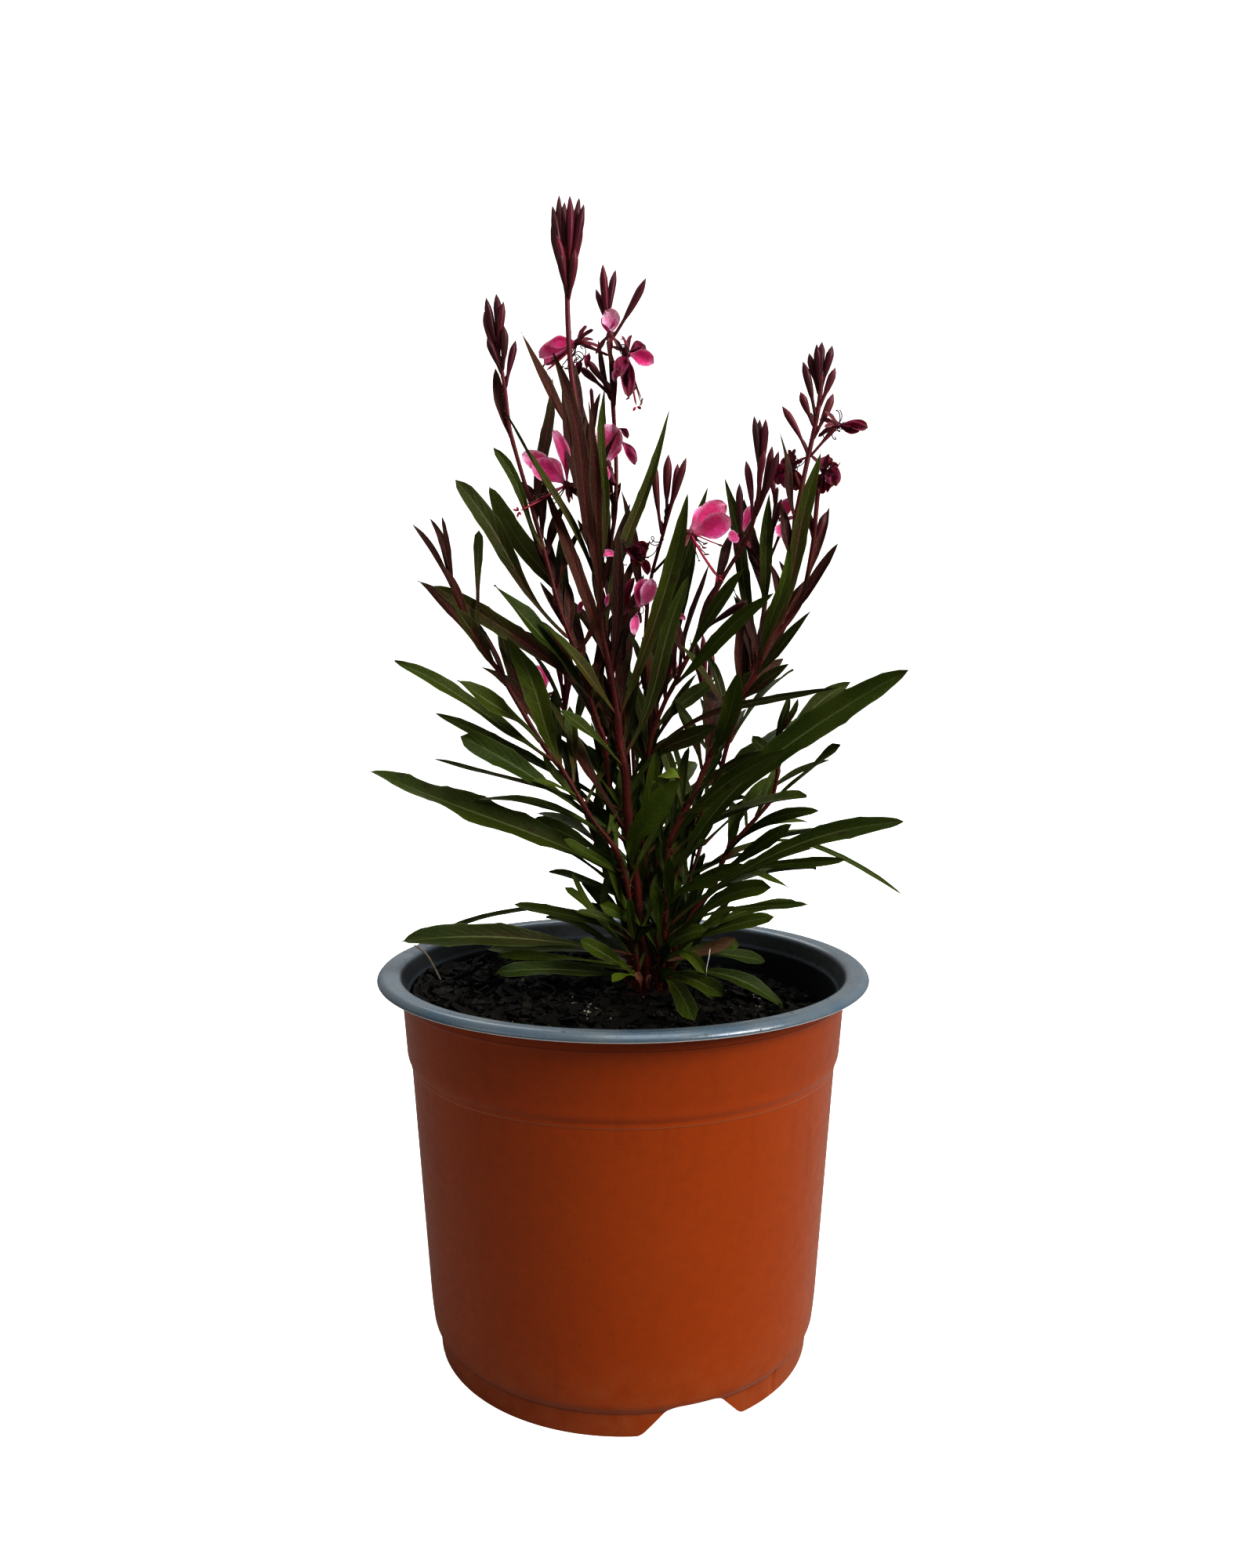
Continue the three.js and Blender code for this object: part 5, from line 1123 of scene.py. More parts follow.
def lining_material(settings):
    material, tree = new_material("grey_lining")
    place = place_in(tree)
    _, _, height = split(place)
    reach = reach_in(place, POT_AXIS.x)
    clouds, cloudy = mottle_in(tree, 60.0, 0.18)
    _, grain = mottle_in(tree, 420.0, 0.3)
    crumbs = specks_in(tree, 420.0, 0.28, 0.22)
    crumbs = crumbs * cloudy
    inside = step(reach, 0.0674, 0.0685, 1.0, 0.0)
    # painted highlight: a pale line along the rim's lower outer edge
    lip_highlight = level_line(height, FLANGE_LEVEL + 0.75, 0.5) * step(reach, 0.0732, 0.074)
    colour = layered(
        settings.lining,
        (clouds, settings.lining_pale),
        # painted shade: the inside wall made almost black
        (inside * 0.95, settings.lining_dark),
        # painted highlight: a paler ring on the ledge inside, just below the rim
        (inside * level_line(height, LEDGE_LEVEL + 0.5, 0.7) * 0.25, settings.lining),
        (crumbs * 0.75, settings.lining_dark),
        ((lip_highlight * 1.6).at_most(1.0), settings.lining_edge),
    )
    rough = ramp(cloudy, 0.0, 1.0, 0.14, 0.3) + inside * 0.4 + crumbs * 0.4
    return finish(material, colour, rough, 0.6, (grain, 0.00003, 0.5))


def bark_material(settings):
    material, tree = new_material("dark_bark")
    draw, pale, _, _ = tone_in(tree)
    fibres = noise_in(place_in(tree, (1, 0.35, 1.6)), 900.0, 4.0, 0.65)
    clouds, _ = mottle_in(tree, 300.0, 0.2)
    colour = layered(
        settings.bark,
        (draw, settings.bark_brown),
        (pale * 0.75, settings.bark_tan),
        (step(fibres, 0.42, 0.62, 0.0, 0.65), BARK_CRACK),
        (clouds * 0.25, settings.bark_brown),
    )
    return finish(material, colour, ramp(fibres, 0.3, 0.7, 0.9, 0.5), 0.14, (fibres, 0.0003, 0.8))


def speck_material(settings):
    material, tree = new_material("pale_perlite")
    clouds, fine = mottle_in(tree, 700.0, 0.2)
    colour = layered(settings.perlite, (clouds, PERLITE_STAIN), (fine * 0.25, PERLITE_LIT))
    return finish(material, colour, ramp(fine, 0.0, 1.0, 0.8, 0.95), 0.3, (fine, 0.0001, 0.7))


def crown_material():
    material, tree = new_material("woody_crown")
    grain = noise_in(place_in(tree, (1, 1, 0.22)), 1100.0, 4.0, 0.6)
    clouds, _ = mottle_in(tree, 240.0, 0.2)
    colour = layered(CROWN_BARK, (step(grain, 0.36, 0.62), CROWN_CRACK), (clouds * 0.3, CROWN_WORN))
    return finish(material, colour, ramp(grain, 0.3, 0.7, 0.6, 0.85), 0.18, (grain, 0.0004, 0.8))


def leaf_material(settings):
    material, tree = new_material("gaura_leaf")
    purple, light, draw, length = tone_in(tree)
    purple = purple ** 1.5
    across, along, under, vein = use_group(tree, blade_map, Rows=length * 22.0, Slant=0.17, Width=0.2)
    clouds, _ = mottle_in(tree, 85.0, 0.17)
    patches, grain = mottle_in(tree, 420.0, 0.22)
    blotch = specks_in(tree, 260.0, 0.34, 0.16)
    flush = step(across, 0.1, 0.95, 1.45, 0.75) * step(along, 0.35, 0.95, 1.1, 0.3)
    flush = flush * ramp(clouds, 0.0, 1.0, 0.6, 1.15)
    stained = (purple * flush + step(purple, 0.55, 1.0, 0.0, 0.6)).at_most(1.0)
    rib = step(across, 0.02, 0.11, 1.0, 0.0) * step(along, 0.55, 0.98, 0.85, 0.3)
    petiole = step(along, 0.03, 0.2, 0.8, 0.0)
    redness = step(stained, 0.4, 0.95).at_least(petiole)
    colour = layered(
        settings.green_dark,
        # each leaf's lightness, partly its own tone and partly painted light
        (light, settings.green_light),
        (step(light, 1.0, 1.15), settings.green_bright),
        (clouds * 0.35, settings.green_yellow),
        (stained, blend(draw, settings.purple, settings.red_brown)),
        (vein * 0.22, settings.vein),
        (blotch * 0.42, settings.purple),
        (patches * 0.22, settings.green_dark),
        (under * 0.5, settings.underside),
        # painted highlight: a paler line along the leaf's edges
        (step(across, 0.86, 0.99, 0.0, 0.4), settings.midrib_pale),
        (rib.at_least(petiole), blend(redness, settings.midrib_pale, settings.midrib)),
        (step(light, 1.2, 1.6), blend(clouds, settings.dry_leaf, settings.dry_leaf_pink)),
    )
    rough = ramp(patches, 0.0, 1.0, 0.38, 0.54) + under * 0.15
    return finish(material, colour, rough, 0.18, (vein * -0.8 + grain, 0.00012, 0.75))


def stem_material(settings):
    material, tree = new_material("maroon_stem")
    _, hair, _, _ = tone_in(tree)
    _, _, height = split(place_in(tree))
    streaks = noise_in(place_in(tree, (1, 1, 0.1)), 1500.0, 3.0)
    clouds, _ = mottle_in(tree, 120.0, 0.18)
    down = specks_in(tree, 900.0, 0.3, 0.3)
    colour = layered(
        settings.stem,
        (clouds, settings.stem_dark),
        (step(height, 0.11, 0.2, 0.35, 0.05) * clouds, settings.green_dark),
        (step(height, 0.24, 0.3, 0.0, 0.6), settings.bud_red),
        (step(streaks, 0.5, 0.72, 0.0, 0.35), STEM_STREAK),
        (down * 0.15, STEM_DOWN),
        (step(hair, 0.6, 0.9), settings.hair),
    )
    rough = ramp(streaks, 0.3, 0.7, 0.38, 0.56)
    return finish(material, colour, rough, 0.25, (streaks + down, 0.0001, 0.6))


def bud_material(settings):
    material, tree = new_material("maroon_bud")
    draw, light, _, _ = tone_in(tree)
    around, along = skin_in(tree)
    ridges = abs((around * (2 * tau)).calc("SINE"))
    fibres = noise_in(place_in(tree, (1, 1, 0.15)), 1300.0, 2.0)
    clouds, _ = mottle_in(tree, 260.0, 0.2)
    colour = layered(
        settings.bud,
        (draw, settings.bud_red),
        (light * clouds * 0.45, BUD_GREEN),
        (step(along, 0.0, 0.4, 0.55, 0.0), settings.stem),
        (step(ridges, 0.0, 0.25, 0.5, 0.0), BUD_GROOVE),
    )
    rough = ramp(fibres, 0.3, 0.7, 0.34, 0.5)
    return finish(material, colour, rough, 0.25, (fibres + ridges, 0.00012, 0.6))


def petal_material(settings):
    material, tree = new_material("pink_petal")
    age, pale, _, _ = tone_in(tree)
    across, _, _, _ = use_group(tree, blade_map, Rows=1.0, Slant=0.0, Width=0.1)
    around, along = skin_in(tree)
    clouds, fine = mottle_in(tree, 210.0, 0.22)
    lines = (around * 26.0 + noise_in(place_in(tree), 260.0, 2.0) * 1.6).calc("FRACT")
    vein = step(abs(lines - 0.5), 0.0, 0.24, 1.0, 0.0) * step(along, 0.3, 0.8, 1.0, 0.35)
    vein = vein.at_least(net_in(around, along))
    rim = step(across, 0.6, 1.0).at_least(step(along, 0.72, 1.0))
    throat = step(along, 0.1, 0.42, 0.7, 0.0)
    fade = rim.at_least(throat) * (pale + 0.35) + pale * 0.3
    colour = layered(
        settings.petal,
        (clouds, settings.petal_deep),
        (fade.at_most(1.0), settings.petal_pale),
        (vein * 0.85, settings.petal_deep),
        (age, blend(clouds, settings.wilted, settings.wilted_pink)),
        (age * step(along, 0.8, 1.0) * 0.6, PETAL_BROWN),
    )
    rough = ramp(fine, 0.0, 1.0, 0.42, 0.58)
    relief = (vein * -0.7 + fine, 0.00006, 0.55)
    return finish(material, colour, rough, 0.16, relief, Subsurface_Weight=0.2, Subsurface_Scale=0.001)


def thread_material(settings):
    material, tree = new_material("red_filament")
    clouds, fine = mottle_in(tree, 400.0, 0.2)
    _, along = skin_in(tree)
    age, _, _, _ = tone_in(tree)
    colour = layered(
        settings.thread,
        (along, settings.thread_tip),
        (clouds * 0.3, settings.wilted_pink),
        (age, settings.wilted),
    )
    return finish(material, colour, ramp(fine, 0.0, 1.0, 0.4, 0.55), 0.4)


def anther_material(settings):
    material, tree = new_material("rusty_anther")
    clouds, fine = mottle_in(tree, 900.0, 0.25)
    colour = blend(clouds, settings.anther, POLLEN)
    return finish(material, colour, ramp(fine, 0.0, 1.0, 0.65, 0.85), 0.3, (fine, 0.00008, 0.7))


def dry_material(name, pale, dark):
    """Dead, dry plant stuff: long fibres with darker cracks."""
    material, tree = new_material(name)
    fibres = noise_in(place_in(tree, (0.5, 1, 1)), 1500.0, 3.0, 0.6)
    clouds, _ = mottle_in(tree, 260.0, 0.22)
    colour = layered(pale, (clouds, dark), (step(fibres, 0.5, 0.7, 0.0, 0.5), dark))
    return finish(material, colour, ramp(fibres, 0.3, 0.7, 0.55, 0.8), 0.35, (fibres, 0.0001, 0.7))


def cut_with(body, cutters):
    """Cuts closed bodies out of another, and gives the result as a new body."""
    pieces = []
    for part in (body, cutters):
        mesh = bpy.data.meshes.new("cut")
        part.to_mesh(mesh)
        part.free()
        pieces.append(new_object("cut", mesh))
    whole, tool = pieces
    cut = whole.modifiers.new("cut", "BOOLEAN")
    cut.operation = "DIFFERENCE"
    cut.solver = "EXACT"
    cut.object = tool
    graph = bpy.context.evaluated_depsgraph_get()
    result = new_body()
    result.from_mesh(whole.evaluated_get(graph).to_mesh())
    for piece in pieces:
        mesh = piece.data
        bpy.data.objects.remove(piece)
        bpy.data.meshes.remove(mesh)
    return result


# Pot
def rounded(corners, steps=4):
    """An outline from (radius, height, rounding) corners, each turned into a short curve."""
    outline = []
    for i, (radius, height, rounding) in enumerate(corners):
        here = Vector((radius, 0, height))
        if rounding == 0:
            outline.append(here)
            continue
        near = Vector((corners[i - 1][0], 0, corners[i - 1][1])) - here
        far = Vector((corners[i + 1][0], 0, corners[i + 1][1])) - here
        start = here + near.normalized() * min(rounding, near.length * 0.45)
        end = here + far.normalized() * min(rounding, far.length * 0.45)
        for k in range(steps + 1):
            t = k / steps
            outline.append(start * (1 - t) ** 2 + here * (2 * t * (1 - t)) + end * t**2)
    return outline


def spun(outline, sides):
    """An outline spun full circle round the pot's axis."""
    body = new_body()
    verts = [body.verts.new(point) for point in outline]
    edges = [body.edges.new(pair) for pair in zip(verts, verts[1:])]
    bmesh.ops.spin(
        body, geom=verts + edges, cent=(0, 0, 0), axis=(0, 0, 1), dvec=(0, 0, 0),
        angle=tau, steps=sides, use_merge=True, use_duplicate=False,
    )
    bmesh.ops.remove_doubles(body, verts=body.verts, dist=1e-3)
    bmesh.ops.recalc_face_normals(body, faces=body.faces)
    return body


def pot_outline():
    corners = [
        (0, FOOT_HEIGHT, 0),
        (FOOT_RADIUS - FOOT_WALL, FOOT_HEIGHT, 0.4),
        (FOOT_RADIUS - FOOT_WALL, 0, 0.3),
        (FOOT_RADIUS - 0.6, 0, 0.5),
        (FOOT_RADIUS, FOOT_JOINT, 0.5),
        (BODY_FOOT_RADIUS - 0.8, FOOT_JOINT + 2.2, 1.2),
        (BODY_FOOT_RADIUS, FOOT_HEIGHT + 7, 3),
        (STEP_RADIUS, STEP_LEVEL - 0.4, 0.3),
        (STEP_RADIUS + 0.3, STEP_LEVEL + 0.2, 0.3),
        (STEP_RADIUS + 0.35, STEP_LEVEL + 1.2, 0.6),
        (BAND_RADIUS, STEP_LEVEL + STEP_RISE, 1.4),
        (NECK_RADIUS, LEDGE_LEVEL - 1.4, 0.5),
        (NECK_RADIUS + 0.45, LEDGE_LEVEL - 0.4, 0.5),
        (NECK_RADIUS + 0.2, FLANGE_LEVEL, 0.6),
        (RIM_RADIUS - 0.4, FLANGE_LEVEL + 0.7, 0.5),
        (RIM_RADIUS, FLANGE_LEVEL + 1.5, 0.7),
        (RIM_RADIUS - 1.4, POT_HEIGHT, 1.2),
        (RIM_RADIUS - 6.8, POT_HEIGHT - 0.4, 1.6),
        (LEDGE_RADIUS + 0.9, LEDGE_LEVEL + 1.2, 0.5),
        (LEDGE_RADIUS, LEDGE_LEVEL, 0.5),
        (BAND_RADIUS - WALL, STEP_LEVEL + STEP_RISE + 1, 1),
        (STEP_RADIUS - WALL, STEP_LEVEL + 1, 1),
        (BODY_FOOT_RADIUS - WALL, FOOT_HEIGHT + 7, 2),
        (BODY_FOOT_RADIUS - WALL - 1.4, FOOT_HEIGHT + FLOOR_THICKNESS, 0.5),
        (0, FOOT_HEIGHT + FLOOR_THICKNESS, 0),
    ]
    return rounded(corners)


def turned_place(turn, radius):
    return Matrix.Rotation(turn, 4, "Z") @ Matrix.Translation((0, -radius, 0))


def add_notch(body, turn):
    foot = NOTCH_FOOT_WIDTH / 2
    top = NOTCH_TOP_WIDTH / 2
    below = -0.03
    corners = [
        (-foot - 5, -1, 0), (-foot - 5, below, 0), (-foot, below, 2.2), (-top, NOTCH_TOP, 2.6),
        (top, NOTCH_TOP, 2.6), (foot, below, 2.2), (foot + 5, below, 0), (foot + 5, -1, 0),
    ]
    verts = [body.verts.new((point.x, -NOTCH_REACH, point.z)) for point in rounded(corners)]
    face = body.faces.new(verts)
    made = bmesh.ops.extrude_face_region(body, geom=[face])["geom"]
    far = [item for item in made if isinstance(item, bmesh.types.BMVert)]
    bmesh.ops.translate(body, vec=(0, 2 * NOTCH_REACH, 0), verts=far)
    bmesh.ops.transform(body, matrix=turned_place(turn, FOOT_RADIUS - 3), verts=verts + far)


def add_drill(body, turn, place, radius, low, high):
    matrix = turned_place(turn, place) @ Matrix.Translation((0, 0, (low + high) / 2))
    bmesh.ops.create_cone(
        body, cap_ends=True, segments=DRILL_SIDES, radius1=radius, radius2=radius, depth=high - low,
        matrix=matrix,
    )


def pot_cutters():
    body = new_body()
    floor = (FOOT_HEIGHT - 2, FOOT_HEIGHT + FLOOR_THICKNESS + 2)
    add_drill(body, 0, 0, DRAIN_RADIUS, *floor)
    for i in range(FEET):
        turn = NOTCH_CENTRE + i * tau / FEET
        add_notch(body, turn)
        flute = FOOT_RADIUS + FLUTE_RADIUS - FLUTE_DEPTH
        add_drill(body, turn + FLUTE_TURN, flute, FLUTE_RADIUS, -1, FOOT_HEIGHT - 1)
        add_drill(body, turn, DRAIN_PLACE, DRAIN_RADIUS, *floor)
    bmesh.ops.recalc_face_normals(body, faces=body.faces)
    return body


def lining_side(face):
    """Whether a face of the pot's skin is on its grey rim or inside, and not on its orange outside."""
    middle = face.calc_center_median()
    outward = face.normal.x * middle.x + face.normal.y * middle.y
    inside = middle.z > FOOT_HEIGHT + 0.8 and outward < 1e-4 * middle.length
    return inside or middle.z > FLANGE_LEVEL + 0.4


def build_pot(settings):
    body = cut_with(spun(pot_outline(), settings.sides), pot_cutters())
    smooth_faces(body.faces)
    smooth_faces(filter(lining_side, body.faces), material=1)
    materials = [shell_material(settings), lining_material(settings)]
    make_piece(body, "nursery_pot", materials, "pot", ["pot"], crisp=38)


# Soil and crown
def soil_outline():
    floor = FOOT_HEIGHT + FLOOR_THICKNESS + 0.3
    corners = [
        (0, floor, 0),
        (BODY_FOOT_RADIUS - WALL - 2, floor, 0),
        (BODY_FOOT_RADIUS - WALL - 0.8, FOOT_HEIGHT + 7, 0),
        (STEP_RADIUS - WALL - 0.8, STEP_LEVEL + 1, 0),
        (SOIL_RADIUS - 0.3, STEP_LEVEL + STEP_RISE + 1, 0),
    ]
    surface = [(SOIL_RADIUS * (1 - k / SOIL_RINGS), SOIL_LEVEL, 0) for k in range(SOIL_RINGS + 1)]
    return rounded(corners + surface)


def lumpy_height(x, y):
    place = Vector((x, y, 0))
    coarse = noise.noise(place * 0.23) * 0.7
    fine = noise.noise(place * 0.8 + Vector((7, 3, 1))) * 0.55
    return soil_height(x, y) + coarse + fine - 0.5


def on_soil(across, up):
    """The point of the soil's surface that is seen at a place in the view."""
    share = (VIEW_POINT.z - SOIL_LEVEL) / (VIEW_POINT.z - up)
    point = VIEW_POINT + (Vector((across, 0, up)) - VIEW_POINT) * share
    return Vector((point.x, point.y, soil_height(point.x, point.y)))


def add_chip(body, n, place, length, width, thickness, tone):
    """A splinter of bark: a box with its corners pushed about, turned and tilted."""
    made = bmesh.ops.create_cube(body, size=1)["verts"]
    paint(body, made, tone)
    for k, vert in enumerate(made):
        taper = 1 - 0.6 * chance(n + 0.37 * k) if vert.co.x > 0 else 1
        vert.co.x *= length * (0.8 + 0.4 * chance(n + 0.11 * k))
        vert.co.y *= width * taper * (0.7 + 0.6 * chance(n + 0.23 * k))
        vert.co.z *= thickness * (0.6 + 0.8 * chance(n + 0.31 * k))
    turn = Matrix.Rotation(tau * chance(n + 0.5), 4, "Z")
    tilt = Matrix.Rotation(mix(-0.55, 0.55, chance(n + 0.6)), 4, "Y")
    roll = Matrix.Rotation(mix(-0.6, 0.6, chance(n + 0.7)), 4, "X")
    matrix = Matrix.Translation(place) @ turn @ tilt @ roll
    bmesh.ops.transform(body, matrix=matrix, verts=made)


def soil_spot(margin, far, turn):
    """A place on the soil, from two draws."""
    place = turned_to((SOIL_RADIUS - margin) * sqrt(far), tau * turn)
    place.z = soil_height(place.x, place.y)
    return place


def build_soil(settings):
    body = spun(soil_outline(), SOIL_SIDES)
    paint(body, body.verts, (0.35, 0.2, 0, 0))
    for vert in body.verts:
        if vert.co.z > SOIL_LEVEL - 0.01:
            vert.co.z = lumpy_height(vert.co.x, vert.co.y)
    smooth_faces(body.faces)
    bark = bark_material(settings)
    make_piece(body, "bark_mix", [bark], "soil", ["potting_soil"], crisp=60)
    chips = new_body()
    for n in range(settings.chips):
        place = soil_spot(2.5, chance(n + 0.1), chance(n + 0.2))
        place.z += mix(-0.3, 0.45, chance(n + 0.4))
        big = chance(n + 0.3) ** 2.2
        sizes = [mix(*size, big) for size in (CHIP_LENGTH, CHIP_WIDTH, CHIP_THICKNESS)]
        add_chip(chips, n, place, *sizes, (chance(n + 0.8), chance(n + 0.9) ** 3, 0, 0))
    make_piece(chips, "bark_chips", [bark], "soil", crisp=20)
    build_specks(settings)


def build_specks(settings):
    """Pale perlite crumbs, two in three of them in groups."""
    body = new_body()
    for n in range(settings.specks):
        if n % 3:
            across, up, spread = SPECK_GROUPS[n % len(SPECK_GROUPS)]
            place = on_soil(across, up)
            place.x += spread * (chance(n + 0.1) + chance(n + 0.2) - 1)
            place.y += spread * 1.6 * (chance(n + 0.3) + chance(n + 0.4) - 1)
        else:
            place = soil_spot(3, chance(n + 0.5), chance(n + 0.6))
        place.z = soil_height(place.x, place.y) + 0.35
        radius = mix(*SPECK_RADIUS, chance(n + 0.7) ** 2)
        made = bmesh.ops.create_icosphere(body, subdivisions=1, radius=radius)["verts"]
        for k, vert in enumerate(made):
            vert.co = vert.co * mix(0.7, 1.25, chance(n + 0.13 * k)) + place
    smooth_faces(body.faces)
    make_piece(body, "perlite_specks", [speck_material(settings)], "soil", crisp=50)


def crown_outline():
    corners = [
        (0, CROWN_BOTTOM, 0),
        (2, CROWN_BOTTOM + 3, 1),
        (4.5, CROWN_BOTTOM + 16, 3),
        (CROWN_RADIUS - 1, SOCKET_BOTTOM - 6, 2),
        (CROWN_RADIUS, SOCKET_BOTTOM, 1),
        (CROWN_RADIUS, CROWN_TOP - 1, 0.8),
        (CROWN_RADIUS - 1.4, CROWN_TOP, 0.6),
        (CROWN_RADIUS - 3, CROWN_TOP - 0.2, 0),
        (CROWN_RADIUS - 5, CROWN_TOP - 0.1, 0),
        (CROWN_RADIUS - 7, CROWN_TOP - 0.2, 0),
        (0, CROWN_TOP - 0.2, 0),
    ]
    return rounded(corners)


def build_crown():
    body = spun(crown_outline(), CROWN_SIDES)
    for vert in body.verts:
        reach = Vector((vert.co.x, vert.co.y, 0))
        knots = 0.55 * noise.noise(vert.co * 0.55) + 0.25 * noise.noise(vert.co * 1.6)
        vert.co += reach.normalized() * min(knots, 0.2)
        vert.co.z += min(0.5 * noise.noise(reach * 0.5), 0.15)
        vert.co += CROWN
    smooth_faces(body.faces)
    make_piece(body, "woody_crown", [crown_material()], "crown", ["root_crown"], crisp=60)


# Foliage
def leaf_tone(blade, row):
    """How purple and how light a leaf is, a draw of its own, and its length in decimetres."""
    draw = chance(blade.seed + 0.77)
    if len(row) > 7:
        # a given lightness is partly the leaf's own tone and partly painted light for how the lights fall on
        # it
        purple, light = row[7:9]
    else:
        purple = clamp(1.1 * ease(150, 235, blade.middle.z) + 0.5 * (draw - 0.5))
        light = clamp(0.36 + 0.8 * (chance(blade.seed + 0.31) - 0.5))
    return purple, light, draw, blade.length / 100


def add_leaf(body, blade, tone, material):
    phase = tau * chance(blade.seed + 0.17)
    teeth = max(1.5, blade.length / 12)
    shared_wave = blade.width * 0.08
    height = ease(125, 235, blade.middle.z)
    base_power = mix(1.9, 1.25, height) * mix(0.85, 1.15, chance(blade.seed + 0.63))
    tip_power = mix(0.52, 0.92, height) * mix(0.9, 1.2, chance(blade.seed + 0.29))
    base_power = mix(base_power, 2.3, blade.blunt)
    tip_power = mix(tip_power, 0.45, blade.blunt)
    blade.twist = mix(-0.9, 0.9, chance(blade.seed + 0.41))
    blade.sway = blade.length * mix(-0.022, 0.022, chance(blade.seed + 0.53))
    widest = base_power / (base_power + tip_power)
    most = widest**base_power * (1 - widest) ** tip_power

    def ends(u):
        return min(1.0, 30 * u, 11 * (1 - u))

    def half_width(u, v):
        if u <= 0 or u >= 1:
            return 0.0
        share = u**base_power * (1 - u) ** tip_power / most
        tooth = max(0.0, sin(tau * teeth * u + phase + (1.9 if v > 0 else 0))) ** 3
        body_half = blade.width / 2 * share * (1 + 0.11 * tooth * ease(0.2, 0.4, u) - 0.02)
        return max(PETIOLE_HALF_WIDTH * ends(u), body_half)

    def rib(u, v):
        return (0.42 * (1 - u) + 0.06) * ends(u) * exp(-((v / 0.16) ** 2))

    def lift(u, v, half):
        fold = BLADE_FOLD * half * abs(v) ** 1.25
        wave = shared_wave * v * sin(tau * 1.4 * u + phase) * ease(0.1, 0.35, u)
        other_side = 2.1 if v > 0 else 0
        ruffle = 0.13 * half * v * v * sin(tau * teeth * 0.55 * u + 2.3 * phase + other_side)
        bulges = cos(tau * (blade.length / 3.6) * (u - 0.06 * abs(v)))
        quilt = 0.03 * half * bulges * abs(v) * (1 - abs(v))
        return fold + wave + ruffle + quilt - 0.5 * rib(u, v)

    def thickness(u, v):
        stalk = 1 - ease(0.0, 0.18, u)
        sheet = (0.26 + 0.5 * stalk) * (1 - v**4)
        return (sheet + rib(u, v)) * ends(u)

    rounds = 16 if blade.width > 5 else 12 if blade.width > 3 else 8
    steps = int(clamp(blade.length / 1.9, 9, 46))
    add_blade(body, blade, half_width, lift, thickness, rounds, steps, tone, material)


def add_bud(body, base, tip, thickness, stalk, seed, material):
    """A flower bud on its stalk: slender at its foot, fullest past its middle, four-angled and pointed."""
    length = (tip - base).length
    steps = int(clamp(length / 1.3, 10, 20))
    lean = Vector((chance(seed) - 0.5, chance(seed + 0.3) - 0.5, 0)) * 0.06 * length

    def radius(t):
        if t < stalk:
            return STALK_RADIUS
        x = (t - stalk) / (1 - stalk)
        swell = 0.6 + 0.38 * ease(0, 0.6, x)
        taper = 1 - 0.7 * ease(0.7, 1.0, x)
        return mix(STALK_RADIUS, thickness * 0.46 * swell * taper, ease(0, 0.2, x))

    tone = (chance(seed + 0.5), chance(seed + 0.9), 0, 0)
    add_tube(body, bent_line(base, tip, steps, lean), radius, BUD_SIDES, tone, material, lobes=0.09)


def add_bract(body, base, towards, i, material):
    """A small pointed scale where a bud leaves its stem."""
    length = mix(3.5, 6, chance(i + 0.3))
    blade = Blade(base, base + towards.normalized() * length, 1.3, length * 0.06, 50, i)
    add_leaf(body, blade, (0.95, 0.3, chance(i), 0.06), material)


def add_stems(body, shoot, order, route, branch, material):
    foot, top = shoot["thick"]

    def stem_radius(share):
        up = up_in_view(route[round(share * (len(route) - 1))])
        near = [up - row[0] for row in shoot["leaves"] if abs(up - row[0]) < 4]
        swelling = sum(exp(-((gap / 1.3) ** 2)) for gap in near)
        return mix(foot, top, share) / 2 * (0.84 + 0.12 * min(1.0, swelling))

    add_tube(body, route, stem_radius, STEM_SIDES, STEM_TONE, material)
    add_hairs(body, route, stem_radius, order * 3.1, material)
    if branch:
        thin = top / 2
        add_tube(body, branch, lambda share: thin * mix(1.05, 0.85, share), BRANCH_SIDES, STEM_TONE, material)


def build_shoot(shoot, order, materials):
    stem, bud, leaf = range(3)
    node = shoot["name"]
    body = new_body()
    route, branch = stem_routes(shoot)
    add_stems(body, shoot, order, route, branch, stem)
    bud_rows = [(row, route) for row in shoot.get("buds", [])]
    bud_rows += [(row, branch) for row in shoot.get("branchBuds", [])]
    for i, (row, along) in enumerate(bud_rows):
        up, across, tip_up, depth, thickness, stalk = row
        base = point_at_up(along, up)
        tip = from_view((across, tip_up, depth))
        add_bud(body, base, tip, thickness, stalk, order * 50 + i, bud)
        add_bract(body, base, tip - base + Vector((0, 0, 3)), i, leaf)
    add_bloom_stalks(body, node, route, branch, stem)
    corners = cad_corners(node)
    rule = shoot["rear"]
    seed = order * 200
    found = []
    leaf_rows = [(row, route) for row in shoot["leaves"]]
    leaf_rows += [(row, branch) for row in shoot.get("branchLeaves", [])]
    for i, (row, along) in enumerate(leaf_rows):
        found.append((standing_blade(corners, lambda bend: leaf_blade(along, row, bend, seed + i)), row))
    for i in range(rule[2]):
        found.append((standing_blade(corners, lambda bend: spread_blade(route, rule, i, bend, seed)), ()))
    for i, row in enumerate(shoot.get("clasping", [])):
        found.append((leaf_blade(route, row, 0, seed + 100 + i), row))
    for i, row in enumerate(shoot.get("folded", [])):
        tip = Blade(from_view(row[:3]), from_view(row[3:6]), *row[6:9], seed + 150 + i)
        tip.blunt = row[11]
        found.append((tip, row[2:]))
    for blade, row in found:
        if blade is not None:
            add_leaf(body, blade, leaf_tone(blade, row), leaf)
    add_axil_leaves(body, route, order, leaf)
    if branch:
        add_axil_leaves(body, branch, order + 0.5, leaf)
    make_piece(body, f"{node}_grown", materials, "foliage", [node], crisp=100)


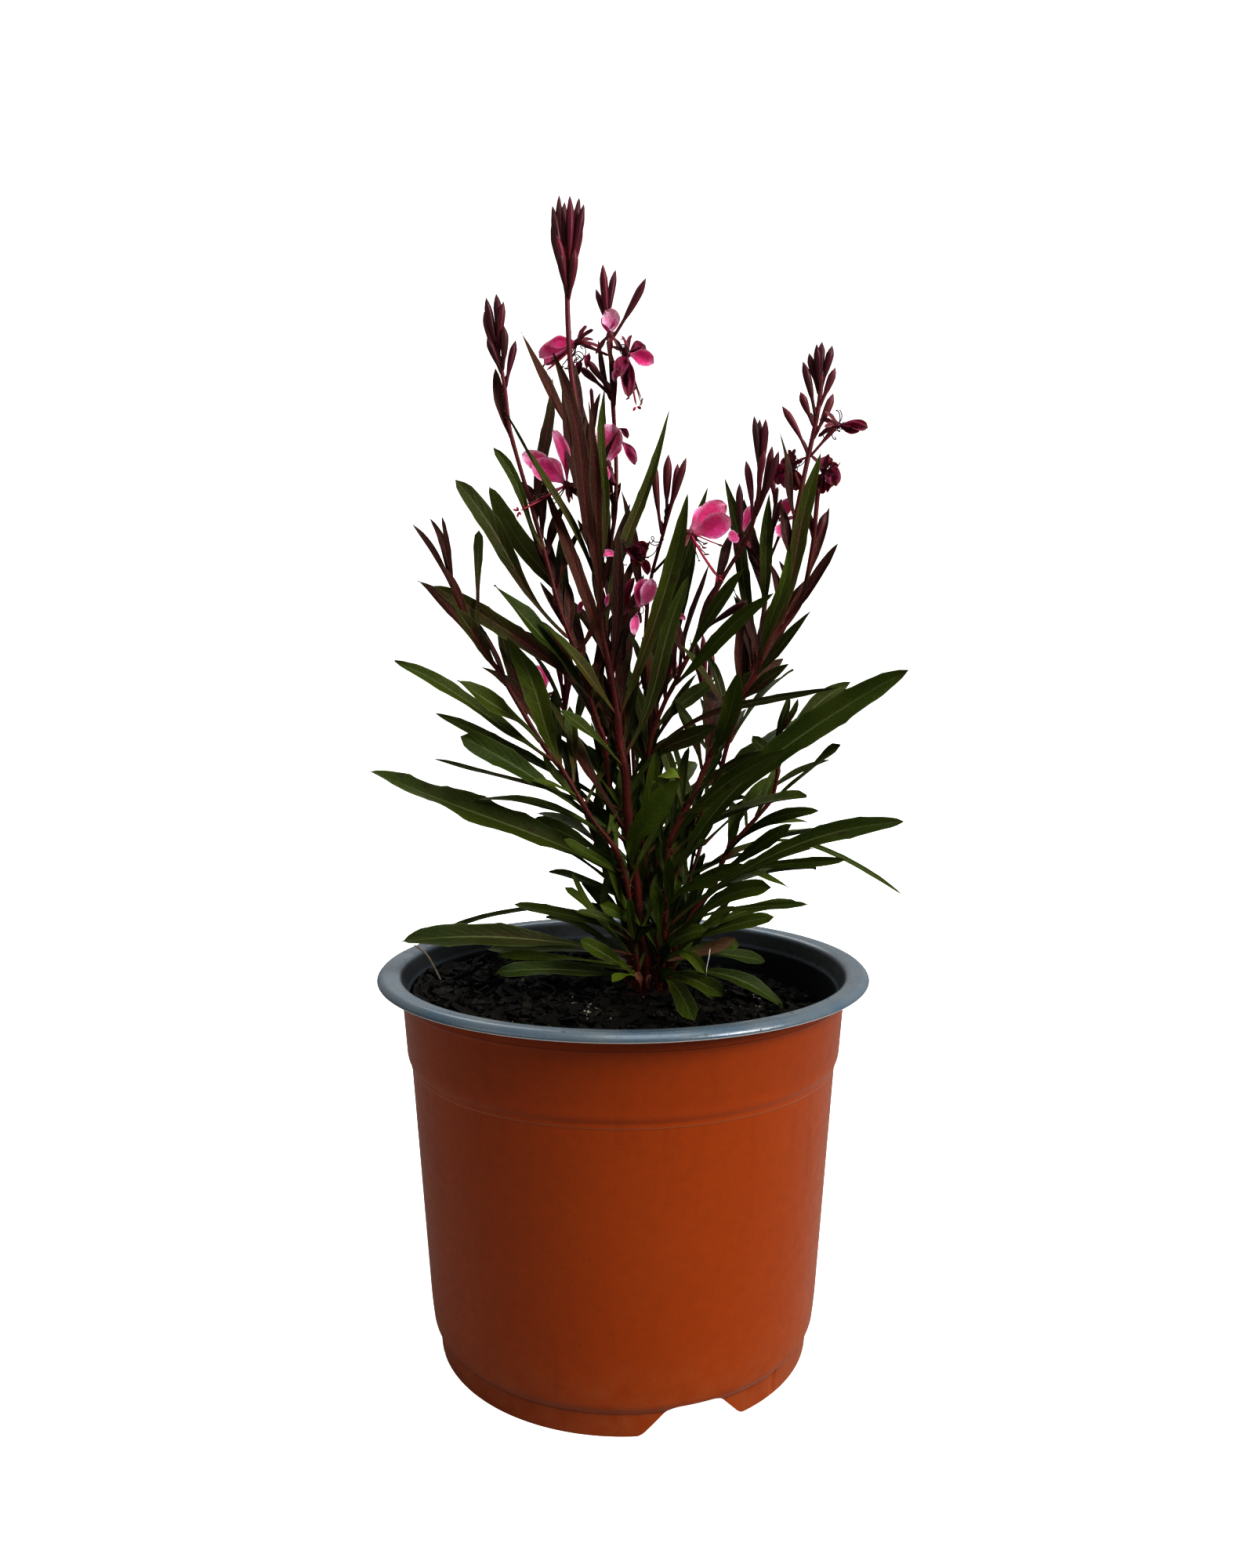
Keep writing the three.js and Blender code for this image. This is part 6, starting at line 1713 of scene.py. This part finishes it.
def add_axil_leaves(body, route, order, material):
    """Small upright leaves up the stem, in the angles of the larger ones and away from the front."""
    top = up_in_view(route[-1])
    up = max(up_in_view(route[0]), SOIL_LEVEL) + AXIL_START
    i = 0
    while up < top - AXIL_CLEAR_TOP:
        seed = 31 * order + i
        share = ease(120, 280, up)
        azimuth = AXIL_TURN * i + chance(seed)
        slope = radians(mix(mix(36, 66, share), 80, chance(seed + 0.2)))
        level = cos(slope)
        away = Vector((cos(azimuth) * level, abs(sin(azimuth)) * level, sin(slope)))
        length = mix(30, 22, share) * mix(0.6, 1.15, chance(seed + 0.4))
        base = point_at_up(route, up)
        width = mix(3.8, 3.2, share) * mix(0.7, 1.1, chance(seed + 0.6))
        blade = Blade(base, base + away * length, width, mix(-0.5, 1.4, chance(seed + 0.8)), 40, seed)
        add_leaf(body, blade, leaf_tone(blade, ()), material)
        up += mix(*AXIL_GAP, chance(seed + 0.9))
        i += 1


def add_hairs(body, route, radius, seed, material):
    """Short hairs that stand out from a stem."""
    last = len(route) - 2
    for n in range(HAIRS_PER_STEP * last):
        i = 1 + int(chance(seed + n * 0.37) * (last - 1))
        heading = (route[i + 1] - route[i]).normalized()
        place = route[i].lerp(route[i + 1], chance(seed + n * 0.53))
        out = heading.orthogonal().normalized()
        out.rotate(Matrix.Rotation(tau * chance(seed + n * 0.71), 3, heading))
        aim = (out + heading * mix(-0.2, 0.7, chance(seed + n * 0.91))).normalized()
        length = mix(*HAIR_LENGTH, chance(seed + n * 0.19))
        middle = place + out * (radius(i / (last + 1)) - HAIR_RADIUS) + aim * (length / 2)
        made = bmesh.ops.create_cone(
            body, segments=3, radius1=HAIR_RADIUS, radius2=0.012, depth=length,
            matrix=Matrix.Translation(middle) @ aim.to_track_quat("Z", "Y").to_matrix().to_4x4(),
        )["verts"]
        paint(body, made, HAIR_TONE)
        for face in {face for vert in made for face in vert.link_faces}:
            face.material_index = material


def add_bloom_stalks(body, node, route, branch, material):
    def stalk_radius(share):
        return mix(0.42, 0.75, ease(0.45, 0.8, share))

    for bloom in BLOOMS:
        owner, up = bloom["stalk"]
        if owner.partition("/")[0] == node:
            base = point_at_up(branch if owner.endswith("/branch") else route, up)
            foot = from_view(bloom["foot"])
            line = bent_line(base, foot, int(clamp((foot - base).length / 1.2, 6, 24)))
            add_tube(body, line, stalk_radius, BUD_SIDES, STEM_TONE, material)


# Blooms
def add_petal(body, blade, cup, crumple, tone, material):
    """A petal on a narrow claw, broad and round-ended, cupped, with a soft ruffle."""
    phase = tau * chance(blade.seed + 0.43)

    def half_width(u, v):
        claw = mix(0.16, 1.0, ease(0.04, 0.64, u))
        end = sqrt(max(0.0, 1 - clamp((u - 0.56) / 0.44) ** 2.2))
        notch = 1 + 0.03 * sin(9 * u + phase)
        return blade.width / 2 * claw * end * notch * min(1.0, 22 * u)

    def lift(u, v, half):
        bowl = cup * half * v * v * ease(0.1, 0.5, u)
        ruffle = blade.width * 0.06 * u * u * sin(5.2 * v + phase) * cos(4 * u + phase)
        folds = crumple * half * noise.noise(Vector((v * 1.7, u * 3.2, blade.seed)))
        return bowl + ruffle + folds

    def thickness(u, v):
        return 0.2 * (1 - v**4) * min(1.0, 22 * u, 14 * (1 - u)) * (1 + 2 * (1 - ease(0, 0.2, u)))

    steps = int(clamp(blade.length / 0.7, 12, 22))
    add_blade(body, blade, half_width, lift, thickness, PETAL_ROUNDS, steps, tone, material)


def add_thread(body, base, tip, radius, sag, seed, material, tone):
    """A stamen's or the style's thin stalk, with a gentle bend. It gives the way its end points."""
    bend = Vector((chance(seed) - 0.5, chance(seed + 0.2) - 0.5, sag)) * 0.6
    route = bent_line(base, tip, 9, bend)
    add_tube(body, route, lambda share: radius * mix(1.1, 0.8, share), THREAD_SIDES, tone, material)
    return route[-1] - route[-2]


def add_grain(body, centre, heading, length, radius, tone, material):
    """An anther or a lobe of the stigma: a small spindle."""
    along = heading.normalized() * (length / 2)
    route = [centre + along * (k / 3 - 1) for k in range(7)]

    def spindle(share):
        return radius * sin(pi * clamp(share, 0.06, 0.94)) ** 0.6

    add_tube(body, route, spindle, THREAD_SIDES, tone, material)


def add_stamens(body, bloom, foot, order):
    """The style, which is the first thread and ends in four lobes, the stamens in view and finer ones."""
    thread, anther = 1, 2
    tips = [from_view(row) for row in bloom.get("threads", [])]
    for i, tip in enumerate(tips):
        radius = STAMEN_RADIUS if i else STYLE_RADIUS
        heading = add_thread(body, foot, tip, radius, -0.4, order + i, thread, FRESH_TONE)
        if i:
            add_grain(body, tip, heading + Vector((0.3, 0.5, 0)), 2.4, 0.32, FRESH_TONE, anther)
            continue
        heading.normalize()
        for k in range(4):
            turn = Matrix.Rotation(tau * k / 4, 3, heading)
            lobe = turn @ (heading.orthogonal() * 0.8 + heading * 0.5)
            add_grain(body, tip + lobe * 0.9, lobe, 1.9, 0.33, FRESH_TONE, thread)
    for k in range(6 if tips else 0):
        aim = tips[k % len(tips)].lerp(tips[(k + 1) % len(tips)], chance(order + k))
        reach = mix(0.55, 0.9, chance(order + k + 0.4))
        stray = Vector((chance(k + 0.1) - 0.5, chance(k + 0.6) - 0.5, chance(k + 0.8) - 0.5)) * 5.5
        tip = foot.lerp(aim, reach) + stray
        heading = add_thread(body, foot, tip, FINE_RADIUS, -0.7, order + k, thread, AGED_TONE)
        add_grain(body, tip, heading.orthogonal() + heading, 2.2, 0.3, AGED_TONE, anther)


def add_tangle(body, bloom, order):
    """The curled, dried threads that a wilted bloom holds on to."""
    places = [from_view(row[:3]) for row in bloom.get("scraps", []) if row[7] == 1]
    places.append(from_view(bloom["foot"]))
    for k in range(5 + 2 * len(places)):
        seed = order * 20 + k
        base = places[k % len(places)]
        draws = [chance(seed + 0.17 * j) - 0.5 for j in range(4)]
        curl = Vector(draws[:3]) * 9
        route = []
        for j in range(15):
            turn = j * mix(0.25, 0.5, chance(seed + 0.3))
            reach = 0.4 + 0.17 * j
            coil = Vector((cos(turn + seed), draws[3], sin(turn + seed))) * (reach * 0.7)
            route.append(base + curl * (j / 14) + coil)
        add_tube(body, route, lambda share: TANGLE_RADIUS, 5, DRIED_TONE, 1)


def add_sepals(body, bloom, foot, order, material):
    """Four narrow sepals, bent back from the petals."""
    middle = sum((from_view(row[:3]) for row in bloom["petals"]), Vector()) / len(bloom["petals"])
    forward = (middle - foot).normalized()
    for k in range(SEPALS):
        turn = Matrix.Rotation(tau * (k + chance(order)) / SEPALS, 3, forward)
        away = turn @ forward.orthogonal().normalized()
        tip = foot + (away * 0.62 - forward * 0.78) * mix(5.0, 7.0, chance(order + k + 0.2))
        add_leaf(body, Blade(foot, tip, 1.5, 0.4, 60, order + k), (0.9, 0.6, 0, 0), material)


def add_calyx(body, foot, toward, material):
    along = toward.normalized()
    route = [foot + along * (k * 0.5 - 2.2) for k in range(8)]

    def swollen(share):
        return 0.55 + 0.6 * sin(pi * share) ** 0.8

    add_tube(body, route, swollen, 8, (0.6, 0.4, 0, 0), material)


def build_bloom(bloom, order, materials):
    petal, green = 0, 3
    wilted = bloom["finish"] == "wilted"
    usual = (0.85, 0.15) if wilted else (0.0, 0.45)
    body = new_body()
    foot = from_view(bloom["foot"])
    forward = Vector()
    for i, row in enumerate(bloom["petals"]):
        width, arch, turn = row[3:6]
        age, pale = row[6:] or usual
        seed = order * 10 + i
        blade = Blade(foot, from_view(row[:3]), width, arch, turn, seed)
        forward += (blade.tip - foot).normalized()
        add_petal(body, blade, PETAL_CUP, 0.9 * age, (age, pale, 0, 0), petal)
        if wilted and age > 0.5:
            inner = Blade(foot, blade.tip.lerp(foot, 0.25), width * 0.7, -arch, turn + 60, seed + 5)
            add_petal(body, inner, 1.2, 1.1, (1.0, 0.05, 0, 0), petal)
    for i, row in enumerate(bloom.get("scraps", [])):
        width, age, pale = row[6:]
        scrap = Blade(from_view(row[:3]), from_view(row[3:6]), width, 0.8, 70, order * 10 + i + 0.5)
        add_petal(body, scrap, 0.9, max(0.6, age), (age, pale, 0, 0), petal)
    if wilted:
        add_tangle(body, bloom, order)
    add_calyx(body, foot, forward, green)
    add_sepals(body, bloom, foot, order, green)
    add_stamens(body, bloom, foot, order)
    make_piece(body, f"{bloom['name']}_open", materials, bloom["finish"], [bloom["name"]], crisp=100)


# Scraps
def build_scraps(settings):
    """The dry straw, the white thread, and the papery sheaths round the stems' feet."""
    straw = dry_material("dry_straw", settings.straw, settings.straw_dark)
    body = new_body()
    rest_x, rest_y = STRAW_REST
    rest = Vector((rest_x, rest_y, soil_height(rest_x, rest_y) + STRAW_RADIUS + 0.3))
    route = smooth_route([from_view(STRAW_TOP), from_view(STRAW_BEND), rest])
    add_tube(body, route, lambda share: STRAW_RADIUS * mix(0.75, 0.95, share), 10, FRESH_TONE, lobes=0.08)
    make_piece(body, "bent_straw", [straw], "straw", ["dry_straw"], crisp=80)
    body = new_body()
    fibre = smooth_route([from_view(row) for row in FIBRE_ROUTE])
    add_tube(body, fibre, lambda share: FIBRE_RADIUS, THREAD_SIDES, FRESH_TONE)
    make_piece(body, "white_fibre", [dry_material("white_fibre", *FIBRE_COLOURS)], "straw")
    body = new_body()
    for i, (across, up, depth, tip_across, tip_up, width) in enumerate(SHEATHS):
        tip = from_view((tip_across, tip_up, depth - 1.5))
        add_leaf(body, Blade(from_view((across, up, depth)), tip, width, 0.8, 70, i), FRESH_TONE, 0)
    make_piece(body, "papery_sheaths", [dry_material("papery_sheath", *SHEATH_COLOURS)], "crown")


# Stage
def plain_floor(settings):
    made = bmesh.new()
    bmesh.ops.create_grid(made, x_segments=2, y_segments=2, size=FLOOR_HALF)
    mesh = bpy.data.meshes.new("floor")
    made.to_mesh(mesh)
    made.free()
    floor = new_object("floor", mesh)
    material, tree = new_material("pale_floor")
    seen = Value(add_node(tree, "LightPath").outputs["Is Camera Ray"])
    glow = step(reach_in(place_in(tree)), 0.06, 0.7, settings.floor_glow, 1.0) * seen
    colour = blend(seen, settings.floor_bounce, settings.floor)
    finish(material, colour, 0.9, 0.0, Emission_Color=settings.floor, Emission_Strength=glow)
    mesh.materials.append(material)


def soft_world(settings):
    """White to the camera, and as a light dim in front and brighter behind and above."""
    world = bpy.data.worlds.new("studio")
    bpy.context.scene.world = world
    world.use_nodes = True
    tree = world.node_tree
    tree.nodes.clear()
    seen = Value(add_node(tree, "LightPath").outputs["Is Camera Ray"])
    _, deep, high = split(Value(add_node(tree, "TexCoord").outputs["Generated"]))
    sky = step(deep * 0.7 + high * 0.9, 0.0, 1.0, settings.sky_low, settings.sky_high)
    inputs = [seen]
    for power in (sky, 1.0):
        light = add_node(tree, "Background", (("Color", (1, 1, 1)), ("Strength", power)))
        inputs.append(Value(light.outputs["Background"]))
    share = add_node(tree, "MixShader", enumerate(inputs))
    add_node(tree, "OutputWorld", [("Surface", Value(share.outputs["Shader"]))])


def add_softbox(name, place, size, power):
    light = bpy.data.lights.new(name, "AREA")
    light.shape = "DISK"
    light.size = size
    light.energy = power
    lamp = new_object(name, light)
    lamp.location = place
    lamp.rotation_euler = (STAGE_MIDDLE - Vector(place)).to_track_quat("-Z", "Y").to_euler()


def add_camera():
    camera = bpy.data.cameras.new("camera")
    camera.lens = LENS
    camera.sensor_width = SENSOR_WIDTH
    camera.clip_start = 0.01
    holder = new_object("camera", camera)
    holder.location = TO_FRAME @ VIEW_POINT
    holder.rotation_euler = (pi / 2 - VIEW_PITCH, 0, 0)
    bpy.context.scene.camera = holder


def build_stage(settings):
    plain_floor(settings)
    soft_world(settings)
    for name, (place, size) in SOFTBOXES.items():
        add_softbox(name, place, size, getattr(settings, name))
    add_camera()
    bpy.context.scene.view_settings.view_transform = "Standard"
    bpy.context.scene.view_settings.look = "High Contrast"


# Settings
def colour(name, description, value):
    return FloatVectorProperty(
        name=name, description=description, default=value, subtype="COLOR", size=3, min=0, max=1,
    )


def amount(name, description, value, unit="NONE"):
    return FloatProperty(name=name, description=description, default=value, min=0, unit=unit)


def count(name, description, value, low, high):
    return IntProperty(name=name, description=description, default=value, min=low, max=high)


class GauraPot(bpy.types.PropertyGroup):
    """The pot's finish."""

    sides: count("Sides", "Steps round the pot", 192, 24, 360)
    shell: colour("Shell", "Orange-brown of the outside", (0.33, 0.058, 0.002))
    shell_worn: colour("Worn shell", "Redder, rubbed patches", (0.35, 0.068, 0.007))
    # Dark for streaks, patches and the upper band, and painted shade in the groove under the rim and at the
    # foot's joint
    shell_dark: colour("Dark shell", "Streaks and creases", (0.14, 0.02, 0.002))
    # Painted highlight on the slope above the step
    shell_lit: colour("Lit shell", "Slope above the step", (0.56, 0.1, 0.014))
    # Dust at the foot, and the painted highlight along the step's edge
    shell_pale: colour("Pale shell", "Dusty foot and worn edges", (0.42, 0.15, 0.06))
    lining: colour("Lining", "Blue-grey of the rim", (0.08, 0.122, 0.16))
    lining_pale: colour("Pale lining", "Rubbed patches of the rim", (0.13, 0.155, 0.17))
    # Painted shade on the inside wall, and the colour of dark soil crumbs
    lining_dark: colour("Dark lining", "Inside wall and soil crumbs", (0.004, 0.006, 0.007))
    # Painted highlight along the rim's lower edge
    lining_edge: colour("Rim's edge", "Rubbed lower edge of the rim", (0.8, 0.82, 0.82))


class GauraSoil(bpy.types.PropertyGroup):
    """The bark mix."""

    chips: count("Chips", "Number of bark splinters", 1500, 0, 4000)
    specks: count("Specks", "Number of perlite crumbs", 130, 0, 600)
    bark: colour("Bark", "Darkest bark", (0.002, 0.002, 0.0018))
    bark_brown: colour("Brown bark", "Lighter bark", (0.0062, 0.0054, 0.0042))
    bark_tan: colour("Tan bark", "Freshly split chips", (0.035, 0.028, 0.019))
    perlite: colour("Perlite", "Pale crumbs", (0.2, 0.17, 0.13))


class GauraFoliage(bpy.types.PropertyGroup):
    """Colours of the leaves, stems and buds."""

    green_dark: colour("Dark green", "Older leaves", (0.015, 0.029, 0.0015))
    green_light: colour("Light green", "Young leaves", (0.085, 0.12, 0.006))
    green_bright: colour("Bright green", "The brightest young leaves", (0.15, 0.21, 0.02))
    green_yellow: colour("Yellow green", "Patches on the leaves", (0.066, 0.08, 0.006))
    purple: colour("Purple", "Purple-brown leaves and blotches", (0.042, 0.008, 0.012))
    red_brown: colour("Red brown", "Redder leaves", (0.075, 0.016, 0.012))
    underside: colour("Underside", "Grey-green undersides", (0.07, 0.08, 0.034))
    vein: colour("Veins", "Side veins", (0.1, 0.12, 0.025))
    # Pale midribs, and a painted highlight along the leaf margins
    midrib_pale: colour("Pale midrib", "Midribs of green leaves and thin margins", (0.13, 0.15, 0.06))
    midrib: colour("Midrib", "Red midribs and leaf stalks", (0.16, 0.026, 0.024))
    dry_leaf: colour("Dry leaf", "Dead tan leaves", (0.16, 0.1, 0.055))
    dry_leaf_pink: colour("Pink dry leaf", "Pink tint of dead leaves", (0.12, 0.062, 0.035))
    stem: colour("Stem", "Maroon stems", (0.112, 0.015, 0.012))
    stem_dark: colour("Dark stem", "Shaded patches of the stems", (0.06, 0.011, 0.009))
    hair: colour("Hairs", "Fine hairs on the stems", (0.3, 0.16, 0.13))
    bud: colour("Bud", "Dark buds", (0.065, 0.011, 0.02))
    bud_red: colour("Red bud", "Redder buds", (0.18, 0.025, 0.045))
    straw: colour("Straw", "Dry straw", (0.34, 0.29, 0.23))
    straw_dark: colour("Dark straw", "Cracks in the straw", (0.16, 0.12, 0.09))


class GauraBlooms(bpy.types.PropertyGroup):
    """Colours of the petals and of what stands in them."""

    petal: colour("Petal", "Pink of an open petal", (0.92, 0.095, 0.4))
    petal_deep: colour("Deep petal", "Veins and deeper patches", (0.55, 0.014, 0.12))
    petal_pale: colour("Pale petal", "Edges and throat", (1.0, 0.62, 0.8))
    wilted: colour("Wilted", "Shrivelled petals", (0.035, 0.004, 0.011))
    wilted_pink: colour("Wilted pink", "Fading petals", (0.14, 0.011, 0.042))
    thread: colour("Threads", "Foot of the stamens and the style", (0.5, 0.05, 0.12))
    thread_tip: colour("Thread tips", "Upper part of the stamens and the style", (0.34, 0.012, 0.02))
    anther: colour("Anther", "Anthers", (0.09, 0.02, 0.02))


class GauraStage(bpy.types.PropertyGroup):
    """Floor and lights."""

    floor: colour("Floor", "Floor colour", (0.9, 0.9, 0.9))
    floor_bounce: colour("Floor bounce", "Floor colour as the object sees it", (0.3, 0.3, 0.3))
    floor_glow: amount("Floor glow", "Lift of the floor towards white", 0.85)
    sky_low: amount("Low sky", "Even light from the front and sides", 0.07)
    sky_high: amount("High sky", "Even light from above", 0.4)
    key: amount("Key", "Light from the right front", 40, "POWER")
    fill: amount("Fill", "Light from the left", 5, "POWER")
    top: amount("Top", "Light from above", 9, "POWER")
    back: amount("Back", "Faint light from behind", 6, "POWER")


# Operators
class GAURA_OT_pot(bpy.types.Operator):
    """Model the moulded nursery pot"""

    bl_idname = "gaura.pot"
    bl_label = "Build pot"

    def execute(self, context):
        build_pot(context.scene.gaura_pot)
        return {"FINISHED"}


class GAURA_OT_soil(bpy.types.Operator):
    """Fill the pot with bark mix, chips and perlite specks"""

    bl_idname = "gaura.soil"
    bl_label = "Build soil"

    def execute(self, context):
        build_soil(context.scene.gaura_soil)
        return {"FINISHED"}


class GAURA_OT_crown(bpy.types.Operator):
    """Model the woody crown that the stems stand in"""

    bl_idname = "gaura.crown"
    bl_label = "Build crown"

    def execute(self, context):
        build_crown()
        return {"FINISHED"}


class GAURA_OT_shoots(bpy.types.Operator):
    """Grow the leafy shoots with their buds"""

    bl_idname = "gaura.shoots"
    bl_label = "Grow shoots"

    def execute(self, context):
        settings = context.scene.gaura_foliage
        materials = [stem_material(settings), bud_material(settings), leaf_material(settings)]
        for order, shoot in enumerate(SHOOTS):
            build_shoot(shoot, order, materials)
        return {"FINISHED"}


class GAURA_OT_blooms(bpy.types.Operator):
    """Open the blooms, with the wilted ones among them"""

    bl_idname = "gaura.blooms"
    bl_label = "Open blooms"

    def execute(self, context):
        settings = context.scene.gaura_blooms
        materials = [petal_material(settings), thread_material(settings), anther_material(settings)]
        materials.append(bpy.data.materials["maroon_bud"])
        for order, bloom in enumerate(BLOOMS):
            build_bloom(bloom, order, materials)
        return {"FINISHED"}


class GAURA_OT_scraps(bpy.types.Operator):
    """Lay the straw, the thread and the dry sheaths on the soil"""

    bl_idname = "gaura.scraps"
    bl_label = "Lay scraps"

    def execute(self, context):
        build_scraps(context.scene.gaura_foliage)
        return {"FINISHED"}


class GAURA_OT_stage(bpy.types.Operator):
    """Set the floor, the lights and the camera"""

    bl_idname = "gaura.stage"
    bl_label = "Set stage"

    def execute(self, context):
        build_stage(context.scene.gaura_stage)
        return {"FINISHED"}


class GAURA_PT_panel(bpy.types.Panel):
    """Lists the steps that build the potted gaura"""

    bl_label = "Potted gaura"
    bl_idname = "GAURA_PT_panel"
    bl_space_type = "VIEW_3D"
    bl_region_type = "UI"
    bl_category = "Gaura"

    def draw(self, context):
        for operator in OPERATORS:
            self.layout.operator(operator.bl_idname)
        for group in SETTINGS:
            box = self.layout.box()
            for name in SETTINGS[group].__annotations__:
                box.prop(getattr(context.scene, group), name)


OPERATORS = (
    GAURA_OT_pot,
    GAURA_OT_soil,
    GAURA_OT_crown,
    GAURA_OT_shoots,
    GAURA_OT_blooms,
    GAURA_OT_scraps,
    GAURA_OT_stage,
)
SETTINGS = {
    "gaura_pot": GauraPot,
    "gaura_soil": GauraSoil,
    "gaura_foliage": GauraFoliage,
    "gaura_blooms": GauraBlooms,
    "gaura_stage": GauraStage,
}


def register():
    for kind in (*SETTINGS.values(), *OPERATORS, GAURA_PT_panel):
        bpy.utils.register_class(kind)
    for name, kind in SETTINGS.items():
        setattr(bpy.types.Scene, name, PointerProperty(type=kind))


def unregister():
    for name in SETTINGS:
        delattr(bpy.types.Scene, name)
    for kind in reversed((*SETTINGS.values(), *OPERATORS, GAURA_PT_panel)):
        bpy.utils.unregister_class(kind)


def main():
    register()
    bpy.ops.gaura.pot()
    bpy.ops.gaura.soil()
    bpy.ops.gaura.crown()
    bpy.ops.gaura.shoots()
    bpy.ops.gaura.blooms()
    bpy.ops.gaura.scraps()
    bpy.ops.gaura.stage()


if __name__ == "__main__":
    main()
